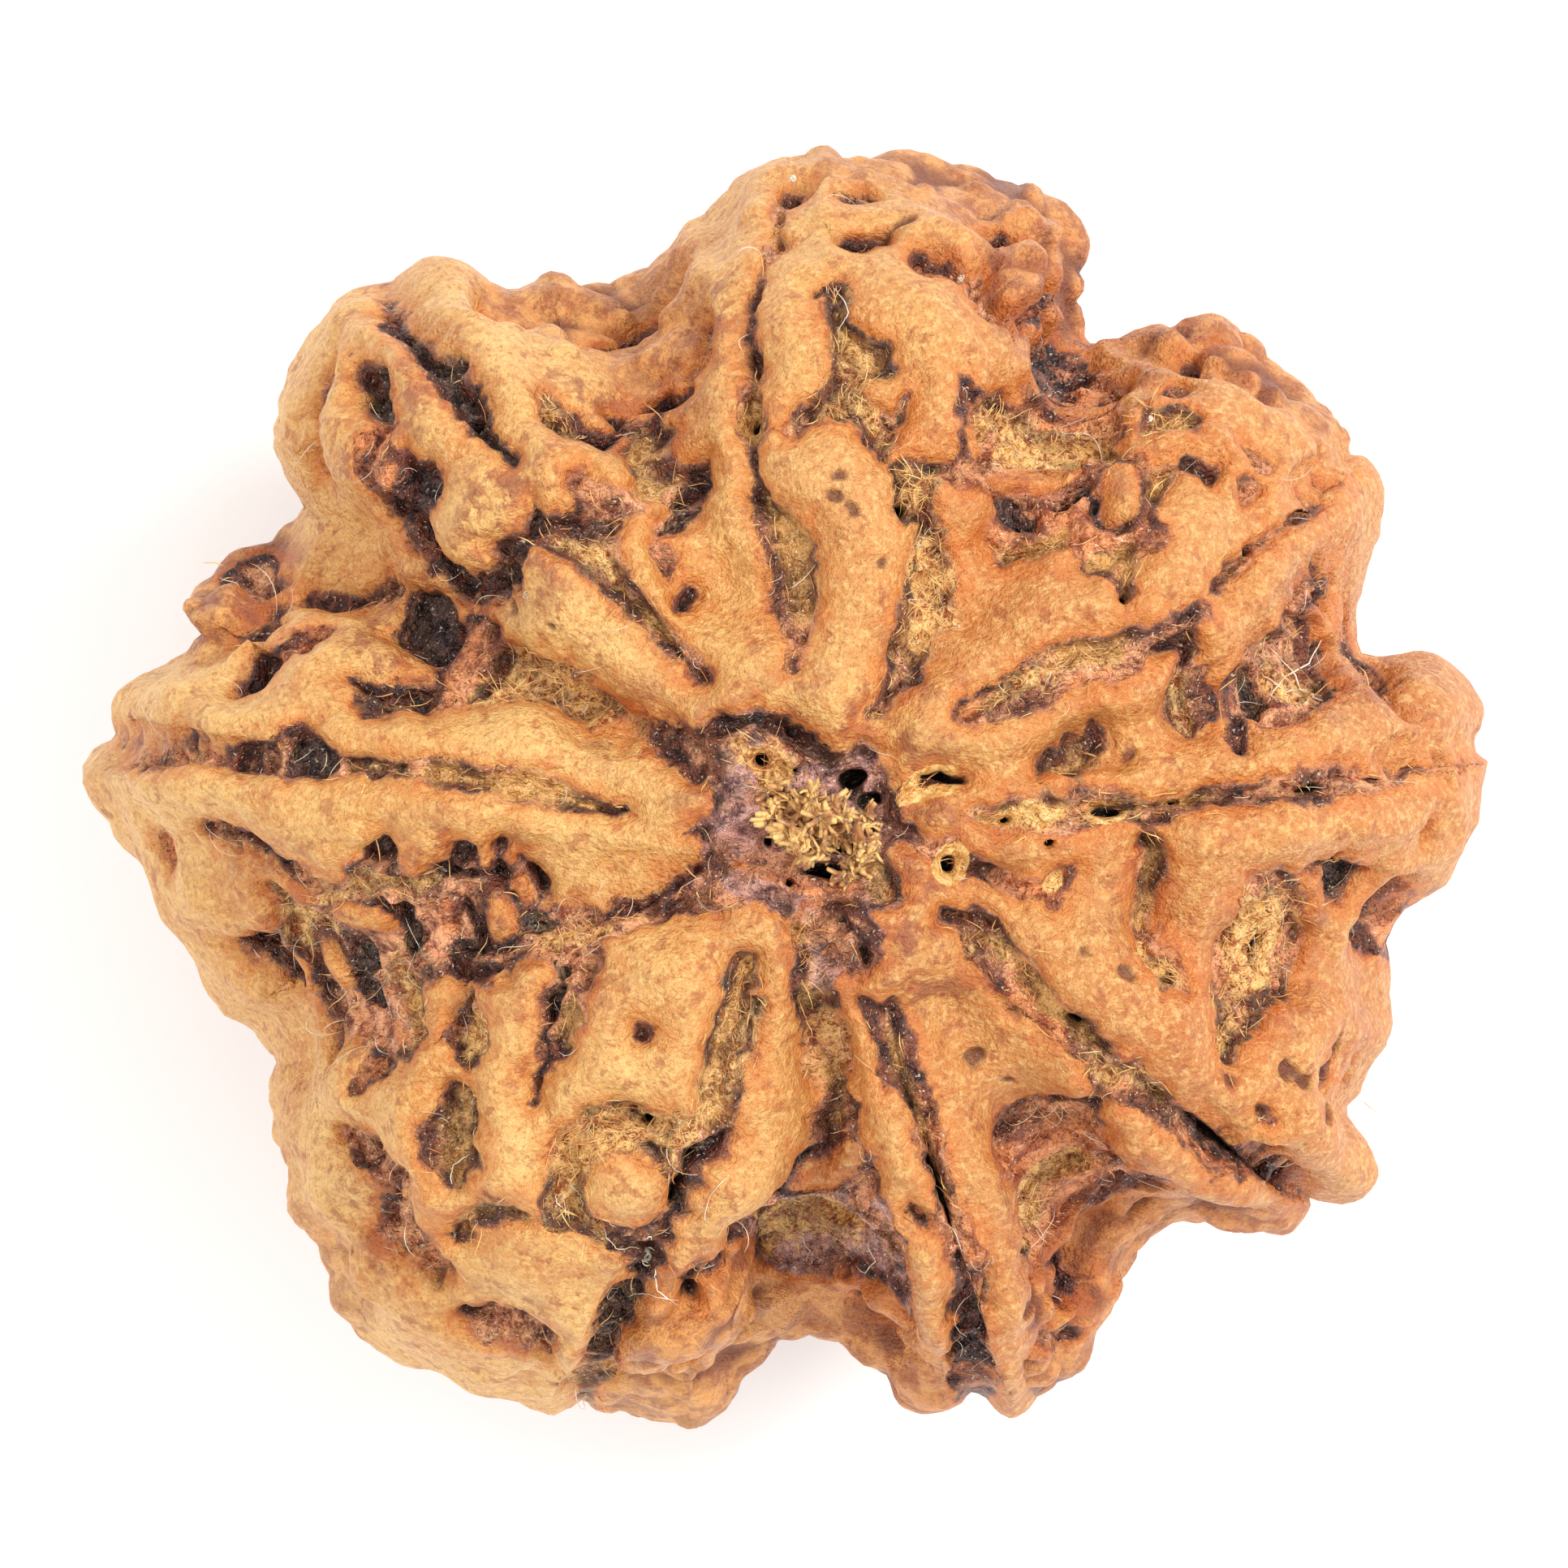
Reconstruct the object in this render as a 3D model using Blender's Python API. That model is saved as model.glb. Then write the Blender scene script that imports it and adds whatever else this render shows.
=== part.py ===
"""Rudraksha seed: one solid, grown as one piece, standing on a small worn flat under its lower pole.

The seed is a slightly flattened ball with eight lobes. A line runs along the crest of each lobe, from the
fibre-filled hollow at the top pole to the lower pole, and a valley lies between each two lobes. The outline
seen from above, and the lines, pits, channels, knobs, beds and steps of the upper side, are given in
millimetres as they lie from above: beds and steps as closed outlines, the rest as strokes, points that each
have a half width. The lower side repeats the upper side's pattern, bent by seeded waves. All the relief is
sunk into one ball by a formula, and the ball is then thinned to fewer faces.

Axes: +Z up through the top pole, X along the widest way. The origin is under the middle, on the ground.
"""

import math

import bpy
import numpy as np

# Driving dimensions, in millimetres
SPAN = 28.0
HEIGHT_ABOVE = 10.4
HEIGHT_BELOW = 10.9
FLAT_CUT = 0.13
POLE = (0.77, -0.68)
FULLNESS_ABOVE = 2.25
FULLNESS_BELOW = 2.45
HOLLOW_DEPTH = 0.9
HOLLOW_RADIUS = 3.2

# Degrees from the top pole over which the rim's sharp outline comes in and goes out, how much of it goes,
# and over how many degrees round the pole a lobe is evened out away from the rim
RIM_SHAPE_IN = (38.0, 76.0)
RIM_SHAPE_OUT = (100.0, 140.0)
RIM_SHAPE_LOST = 0.8
LOBE_EVENING = 10.0

# Valleys between the eight lobes: the way each one runs from the pole in degrees, depth and half width
VALLEYS = (
    (155, 1.9, 1.4),
    (114, 1.3, 1.2),
    (58, 1.2, 1.3),
    (17, 0.9, 1.0),
    (-18, 0.7, 1.0),
    (-58, 1.5, 1.4),
    (-92, 1.5, 1.3),
    (-165, 1.3, 1.4),
)
VALLEY_IN = (12.0, 30.0)
VALLEY_OUT = (128.0, 158.0)
VALLEY_LOST_AT_RIM = 0.85
VALLEY_RIM_LEAN = 15.0
VALLEY_PROFILE = 1.6

# Floor depth of each kind of channel or pit, and of the beds round them, in millimetres
FLOOR_DEPTH = {"black": 1.55, "plum": 1.1, "rust": 0.6, "olive": 1.1, "gold": 0.95}
BED_DEPTH = {"plum": 0.66, "gold": 0.6, "olive": 0.75, "rust": 0.45}
STEP_DEPTH = 0.85
STEP_SLOPE = 0.5
STEP_LUMP_HEIGHT = 0.4
STEP_LUMP_SLOPE = (-0.2, 0.3)
SHOULDER_WIDTH = 0.6
SHOULDER_DROP = 0.24
WALL_WIDTH = 0.3
KIND_BLEND = 0.12
EDGE_REACH = 1.2
DEEPEST_EDGE = 0.5
WIDEST_STRETCH = 1.9
STEEPENING = 1.25
RIM_FADE = 0.8
RIM_FADE_LEAN = 6.5
SLIMMEST = 0.17

# Faces
BALL_SUBDIVISIONS = 7
SOFTENING_STEPS = 1
FACES_WANTED = 11400
MM = 0.001

# Outline from above, anticlockwise from the west lobe's tip
OUTLINE = (
    (-14.02, 0.07), (-13.38, -0.78), (-12.87, -1.6), (-12.56, -2.43), (-12.2, -3.35), (-11.84, -4.17),
    (-11.33, -4.64), (-10.76, -4.79), (-10.09, -5.41), (-10.22, -6.13), (-10.19, -7.06), (-9.93, -7.88),
    (-9.93, -8.49), (-9.37, -9.21), (-8.96, -10.24), (-8.35, -10.86), (-7.62, -11.37), (-7.0, -11.68),
    (-6.28, -11.99), (-5.36, -12.2), (-4.74, -12.5), (-4.12, -12.2), (-3.5, -12.45), (-2.99, -12.5),
    (-2.48, -12.63), (-1.91, -12.71), (-1.35, -12.5), (-0.96, -11.83), (-0.25, -11.22), (0.38, -11.09),
    (1.2, -11.38), (1.81, -11.78), (2.64, -12.35), (3.15, -12.5), (3.5, -12.3), (3.75, -12.04),
    (3.97, -12.35), (4.38, -12.6), (5.0, -12.4), (5.93, -11.58), (6.7, -10.55), (6.85, -10.04),
    (7.37, -9.26), (7.83, -8.85), (8.81, -8.96), (9.73, -8.8), (10.2, -8.39), (10.23, -8.03),
    (10.66, -8.08), (11.17, -8.09), (11.48, -7.77), (11.55, -7.24), (11.4, -6.8), (11.14, -6.5),
    (11.46, -6.17), (11.7, -5.6), (12.03, -5.2), (12.1, -4.8), (12.0, -4.1), (12.08, -3.05),
    (12.27, -2.57), (12.54, -2.24), (13.08, -1.98), (13.4, -1.44), (13.8, -0.2), (14.0, 0.55),
    (13.67, 0.77), (13.8, 1.2), (13.8, 1.57), (13.3, 2.4), (12.8, 2.7), (12.16, 2.8), (11.73, 2.8),
    (11.6, 3.46), (11.5, 4.0), (11.5, 4.85), (11.7, 5.93), (11.46, 6.49), (11.1, 6.57), (11.2, 7.0),
    (10.98, 7.38), (10.07, 8.0), (9.53, 8.59), (9.05, 9.1), (8.56, 9.4), (7.97, 9.48), (7.54, 9.4),
    (7.2, 9.15), (6.25, 8.99), (5.98, 8.88), (5.9, 9.42), (5.93, 10.6), (5.74, 10.87), (5.44, 11.5),
    (5.0, 11.9), (4.58, 12.1), (3.4, 12.19), (2.6, 12.49), (1.3, 12.6), (0.77, 12.75), (0.39, 12.57),
    (0.23, 12.38), (-0.09, 12.5), (-0.47, 12.43), (-0.9, 12.16), (-1.22, 11.68), (-1.55, 11.17),
    (-1.98, 11.06), (-2.73, 10.34), (-3.13, 10.07), (-4.07, 10.17), (-4.72, 10.25), (-5.3, 10.0),
    (-5.74, 9.93), (-6.06, 10.2), (-6.7, 10.4), (-7.14, 10.42), (-7.62, 10.17), (-7.73, 9.96),
    (-8.64, 9.77), (-9.02, 9.53), (-9.5, 8.91), (-9.99, 8.13), (-10.23, 7.7), (-10.34, 6.79),
    (-9.99, 6.25), (-9.66, 5.77), (-9.53, 5.55), (-9.93, 5.28), (-10.6, 5.07), (-11.06, 4.9),
    (-11.65, 4.53), (-12.03, 4.05), (-12.24, 3.56), (-12.19, 2.8), (-12.5, 2.27), (-13.0, 2.1),
    (-13.37, 1.68), (-13.48, 1.36), (-13.37, 1.09), (-13.29, 0.98), (-13.7, 0.71), (-13.99, 0.34),
)

# Recesses of the upper side, lobe by lobe: kind, then points (x, y, half width)
CROWN = (
    ("black", (-1.9, -1.0, 0.2), (-1.75, -0.4, 0.25), (-1.6, 0.3, 0.25), (-1.22, 1.05, 0.25),
     (-0.58, 1.3, 0.25), (-0.04, 1.1, 0.3), (0.5, 0.77, 0.3), (0.85, 0.6, 0.2), (1.5, 0.7, 0.25),
     (1.8, 0.4, 0.25), (1.9, -0.3, 0.2), (1.95, -0.74, 0.2), (2.16, -0.95, 0.15)),
    ("black", (1.1, -0.9, 0.25), (1.3, -0.42, 0.25), (1.22, 0.12, 0.2)),
    ("black", (-0.35, -1.05, 0.15), (0.2, -1.55, 0.15), (0.6, -1.44, 0.3), (1.2, -1.65, 0.25),
     (1.25, -2.35, 0.25)),
    ("gold", (-0.9, -0.1, 0.35), (-0.3, 0.3, 0.4), (0.3, 0.1, 0.35)),
    ("gold", (1.55, -1.5, 0.2), (1.9, -2.03, 0.3)),
    ("plum", (-1.75, -1.4, 0.25), (-0.95, -1.87, 0.35), (0.0, -2.1, 0.3)),
)
WEST = (
    ("plum", (-13.1, 0.77, 0.12), (-12.35, 0.71, 0.2), (-11.6, 0.71, 0.2), (-10.9, 0.6, 0.2),
     (-10.3, 0.5, 0.22)),
    ("black", (-9.66, 1.2, 0.16), (-9.7, 0.71, 0.38), (-9.29, 0.5, 0.3)),
    ("gold", (-8.75, 0.5, 0.25), (-8.05, 0.44, 0.25), (-7.4, 0.34, 0.25)),
    ("olive", (-7.4, 0.34, 0.25), (-6.6, 0.23, 0.3), (-5.95, 0.18, 0.3), (-5.15, 0.01, 0.35),
     (-4.34, -0.15, 0.38), (-3.86, -0.36, 0.35), (-3.53, -0.58, 0.15)),
    ("black", (-3.3, -0.47, 0.2)),
    ("black", (-10.75, 2.54, 0.32), (-10.45, 2.75, 0.2)),
    ("rust", (-10.25, 2.86, 0.25), (-9.7, 3.02, 0.25), (-9.23, 3.29, 0.12)),
    ("black", (-7.67, 3.56, 0.25), (-7.24, 3.24, 0.4), (-7.03, 2.86, 0.25)),
    ("black", (-8.6, 2.38, 0.2), (-8.2, 2.27, 0.2), (-7.67, 2.16, 0.2), (-7.24, 2.27, 0.25),
     (-7.2, 1.84, 0.15)),
    ("olive", (-7.94, 1.84, 0.18), (-8.5, 2.0, 0.12)),
    ("plum", (-9.55, 4.1, 0.1), (-9.1, 4.0, 0.14), (-8.5, 4.05, 0.16), (-8.0, 3.9, 0.2)),
    ("gold", (-6.2, 2.0, 0.12), (-5.8, 2.27, 0.2), (-5.4, 2.27, 0.3), (-4.88, 2.06, 0.35),
     (-4.34, 1.84, 0.3), (-3.8, 1.57, 0.22), (-3.43, 1.4, 0.18)),
    ("plum", (-3.43, 1.4, 0.18), (-3.05, 1.2, 0.15), (-2.6, 1.14, 0.18), (-2.2, 0.77, 0.3),
     (-1.8, 0.44, 0.35)),
    ("plum", (-6.06, 2.8, 0.16)),
    ("plum", (-10.7, 4.58, 0.35), (-10.4, 4.26, 0.25)),
    ("plum", (-11.2, 4.3, 0.2)),
    ("plum", (-10.15, 3.94, 0.15), (-10.5, 3.67, 0.25), (-11.17, 3.35, 0.2), (-11.4, 3.08, 0.15)),
)
NORTH_WEST = (
    ("black", (-8.0, 9.6, 0.14), (-7.7, 9.2, 0.15), (-7.24, 8.7, 0.2), (-6.75, 8.2, 0.3), (-6.35, 7.7, 0.3),
     (-6.2, 7.3, 0.22), (-5.95, 6.95, 0.22), (-5.5, 6.5, 0.12)),
    ("plum", (-9.3, 8.5, 0.12), (-9.4, 8.0, 0.2), (-9.6, 7.6, 0.18), (-9.65, 7.0, 0.08), (-9.65, 6.5, 0.12),
     (-9.5, 6.0, 0.08)),
    ("black", (-8.6, 8.4, 0.15), (-8.4, 8.15, 0.28), (-8.35, 7.7, 0.25), (-8.15, 7.3, 0.15)),
    ("rust", (-8.2, 7.0, 0.2), (-8.3, 6.4, 0.2)),
    ("black", (-7.7, 6.4, 0.2), (-7.5, 6.0, 0.35), (-7.73, 5.34, 0.3), (-8.05, 5.23, 0.25),
     (-8.3, 5.4, 0.12)),
    ("black", (-7.73, 5.34, 0.3), (-7.46, 4.8, 0.2), (-7.24, 4.3, 0.22), (-6.95, 3.85, 0.3),
     (-6.5, 3.6, 0.35), (-6.06, 3.67, 0.25), (-5.7, 4.1, 0.25), (-5.74, 4.48, 0.3), (-5.3, 4.8, 0.2),
     (-4.99, 5.23, 0.25), (-5.04, 5.5, 0.15)),
    ("black", (-4.72, 5.28, 0.2), (-4.07, 5.07, 0.3), (-3.53, 5.34, 0.25)),
    ("plum", (-4.13, 6.0, 0.2), (-3.96, 5.77, 0.2), (-3.64, 5.6, 0.15), (-3.27, 5.5, 0.12)),
    ("gold", (-4.72, 4.9, 0.3), (-4.3, 4.75, 0.3), (-3.64, 4.58, 0.35), (-3.5, 4.2, 0.35)),
    ("olive", (-3.5, 4.2, 0.35), (-3.32, 3.67, 0.3), (-2.9, 3.35, 0.3), (-2.57, 3.02, 0.3),
     (-2.4, 2.65, 0.3)),
    ("plum", (-2.4, 2.65, 0.3), (-2.03, 2.27, 0.25), (-1.7, 2.1, 0.12)),
    ("black", (-5.65, 9.7, 0.12), (-5.2, 9.5, 0.15)),
    ("gold", (-4.72, 7.8, 0.14), (-4.65, 7.4, 0.22), (-4.2, 7.2, 0.25)),
    ("black", (-4.05, 7.6, 0.12), (-3.96, 7.3, 0.14), (-3.6, 7.05, 0.16), (-3.25, 7.3, 0.15),
     (-3.2, 7.65, 0.12)),
    ("olive", (-2.84, 7.38, 0.25), (-2.73, 6.9, 0.4), (-2.57, 6.46, 0.5), (-2.67, 5.93, 0.35)),
    ("black", (-2.03, 6.36, 0.25), (-1.92, 6.03, 0.25), (-2.14, 5.66, 0.25)),
    ("black", (-2.35, 5.1, 0.1), (-2.14, 5.28, 0.2), (-1.92, 5.5, 0.12)),
    ("plum", (-2.46, 4.75, 0.12), (-2.2, 4.6, 0.18), (-2.2, 4.3, 0.12)),
    ("black", (-1.87, 3.78, 0.22), (-1.7, 4.1, 0.12)),
    ("black", (-3.0, 7.9, 0.2), (-2.5, 7.87, 0.2), (-2.1, 8.1, 0.12)),
    ("plum", (-1.97, 9.2, 0.25), (-1.92, 8.6, 0.2), (-2.3, 8.56, 0.2)),
    ("plum", (-3.53, 9.26, 0.1), (-3.1, 9.6, 0.12)),
)
NORTH = (
    ("plum", (0.07, 12.06, 0.15), (-0.31, 11.46, 0.1), (-0.36, 10.93, 0.1), (-0.63, 10.39, 0.08),
     (-0.77, 9.85, 0.08), (-0.85, 9.31, 0.1), (-0.9, 8.56, 0.15), (-0.87, 8.02, 0.18)),
    ("olive", (-0.87, 8.02, 0.18), (-0.9, 7.49, 0.22), (-0.85, 7.22, 0.22), (-0.85, 6.73, 0.2),
     (-0.82, 6.25, 0.15), (-0.69, 5.77, 0.15), (-0.47, 5.4, 0.25)),
    ("olive", (-0.47, 5.4, 0.25), (-0.2, 5.0, 0.4), (-0.04, 4.58, 0.45), (0.07, 3.99, 0.45),
     (0.17, 3.46, 0.4), (0.17, 3.08, 0.3)),
    ("rust", (0.17, 3.08, 0.3), (0.17, 2.8, 0.25), (0.07, 2.3, 0.15)),
    ("olive", (0.87, 9.74, 0.25), (0.95, 9.2, 0.22), (1.2, 8.67, 0.25), (1.68, 8.35, 0.3)),
    ("gold", (1.09, 8.02, 0.3), (1.03, 7.6, 0.25), (1.41, 7.49, 0.25), (1.79, 7.0, 0.2),
     (1.84, 6.63, 0.15)),
    ("plum", (0.34, 7.38, 0.2), (-0.04, 7.1, 0.15)),
    ("black", (2.33, 7.75, 0.12), (2.4, 7.5, 0.15), (2.1, 7.2, 0.2), (1.9, 7.45, 0.15)),
    ("rust", (3.24, 7.9, 0.15), (3.5, 7.8, 0.25), (3.8, 7.7, 0.15)),
    ("black", (2.33, 6.46, 0.12), (2.8, 6.4, 0.13), (3.3, 6.2, 0.15)),
    ("rust", (2.65, 10.7, 0.12), (2.8, 10.39, 0.2), (3.13, 10.39, 0.2), (3.3, 10.17, 0.15)),
    ("plum", (3.83, 10.39, 0.15), (3.78, 9.85, 0.15), (4.05, 9.53, 0.2), (4.37, 9.47, 0.12)),
    ("black", (4.48, 11.36, 0.3), (4.8, 11.25, 0.15)),
    ("rust", (4.7, 9.4, 0.12), (4.75, 8.94, 0.12)),
    ("rust", (5.1, 9.3, 0.15), (5.4, 9.47, 0.2), (5.75, 9.6, 0.1)),
    ("black", (5.28, 8.18, 0.2), (5.6, 8.4, 0.25), (5.8, 8.56, 0.15)),
    ("plum", (1.14, 11.03, 0.12), (1.8, 11.1, 0.08)),
    ("plum", (1.2, 11.84, 0.15), (1.46, 12.0, 0.12)),
)
NORTH_EAST = (
    ("gold", (4.05, 7.1, 0.35), (4.48, 7.38, 0.25), (4.74, 7.2, 0.25), (4.6, 6.7, 0.4), (5.3, 6.9, 0.35),
     (5.7, 6.95, 0.25), (6.25, 6.8, 0.15)),
    ("black", (3.95, 7.1, 0.3)),
    ("black", (6.25, 7.86, 0.15)),
    ("plum", (4.05, 6.3, 0.12), (4.37, 6.14, 0.12), (4.9, 6.25, 0.2)),
    ("black", (5.23, 5.8, 0.12), (5.7, 6.1, 0.15), (5.87, 5.8, 0.15), (5.98, 5.55, 0.14),
     (6.5, 5.28, 0.14)),
    ("black", (4.48, 5.34, 0.3), (4.6, 5.66, 0.15)),
    ("olive", (4.26, 4.64, 0.18), (4.64, 4.8, 0.2), (5.07, 5.0, 0.2), (5.17, 5.23, 0.15)),
    ("olive", (5.87, 4.53, 0.3), (6.25, 4.58, 0.25), (6.68, 4.8, 0.2), (6.73, 4.4, 0.2), (6.68, 4.0, 0.2),
     (6.63, 3.67, 0.15)),
    ("gold", (2.38, 6.25, 0.3), (2.43, 5.77, 0.3), (2.8, 5.5, 0.25), (2.9, 4.96, 0.3), (3.0, 4.4, 0.42),
     (2.8, 3.9, 0.45), (2.8, 3.35, 0.45), (2.6, 2.8, 0.35)),
    ("plum", (2.6, 2.8, 0.35), (2.3, 2.38, 0.25), (2.06, 1.95, 0.22), (1.9, 1.57, 0.22), (1.6, 1.3, 0.15)),
    ("plum", (7.8, 8.94, 0.3), (7.65, 8.7, 0.2), (7.97, 8.5, 0.15)),
    ("plum", (8.45, 9.15, 0.16)),
    ("plum", (7.6, 7.9, 0.2)),
    ("gold", (7.06, 7.1, 0.15), (7.43, 7.33, 0.25), (7.86, 7.27, 0.2)),
    ("plum", (7.97, 6.5, 0.15), (8.4, 6.25, 0.15)),
    ("gold", (7.43, 6.36, 0.25), (7.27, 5.93, 0.15)),
    ("plum", (9.2, 6.57, 0.14), (9.4, 6.4, 0.15)),
    ("plum", (9.25, 5.98, 0.25)),
    ("plum", (11.0, 6.25, 0.15), (10.66, 5.77, 0.25), (10.3, 5.44, 0.15), (9.9, 5.07, 0.1),
     (9.26, 4.69, 0.14), (9.05, 4.3, 0.18), (8.45, 3.83, 0.14), (8.02, 3.5, 0.1), (7.65, 3.19, 0.14),
     (7.3, 2.97, 0.12), (6.95, 2.97, 0.15)),
    ("olive", (6.95, 2.97, 0.15), (6.25, 2.7, 0.3), (5.7, 2.6, 0.35), (5.07, 2.27, 0.4)),
    ("gold", (5.07, 2.27, 0.4), (4.37, 2.0, 0.35), (3.88, 1.73, 0.3)),
    ("rust", (3.88, 1.73, 0.3), (3.5, 1.4, 0.2), (3.2, 1.3, 0.12)),
    ("black", (7.8, 2.76, 0.25), (7.2, 2.6, 0.15)),
    ("black", (7.9, 2.38, 0.2)),
)
EAST = (
    ("plum", (10.66, 4.26, 0.12), (10.87, 3.72, 0.15), (10.4, 3.67, 0.15), (10.17, 3.24, 0.2),
     (10.4, 2.8, 0.25), (9.85, 2.54, 0.35), (9.3, 2.54, 0.2)),
    ("gold", (9.8, 2.1, 0.4), (10.3, 2.27, 0.25), (10.6, 2.16, 0.2)),
    ("black", (9.3, 2.06, 0.2), (9.2, 1.68, 0.15)),
    ("plum", (9.7, 1.5, 0.2), (10.1, 1.57, 0.15)),
    ("rust", (8.8, 1.8, 0.2), (8.94, 1.03, 0.15)),
    ("gold", (7.86, 1.8, 0.2), (7.9, 1.4, 0.25)),
    ("plum", (11.3, 3.35, 0.12), (11.46, 2.8, 0.2), (11.7, 2.3, 0.15), (12.2, 1.84, 0.12)),
    ("olive", (5.98, 0.87, 0.22), (5.4, 0.55, 0.22), (4.9, 0.4, 0.14)),
    ("plum", (6.25, 0.7, 0.16)),
    ("plum", (13.2, 0.55, 0.1), (12.8, 0.4, 0.15), (12.16, 0.23, 0.2), (11.6, 0.18, 0.2),
     (10.98, 0.23, 0.2), (10.4, -0.1, 0.25), (9.85, -0.04, 0.25), (9.2, -0.1, 0.2), (8.56, -0.04, 0.22)),
    ("olive", (8.56, -0.04, 0.22), (7.97, -0.2, 0.2), (7.4, -0.25, 0.2), (6.8, -0.25, 0.25),
     (6.3, -0.36, 0.3), (5.7, -0.3, 0.3)),
    ("gold", (5.7, -0.3, 0.3), (4.9, -0.52, 0.3), (4.26, -0.68, 0.25), (3.78, -0.63, 0.2)),
    ("plum", (7.4, -0.63, 0.2)),
    ("olive", (2.5, 0.01, 0.14), (3.0, 0.12, 0.17), (3.45, 0.18, 0.12)),
    ("plum", (12.75, -0.95, 0.1)),
    ("black", (10.4, -1.8, 0.15), (10.9, -1.8, 0.25), (11.2, -2.2, 0.2), (10.87, -2.08, 0.15)),
    ("plum", (11.9, -2.35, 0.2), (11.6, -2.7, 0.2), (11.8, -3.1, 0.25)),
    ("plum", (9.3, -2.14, 0.35), (9.7, -2.03, 0.25), (10.1, -2.6, 0.25), (10.2, -3.37, 0.2),
     (9.8, -3.75, 0.3)),
    ("gold", (9.5, -2.8, 0.5), (9.5, -3.37, 0.6)),
    ("plum", (8.9, -3.5, 0.35), (8.8, -3.8, 0.2), (9.3, -4.2, 0.3), (9.37, -4.5, 0.2)),
    ("gold", (9.0, -4.77, 0.25), (8.94, -5.2, 0.25)),
    ("olive", (7.2, -1.28, 0.2), (7.3, -1.7, 0.2), (7.16, -2.3, 0.16), (7.1, -2.67, 0.14)),
    ("gold", (7.1, -3.1, 0.16), (7.4, -3.37, 0.25), (7.65, -3.75, 0.2)),
    ("rust", (5.28, -1.92, 0.25), (5.2, -2.2, 0.15)),
    ("plum", (2.38, -1.1, 0.14), (2.76, -1.22, 0.14), (3.24, -1.55, 0.3), (3.67, -1.7, 0.2),
     (4.1, -1.8, 0.15), (4.37, -2.03, 0.15)),
)
SOUTH_EAST = (
    ("plum", (3.13, -2.73, 0.15), (3.67, -2.6, 0.2), (4.1, -2.67, 0.2)),
    ("gold", (3.56, -3.2, 0.2), (4.1, -3.16, 0.35), (4.26, -3.6, 0.35)),
    ("olive", (4.26, -3.6, 0.35), (4.64, -4.07, 0.35), (5.07, -4.5, 0.3), (5.55, -4.77, 0.25),
     (5.98, -5.15, 0.25), (6.25, -5.36, 0.2)),
    ("gold", (6.0, -5.47, 0.25), (6.25, -5.74, 0.25), (6.68, -5.63, 0.2), (7.0, -6.0, 0.16),
     (7.4, -6.35, 0.16), (7.9, -6.7, 0.16)),
    ("black", (7.9, -6.7, 0.16), (8.4, -7.08, 0.18), (8.94, -7.35, 0.18), (9.43, -7.67, 0.15),
     (9.94, -7.98, 0.14)),
    ("plum", (4.4, -6.57, 0.08), (5.0, -6.44, 0.08), (6.0, -6.3, 0.1)),
    ("plum", (4.64, -6.7, 0.3), (5.17, -6.8, 0.35), (5.7, -6.65, 0.35)),
    ("rust", (4.5, -7.1, 0.2), (5.17, -7.2, 0.3), (5.9, -7.36, 0.3), (6.25, -7.46, 0.25)),
    ("plum", (11.28, -6.03, 0.2)),
    ("plum", (9.4, -6.6, 0.2)),
    ("gold", (5.5, -7.8, 0.3), (5.1, -8.3, 0.25), (5.3, -8.7, 0.3), (5.0, -9.1, 0.15)),
    ("black", (5.93, -9.3, 0.15), (5.95, -9.8, 0.15), (5.9, -10.3, 0.1)),
    ("plum", (5.4, -11.05, 0.12), (5.9, -11.1, 0.12)),
    ("plum", (8.2, -8.45, 0.16), (8.4, -8.6, 0.12)),
    ("rust", (10.66, -5.74, 0.2)),
)
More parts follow.
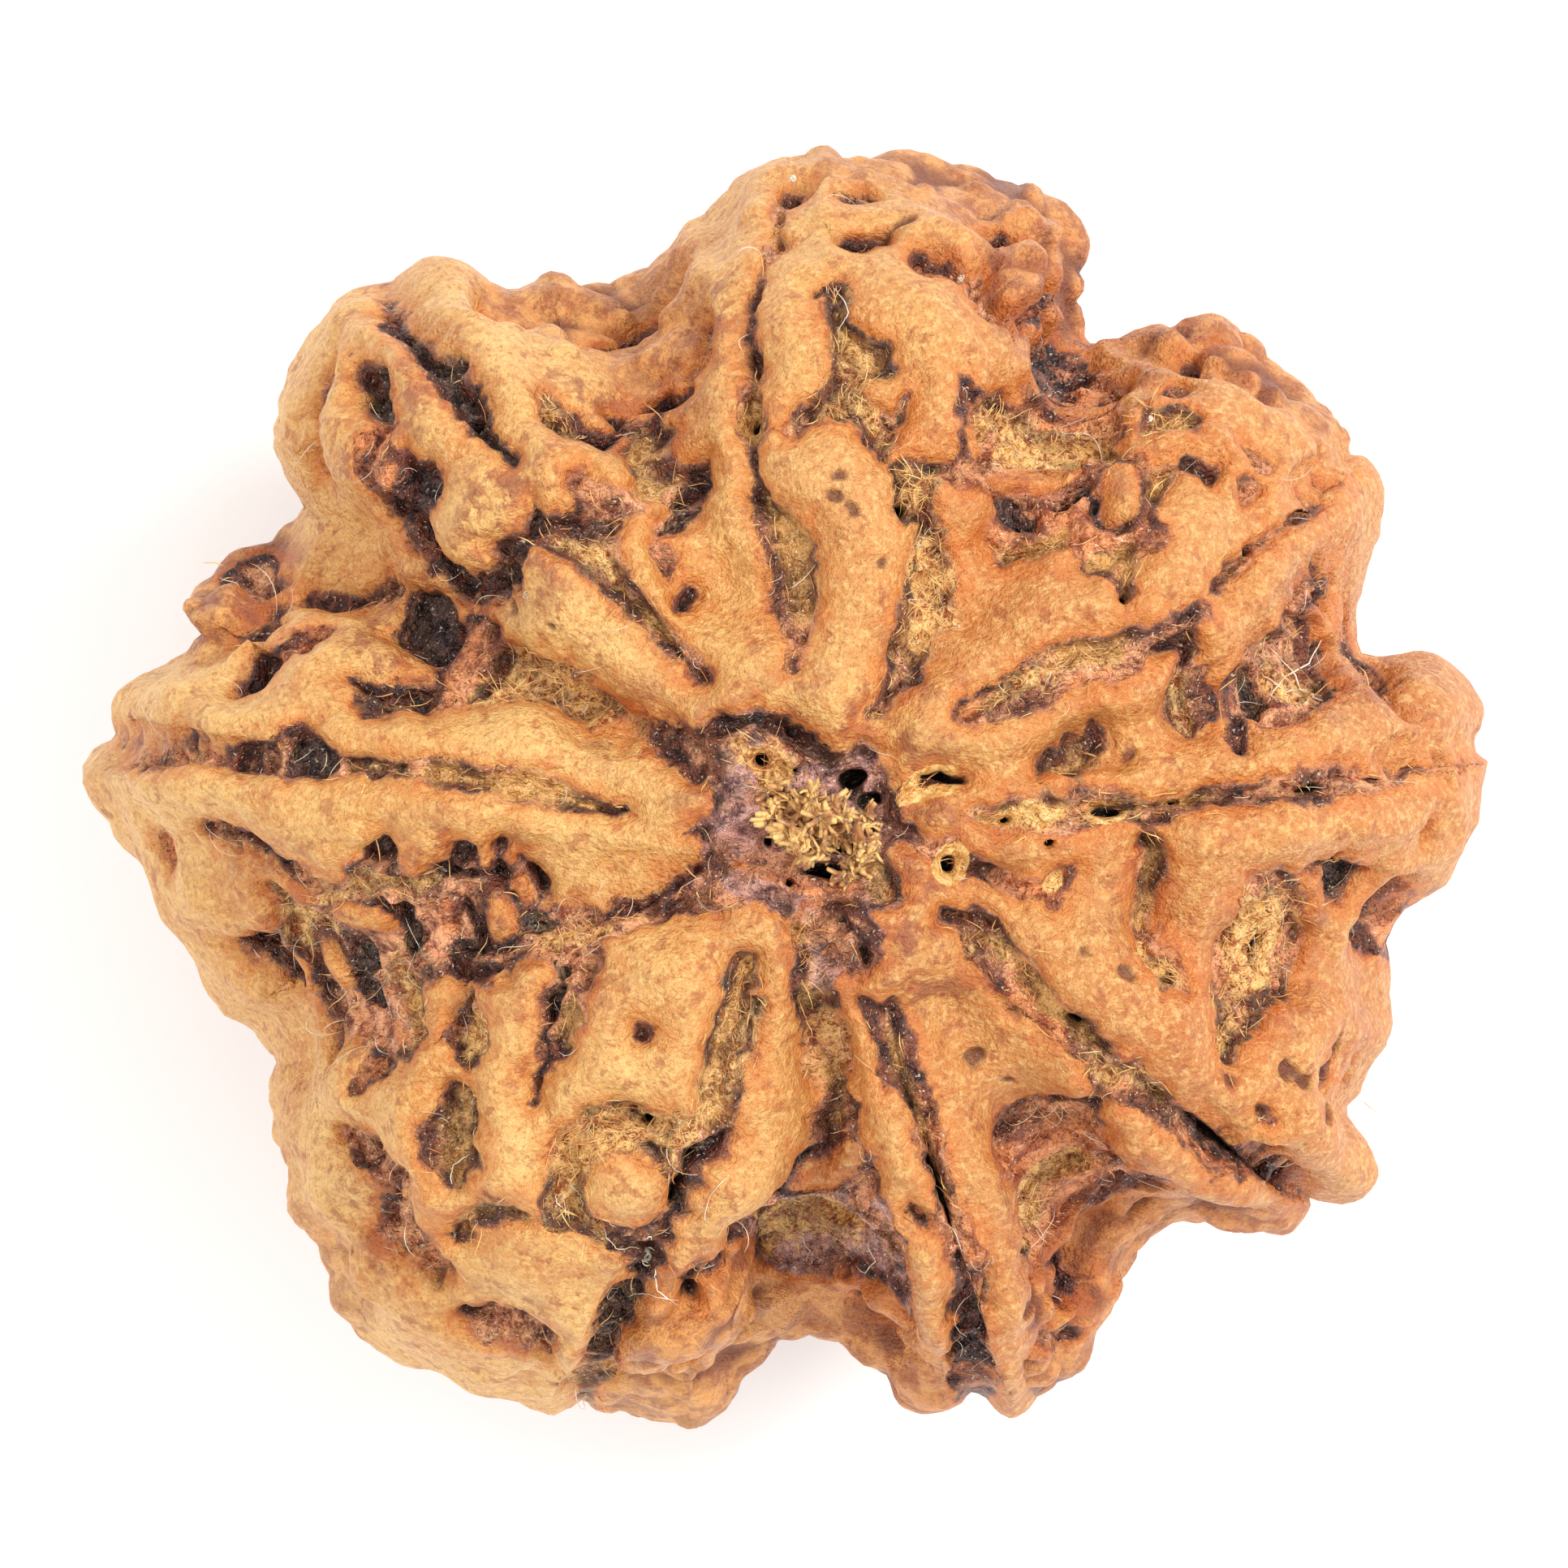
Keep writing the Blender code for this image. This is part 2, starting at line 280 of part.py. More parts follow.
SOUTH = (
    ("plum", (0.77, -2.84, 0.3), (0.87, -3.37, 0.3), (1.2, -3.75, 0.2)),
    ("black", (1.5, -3.2, 0.15)),
    ("plum", (1.57, -4.34, 0.2), (1.95, -4.5, 0.3), (1.95, -4.88, 0.35)),
    ("olive", (1.95, -4.88, 0.35), (2.1, -5.3, 0.3), (2.2, -5.74, 0.3), (2.38, -6.1, 0.25),
     (2.54, -6.44, 0.22), (2.76, -6.6, 0.25), (2.86, -7.0, 0.25), (2.97, -7.2, 0.15)),
    ("gold", (2.97, -7.2, 0.15), (3.05, -7.78, 0.2), (3.2, -8.6, 0.18)),
    ("plum", (3.2, -8.6, 0.18), (3.36, -9.42, 0.2), (3.51, -10.25, 0.2)),
    ("black", (3.51, -10.25, 0.2), (3.51, -11.17, 0.2), (3.6, -11.69, 0.2), (3.65, -12.0, 0.12)),
    ("gold", (0.23, -2.6, 0.15), (0.17, -3.27, 0.16), (0.34, -3.48, 0.12), (0.28, -4.2, 0.14),
     (0.6, -4.7, 0.22), (0.72, -5.3, 0.25)),
    ("olive", (0.72, -5.3, 0.25), (0.77, -5.95, 0.25), (0.77, -6.5, 0.25), (0.71, -6.7, 0.16),
     (0.66, -7.1, 0.14)),
    ("plum", (1.0, -6.4, 0.2)),
    ("black", (0.7, -7.1, 0.15), (0.55, -7.35, 0.2), (0.3, -7.75, 0.22), (0.1, -8.2, 0.3),
     (-0.25, -8.3, 0.12)),
    ("plum", (1.3, -7.45, 0.14), (1.35, -7.8, 0.3), (1.1, -8.15, 0.25), (1.2, -8.55, 0.3), (1.6, -8.9, 0.3),
     (1.45, -9.35, 0.35), (1.75, -9.5, 0.35), (1.85, -10.0, 0.25), (1.9, -10.35, 0.14)),
    ("gold", (0.5, -8.6, 0.3), (0.35, -9.05, 0.35), (0.2, -9.6, 0.3)),
    ("plum", (-0.95, -8.8, 0.12), (-0.6, -8.9, 0.25), (-0.3, -8.8, 0.25), (-0.1, -8.5, 0.25)),
    ("black", (1.1, -10.5, 0.2), (1.2, -10.75, 0.3), (1.45, -10.95, 0.25)),
    ("plum", (2.3, -8.5, 0.16), (2.5, -8.65, 0.2), (2.6, -8.8, 0.12)),
    ("plum", (3.95, -9.7, 0.14), (3.92, -10.3, 0.1)),
    ("gold", (-1.7, -9.6, 0.2), (-1.95, -10.1, 0.15), (-1.9, -10.4, 0.15)),
    ("plum", (-1.4, -9.8, 0.2), (-0.95, -9.6, 0.2)),
    ("black", (-1.85, -11.6, 0.28)),
    ("plum", (-2.45, -12.2, 0.15)),
)
SOUTH_WEST = (
    ("gold", (-0.74, -3.6, 0.25), (-0.85, -4.1, 0.35), (-1.0, -4.66, 0.42)),
    ("olive", (-1.0, -4.66, 0.42), (-1.17, -5.2, 0.42), (-1.33, -5.74, 0.4), (-1.44, -6.2, 0.4),
     (-1.38, -6.65, 0.35)),
    ("black", (-1.22, -7.03, 0.25), (-1.87, -7.35, 0.25), (-2.06, -7.67, 0.3), (-2.17, -8.08, 0.3),
     (-2.4, -8.7, 0.2), (-2.7, -9.1, 0.35), (-2.9, -9.73, 0.22), (-3.15, -10.3, 0.15), (-3.45, -10.75, 0.2),
     (-3.65, -11.2, 0.18), (-3.95, -11.85, 0.15)),
    ("plum", (-2.5, -9.0, 0.2), (-2.9, -9.0, 0.25), (-3.4, -8.95, 0.25), (-3.9, -8.7, 0.15)),
    ("gold", (-2.14, -6.44, 0.14), (-2.46, -6.87, 0.25), (-2.8, -6.76, 0.25), (-3.4, -6.65, 0.32),
     (-3.8, -6.65, 0.3), (-4.1, -6.9, 0.3), (-4.45, -7.3, 0.3), (-4.5, -7.8, 0.32), (-4.35, -8.3, 0.25),
     (-4.1, -8.7, 0.14)),
    ("black", (-3.0, -7.2, 0.12), (-2.57, -7.4, 0.2)),
    ("plum", (-2.9, -4.9, 0.24)),
    ("black", (-4.56, -3.48, 0.14), (-4.56, -4.0, 0.2), (-4.77, -4.4, 0.15), (-4.93, -4.88, 0.14),
     (-4.88, -5.3, 0.15), (-5.1, -5.74, 0.15), (-5.15, -6.28, 0.12)),
    ("olive", (-4.29, -4.29, 0.25), (-4.45, -4.77, 0.3), (-4.6, -5.15, 0.2)),
    ("plum", (-4.07, -3.9, 0.15), (-3.9, -3.48, 0.2), (-4.29, -3.27, 0.25)),
    ("black", (-6.55, -4.07, 0.2), (-6.7, -4.45, 0.2)),
    ("gold", (-6.44, -4.77, 0.4), (-6.5, -5.15, 0.35)),
    ("olive", (-6.75, -6.1, 0.25), (-6.6, -6.7, 0.35), (-6.55, -7.3, 0.35), (-6.6, -7.7, 0.15)),
    ("plum", (-7.9, -8.45, 0.22), (-8.0, -8.8, 0.35), (-7.9, -9.1, 0.3), (-7.6, -9.4, 0.28),
     (-7.3, -9.65, 0.22), (-7.1, -9.75, 0.15)),
    ("gold", (-5.3, -8.45, 0.14), (-5.5, -8.35, 0.16), (-5.9, -8.35, 0.2), (-6.25, -8.45, 0.18),
     (-6.5, -8.85, 0.18), (-6.65, -9.0, 0.12)),
    ("plum", (-6.6, -10.72, 0.06), (-6.3, -10.8, 0.12), (-5.8, -10.85, 0.2), (-5.4, -11.0, 0.25),
     (-5.1, -11.1, 0.2), (-4.9, -11.5, 0.08)),
    ("plum", (-9.1, -6.85, 0.1), (-8.85, -7.1, 0.2), (-8.5, -7.4, 0.22), (-8.2, -7.6, 0.15),
     (-7.8, -7.75, 0.2)),
    ("black", (-9.05, -9.6, 0.1), (-9.0, -9.85, 0.08)),
)
SOUTH_WEST_VALLEY = (
    ("black", (-5.95, -3.05, 0.15), (-5.5, -2.84, 0.2), (-4.99, -2.6, 0.2), (-4.29, -2.5, 0.16),
     (-3.53, -2.4, 0.16), (-3.0, -2.14, 0.16), (-2.46, -1.87, 0.16), (-1.92, -1.65, 0.16),
     (-1.5, -1.6, 0.2)),
    ("gold", (-4.77, -2.94, 0.35), (-4.3, -2.73, 0.3), (-3.86, -2.8, 0.25), (-3.2, -2.4, 0.2)),
    ("plum", (-3.2, -2.4, 0.2), (-2.67, -2.24, 0.18), (-1.92, -2.2, 0.2), (-1.44, -2.35, 0.15)),
    ("black", (-6.44, -1.44, 0.25), (-6.76, -1.87, 0.16), (-6.2, -2.03, 0.2), (-5.7, -2.0, 0.14),
     (-5.74, -1.33, 0.15)),
    ("black", (-5.3, -1.7, 0.12), (-4.99, -2.08, 0.14), (-5.25, -2.4, 0.15)),
    ("black", (-6.4, -2.6, 0.16), (-6.2, -3.05, 0.2), (-6.7, -3.1, 0.16), (-6.76, -3.5, 0.12),
     (-6.2, -3.5, 0.14), (-5.58, -3.5, 0.15)),
    ("plum", (-11.8, -1.06, 0.1), (-11.4, -1.1, 0.22), (-10.9, -1.28, 0.2), (-10.5, -1.55, 0.15),
     (-10.15, -1.7, 0.2), (-9.8, -1.8, 0.25), (-9.5, -2.1, 0.2), (-9.07, -2.2, 0.15)),
    ("rust", (-12.57, -1.4, 0.25)),
    ("gold", (-10.15, -2.4, 0.2), (-9.56, -2.94, 0.3), (-9.77, -3.27, 0.3)),
    ("gold", (-9.1, -2.4, 0.2), (-8.7, -2.24, 0.18), (-8.0, -1.87, 0.35), (-7.24, -2.14, 0.3)),
    ("black", (-8.2, -1.44, 0.25), (-7.94, -1.28, 0.15)),
    ("black", (-6.8, -1.9, 0.2)),
    ("black", (-7.67, -2.6, 0.25), (-7.6, -3.05, 0.25)),
    ("rust", (-6.9, -2.57, 0.3)),
    ("black", (-10.95, -3.37, 0.15), (-10.3, -3.43, 0.3), (-10.1, -3.8, 0.3)),
    ("plum", (-9.4, -3.37, 0.16), (-9.34, -3.8, 0.14), (-9.23, -4.34, 0.16), (-9.29, -4.6, 0.2),
     (-9.18, -5.04, 0.12)),
    ("black", (-8.64, -3.48, 0.3), (-8.75, -3.8, 0.25), (-8.4, -4.2, 0.15)),
    ("gold", (-7.9, -3.7, 0.3), (-7.8, -4.2, 0.3), (-7.6, -4.7, 0.25), (-7.8, -5.1, 0.2)),
    ("rust", (-8.05, -4.1, 0.2), (-7.94, -4.77, 0.3), (-8.3, -4.5, 0.15)),
    ("rust", (-8.3, -5.5, 0.2), (-8.7, -5.9, 0.14)),
)
UPPER_RECESSES = (
    CROWN, WEST, NORTH_WEST, NORTH, NORTH_EAST, EAST, SOUTH_EAST, SOUTH, SOUTH_WEST, SOUTH_WEST_VALLEY,
)

# Low beds between the ropes and plateaus of the upper side: kind, then the corners (x, y) of a closed outline
HOLLOWS = (
    ("plum", (-8.05, 9.8), (-8.02, 9.15), (-7.46, 8.67), (-7.14, 8.02), (-6.73, 7.54), (-6.33, 7.06),
     (-5.93, 6.65), (-5.4, 6.33), (-5.4, 6.49), (-5.52, 6.81), (-5.85, 7.22), (-6.17, 7.62), (-6.3, 8.19),
     (-6.5, 8.47), (-6.98, 8.71), (-7.38, 9.07), (-7.66, 9.4), (-7.78, 9.72)),
    ("plum", (-8.85, 8.55), (-8.65, 8.2), (-8.45, 7.7), (-8.15, 7.25), (-8.0, 7.15), (-8.05, 7.6),
     (-8.2, 7.9), (-8.22, 8.35), (-8.5, 8.42), (-8.7, 8.6)),
    ("rust", (-8.3, 7.3), (-8.7, 6.7), (-8.55, 6.2), (-8.4, 5.7), (-8.22, 5.44), (-8.18, 5.12),
     (-7.78, 5.08), (-7.46, 5.4), (-7.1, 5.69), (-7.14, 6.0), (-7.46, 6.35), (-7.86, 6.6), (-8.0, 7.1)),
    ("plum", (-1.66, 2.14), (-1.82, 2.54), (-2.22, 3.1), (-2.62, 3.67), (-2.87, 4.07), (-3.19, 4.48),
     (-3.35, 5.04), (-3.35, 5.28), (-2.94, 5.44), (-2.62, 5.56), (-2.94, 5.69), (-3.51, 5.85),
     (-3.91, 6.01), (-4.2, 6.09), (-4.23, 5.77), (-4.23, 5.24), (-4.64, 5.24), (-4.88, 5.44), (-5.04, 5.69),
     (-5.12, 5.12), (-5.36, 4.88), (-5.69, 4.72), (-6.17, 4.48), (-5.93, 4.23), (-6.17, 4.03),
     (-6.57, 4.03), (-6.98, 4.23), (-7.22, 4.48), (-7.78, 5.04), (-7.62, 4.48), (-7.38, 4.15),
     (-7.14, 3.83), (-6.73, 3.51), (-6.49, 3.39), (-6.0, 3.43), (-5.85, 3.67), (-5.52, 3.99), (-5.44, 4.23),
     (-5.04, 4.64), (-4.8, 4.6), (-4.23, 4.23), (-3.75, 3.75), (-3.35, 3.27), (-2.94, 2.78), (-2.62, 2.38),
     (-2.2, 2.1)),
    ("plum", (-7.86, 3.27), (-7.78, 3.59), (-7.38, 3.67), (-7.06, 3.43), (-6.73, 3.1), (-6.98, 2.72),
     (-7.22, 2.78), (-7.54, 3.02)),
    ("rust", (-7.0, 2.75), (-6.65, 3.16), (-6.2, 3.16), (-6.0, 2.9), (-5.63, 2.43), (-5.68, 2.16),
     (-6.0, 2.0), (-6.2, 1.68), (-7.0, 1.68)),
    ("gold", (-4.75, 7.9), (-4.78, 7.5), (-4.55, 7.12), (-4.05, 7.02), (-3.5, 7.05), (-3.2, 7.35),
     (-3.2, 7.7), (-3.4, 7.5), (-3.6, 7.25), (-3.9, 7.3), (-4.05, 7.55), (-4.2, 7.5), (-4.45, 7.75)),
    ("gold", (-3.0, 7.6), (-2.7, 7.5), (-2.45, 7.0), (-2.2, 6.65), (-1.85, 6.5), (-1.75, 6.1),
     (-1.95, 5.65), (-1.85, 5.4), (-1.9, 5.15), (-2.2, 5.05), (-2.35, 5.3), (-2.55, 5.6), (-2.8, 5.7),
     (-2.95, 6.0), (-2.95, 6.35), (-3.1, 6.9), (-3.2, 7.3)),
    ("rust", (-2.5, 4.88), (-2.06, 4.8), (-2.06, 4.3), (-2.22, 4.2), (-2.38, 4.5)),
    ("plum", (-0.5, 10.9), (-0.62, 10.1), (-0.72, 9.4), (-0.72, 8.6), (-0.66, 8.0), (-0.58, 7.1),
     (-0.66, 6.5), (-0.58, 6.1), (-0.33, 5.6), (0.12, 5.15), (0.38, 4.8), (0.42, 4.3), (0.5, 3.7),
     (0.53, 3.1), (0.38, 2.75), (0.1, 2.5), (-0.05, 2.7), (-0.3, 3.05), (-0.52, 3.65), (-0.64, 4.5),
     (-0.8, 5.1), (-0.82, 5.8), (-0.93, 6.4), (-1.1, 7.1), (-1.17, 7.55), (-1.05, 8.3), (-0.97, 8.9),
     (-0.85, 9.4), (-0.75, 10.1), (-0.62, 10.9)),
    ("gold", (0.85, 9.92), (1.22, 9.85), (1.3, 9.3), (1.28, 9.0), (1.55, 8.72), (2.0, 8.7), (2.02, 8.4),
     (1.8, 8.2), (1.6, 7.95), (1.65, 7.6), (1.9, 7.4), (2.15, 7.55), (2.35, 7.72), (2.48, 7.55),
     (2.3, 7.15), (2.13, 6.8), (2.1, 6.4), (1.95, 6.42), (1.75, 6.6), (1.55, 6.85), (1.38, 7.25),
     (1.0, 7.3), (0.7, 7.35), (0.45, 7.15), (0.0, 7.0), (0.0, 7.3), (0.35, 7.55), (0.6, 7.8), (0.75, 8.2),
     (0.8, 8.7), (0.7, 9.2), (0.65, 9.65)),
    ("gold", (2.0, 6.2), (2.55, 6.22), (3.15, 6.15), (3.55, 6.4), (3.5, 6.2), (3.1, 5.95), (3.03, 5.6),
     (3.07, 5.05), (3.28, 4.5), (3.42, 3.9), (3.3, 3.25), (3.0, 2.75), (2.6, 2.3), (2.25, 1.9), (1.95, 1.5),
     (1.6, 1.2), (1.5, 1.45), (1.8, 1.9), (2.0, 2.4), (2.15, 3.1), (2.3, 3.7), (2.47, 4.3), (2.65, 4.95),
     (2.3, 5.25), (2.08, 5.9)),
    ("rust", (3.2, 7.95), (3.5, 8.05), (3.85, 7.85), (4.1, 7.7), (4.5, 7.6), (4.9, 7.5), (5.1, 7.9),
     (5.25, 8.3), (5.5, 8.6), (5.9, 8.75), (6.15, 8.4), (6.5, 8.05), (6.4, 7.75), (6.6, 7.3), (6.4, 7.0),
     (6.2, 6.8), (6.9, 6.75), (7.3, 6.2), (7.6, 6.1), (7.3, 5.6), (7.5, 5.1), (7.4, 4.75), (7.0, 4.65),
     (6.85, 4.2), (6.8, 3.8), (6.7, 3.45), (6.55, 3.3), (6.5, 3.9), (6.1, 4.25), (5.6, 4.5), (5.3, 4.9),
     (4.9, 4.9), (4.5, 4.65), (4.1, 4.5), (4.0, 5.1), (4.15, 5.55), (3.9, 5.75), (3.4, 5.8), (3.3, 6.05),
     (3.5, 6.6), (3.4, 7.2), (3.3, 7.6)),
    ("gold", (6.8, 7.06), (6.9, 7.46), (7.2, 7.6), (7.4, 7.38), (7.95, 7.3), (7.95, 7.18), (7.55, 7.02),
     (7.2, 6.98)),
    ("plum", (7.8, 6.33), (8.36, 6.37), (8.5, 6.25), (8.27, 6.15)),
    ("plum", (3.12, 1.35), (3.28, 1.53), (3.6, 1.87), (3.95, 2.14), (4.45, 2.37), (5.0, 2.53), (5.3, 2.6),
     (5.77, 2.75), (6.1, 2.86), (6.6, 3.0), (7.06, 3.15), (7.7, 3.4), (8.1, 3.55), (8.9, 4.23), (9.3, 4.64),
     (9.97, 5.1), (10.4, 5.44), (10.9, 6.0), (11.2, 6.2), (11.1, 5.93), (10.45, 5.24), (9.65, 4.76),
     (9.1, 4.2), (8.25, 3.4), (7.97, 3.02), (7.9, 2.75), (8.03, 2.35), (8.5, 2.4), (8.24, 1.95),
     (8.67, 1.73), (8.73, 1.95), (9.0, 2.32), (9.1, 2.54), (9.64, 2.8), (10.0, 3.18), (10.28, 3.61),
     (10.6, 4.2), (10.85, 4.4), (10.95, 3.85), (10.95, 3.65), (10.45, 3.24), (10.55, 2.97), (10.5, 2.7),
     (10.6, 2.38), (10.88, 2.16), (10.8, 1.95), (10.45, 1.62), (10.07, 1.35), (9.7, 1.3), (9.3, 1.4),
     (9.05, 1.57), (8.56, 1.5), (8.03, 1.25), (7.8, 1.12), (7.66, 1.3), (7.7, 1.95), (7.72, 2.3),
     (7.55, 2.52), (7.27, 2.54), (6.84, 2.3), (6.4, 2.1), (5.98, 1.95), (5.55, 1.62), (5.17, 1.5),
     (4.73, 1.37), (4.17, 1.25), (3.5, 1.2)),
    ("plum", (-13.26, 0.98), (-12.94, 0.95), (-12.03, 0.9), (-11.33, 0.87), (-10.74, 0.9), (-10.3, 0.98),
     (-9.98, 1.22), (-9.82, 1.38), (-9.5, 1.35), (-9.4, 1.14), (-9.23, 0.98), (-8.8, 0.78), (-8.26, 0.74),
     (-7.73, 0.66), (-7.24, 0.6), (-6.8, 0.6), (-6.2, 0.55), (-5.47, 0.47), (-4.93, 0.33), (-4.4, 0.15),
     (-3.97, -0.02), (-3.54, -0.19), (-3.3, -0.44), (-3.25, -0.66), (-3.8, -0.68), (-4.4, -0.55),
     (-5.15, -0.47), (-5.68, -0.31), (-6.1, -0.2), (-6.5, -0.1), (-6.92, 0.01), (-7.4, 0.06), (-7.9, 0.09),
     (-8.1, 0.23), (-8.6, 0.28), (-9.18, 0.25), (-9.7, 0.2), (-10.15, 0.2), (-10.4, 0.33), (-10.74, 0.44),
     (-11.2, 0.47), (-12.13, 0.47), (-12.5, 0.36), (-12.9, 0.36), (-13.2, 0.58)),
    ("rust", (-10.9, 2.8), (-10.4, 3.02), (-9.98, 3.16), (-9.45, 3.32), (-9.12, 3.34), (-9.18, 3.24),
     (-9.45, 3.05), (-9.66, 2.83), (-10.04, 2.65), (-10.3, 2.5), (-10.5, 2.24), (-10.8, 2.24),
     (-10.95, 2.5)),
    ("olive", (-8.88, 2.19), (-8.7, 2.43), (-8.37, 2.27), (-7.94, 2.22), (-7.6, 2.32), (-7.3, 2.46),
     (-7.05, 2.43), (-7.0, 1.68), (-7.3, 1.68), (-7.83, 1.7), (-8.2, 1.76), (-8.6, 1.9)),
    ("gold", (-5.7, 2.4), (-5.15, 2.4), (-4.7, 2.5), (-4.4, 2.37), (-4.1, 2.1), (-3.77, 1.8), (-3.44, 1.53),
     (-3.05, 1.28), (-2.66, 1.26), (-2.27, 1.23), (-1.88, 1.14), (-1.5, 1.1), (-1.2, -0.35), (-1.4, -0.13),
     (-1.7, 0.09), (-2.05, 0.26), (-2.38, 0.53), (-2.7, 0.87), (-3.05, 1.03), (-3.44, 1.26), (-3.88, 1.42),
     (-4.27, 1.53), (-4.93, 1.62), (-5.36, 1.78), (-5.68, 1.8), (-6.0, 1.73), (-6.1, 2.05)),
    ("plum", (-1.6, 1.03), (-1.38, 1.2), (-1.05, 1.37), (-0.6, 1.42), (-0.27, 1.26), (0.0, 1.03),
     (0.4, 0.81), (0.73, 0.62), (1.06, 0.62), (1.4, 0.76), (1.73, 0.8), (1.9, 0.62), (1.8, 0.3),
     (1.95, -0.02), (2.15, -0.45), (2.2, -0.8), (2.15, -1.1), (1.95, -1.3), (1.95, -1.6), (2.2, -1.85),
     (2.2, -2.2), (1.9, -2.6), (1.0, -2.4), (0.2, -2.3), (-0.1, -2.15), (0.0, -2.0), (-0.5, -1.72),
     (-1.0, -1.62), (-1.5, -1.5), (-1.75, -1.25), (-2.1, -0.97), (-2.05, -0.84), (-1.6, -0.58),
     (-1.2, -0.4)),
    ("gold", (2.0, -0.08), (2.3, 0.09), (2.73, 0.2), (3.3, 0.26), (3.67, 0.17), (3.4, -0.02), (2.95, -0.13),
     (2.5, -0.19), (2.1, -0.3)),
    ("gold", (4.74, 0.36), (5.25, 0.66), (5.7, 0.98), (6.1, 1.05), (6.3, 0.85), (6.2, 0.55), (5.8, 0.34),
     (5.4, 0.28)),
    ("plum", (3.3, -0.55), (3.7, -0.42), (4.48, -0.18), (5.08, -0.08), (5.98, 0.01), (6.52, 0.04),
     (7.0, -0.04), (7.5, -0.1), (8.03, 0.01), (8.24, 0.15), (8.67, 0.17), (9.0, 0.01), (9.3, 0.01),
     (9.64, 0.17), (9.96, 0.23), (10.4, 0.33), (10.93, 0.47), (11.47, 0.36), (12.0, 0.42), (12.54, 0.42),
     (13.08, 0.55), (13.6, 0.62), (13.5, 0.3), (12.9, 0.1), (12.2, -0.08), (11.9, -0.16), (11.47, -0.15),
     (11.04, -0.26), (10.55, -0.47), (10.07, -0.42), (9.64, -0.34), (9.05, -0.26), (8.56, -0.37),
     (8.13, -0.47), (7.8, -0.63), (7.45, -0.87), (7.2, -1.0), (6.7, -0.74), (6.1, -0.78), (5.6, -0.95),
     (5.08, -1.0), (4.4, -0.95), (3.9, -0.88), (3.5, -0.75)),
    ("rust", (2.1, -0.78), (2.6, -1.04), (3.2, -1.12), (3.7, -1.38), (4.4, -1.8), (5.08, -1.9),
     (5.1, -1.75), (5.5, -1.7), (5.6, -2.1), (5.3, -2.35), (5.0, -2.2), (4.4, -2.1), (3.7, -1.9),
     (3.04, -1.84), (2.8, -1.46), (2.3, -1.2)),
    ("rust", (7.0, -1.1), (7.45, -1.15), (7.6, -1.7), (7.7, -1.95), (7.35, -2.25), (7.15, -2.6),
     (7.35, -3.0), (7.65, -3.1), (7.9, -3.6), (7.98, -4.05), (7.5, -3.98), (7.1, -3.65), (6.97, -3.2),
     (6.9, -2.6), (6.93, -1.9)),
    ("gold", (8.8, -2.06), (9.2, -1.97), (9.75, -2.06), (10.17, -2.4), (10.4, -2.8), (10.34, -3.4),
     (10.1, -3.75), (9.66, -4.1), (9.45, -4.43), (9.5, -4.77), (9.24, -5.2), (8.9, -5.37), (8.64, -5.1),
     (8.7, -4.5), (8.64, -4.0), (8.6, -3.5), (8.8, -3.07), (8.9, -2.57)),
    ("plum", (10.4, -1.9), (10.85, -1.7), (11.44, -1.6), (11.36, -2.06), (11.27, -2.3), (10.85, -2.14),
     (10.5, -2.06)),
    ("rust", (11.8, -2.4), (12.3, -2.3), (12.2, -2.9), (12.04, -3.5), (11.7, -3.33), (11.6, -2.8)),
    ("gold", (3.3, -3.0), (3.6, -3.67), (4.14, -4.35), (4.74, -4.86), (5.4, -5.28), (5.84, -5.6),
     (6.0, -6.1), (6.2, -6.25), (6.8, -6.4), (7.3, -6.7), (7.8, -7.2), (8.3, -7.66), (9.07, -7.83),
     (9.75, -8.1), (10.2, -8.17), (10.2, -8.0), (9.75, -7.57), (9.07, -7.3), (8.47, -6.9), (7.96, -6.47),
     (7.28, -6.1), (6.86, -5.6), (6.4, -5.2), (5.9, -4.7), (5.4, -4.18), (4.9, -3.67), (4.5, -3.07),
     (4.14, -2.8), (3.6, -2.8)),
    ("rust", (4.4, -6.5), (5.08, -6.47), (6.1, -6.3), (6.0, -6.7), (6.1, -7.07), (6.6, -7.5), (7.28, -7.83),
     (7.5, -8.15), (7.0, -8.3), (6.7, -8.34), (6.27, -8.6), (5.76, -8.93), (5.6, -9.27), (5.5, -9.5),
     (5.08, -9.7), (4.85, -9.1), (4.82, -8.4), (4.86, -7.83), (4.4, -7.57), (4.3, -7.07)),
    ("rust", (5.85, -9.3), (6.1, -9.6), (6.2, -9.9), (5.9, -10.4), (5.76, -9.95)),
    ("rust", (1.34, -4.18), (1.5, -4.77), (1.6, -5.7), (2.0, -6.13), (2.3, -6.55), (2.45, -7.07),
     (2.6, -7.57), (2.87, -8.08), (2.9, -8.6), (3.0, -9.0), (3.12, -9.5), (3.38, -10.0), (3.46, -10.5),
     (3.38, -11.0), (3.3, -11.5), (3.4, -12.2), (4.0, -12.2), (3.9, -11.1), (3.9, -10.4), (3.8, -9.9),
     (3.9, -9.27), (3.7, -8.7), (3.38, -8.1), (3.3, -7.4), (3.3, -6.8), (3.04, -6.2), (2.7, -5.5),
     (2.45, -4.86), (2.1, -4.43), (1.5, -4.1)),
    ("plum", (0.15, -2.3), (1.0, -2.1), (1.4, -2.25), (1.85, -2.8), (1.75, -3.4), (1.35, -3.8),
     (0.85, -3.9), (0.8, -4.7), (1.0, -5.2), (1.05, -5.9), (1.22, -6.4), (1.1, -6.8), (1.3, -7.1),
     (1.55, -7.4), (1.65, -7.9), (1.9, -8.5), (2.15, -9.0), (2.1, -9.6), (2.1, -10.3), (2.3, -10.8),
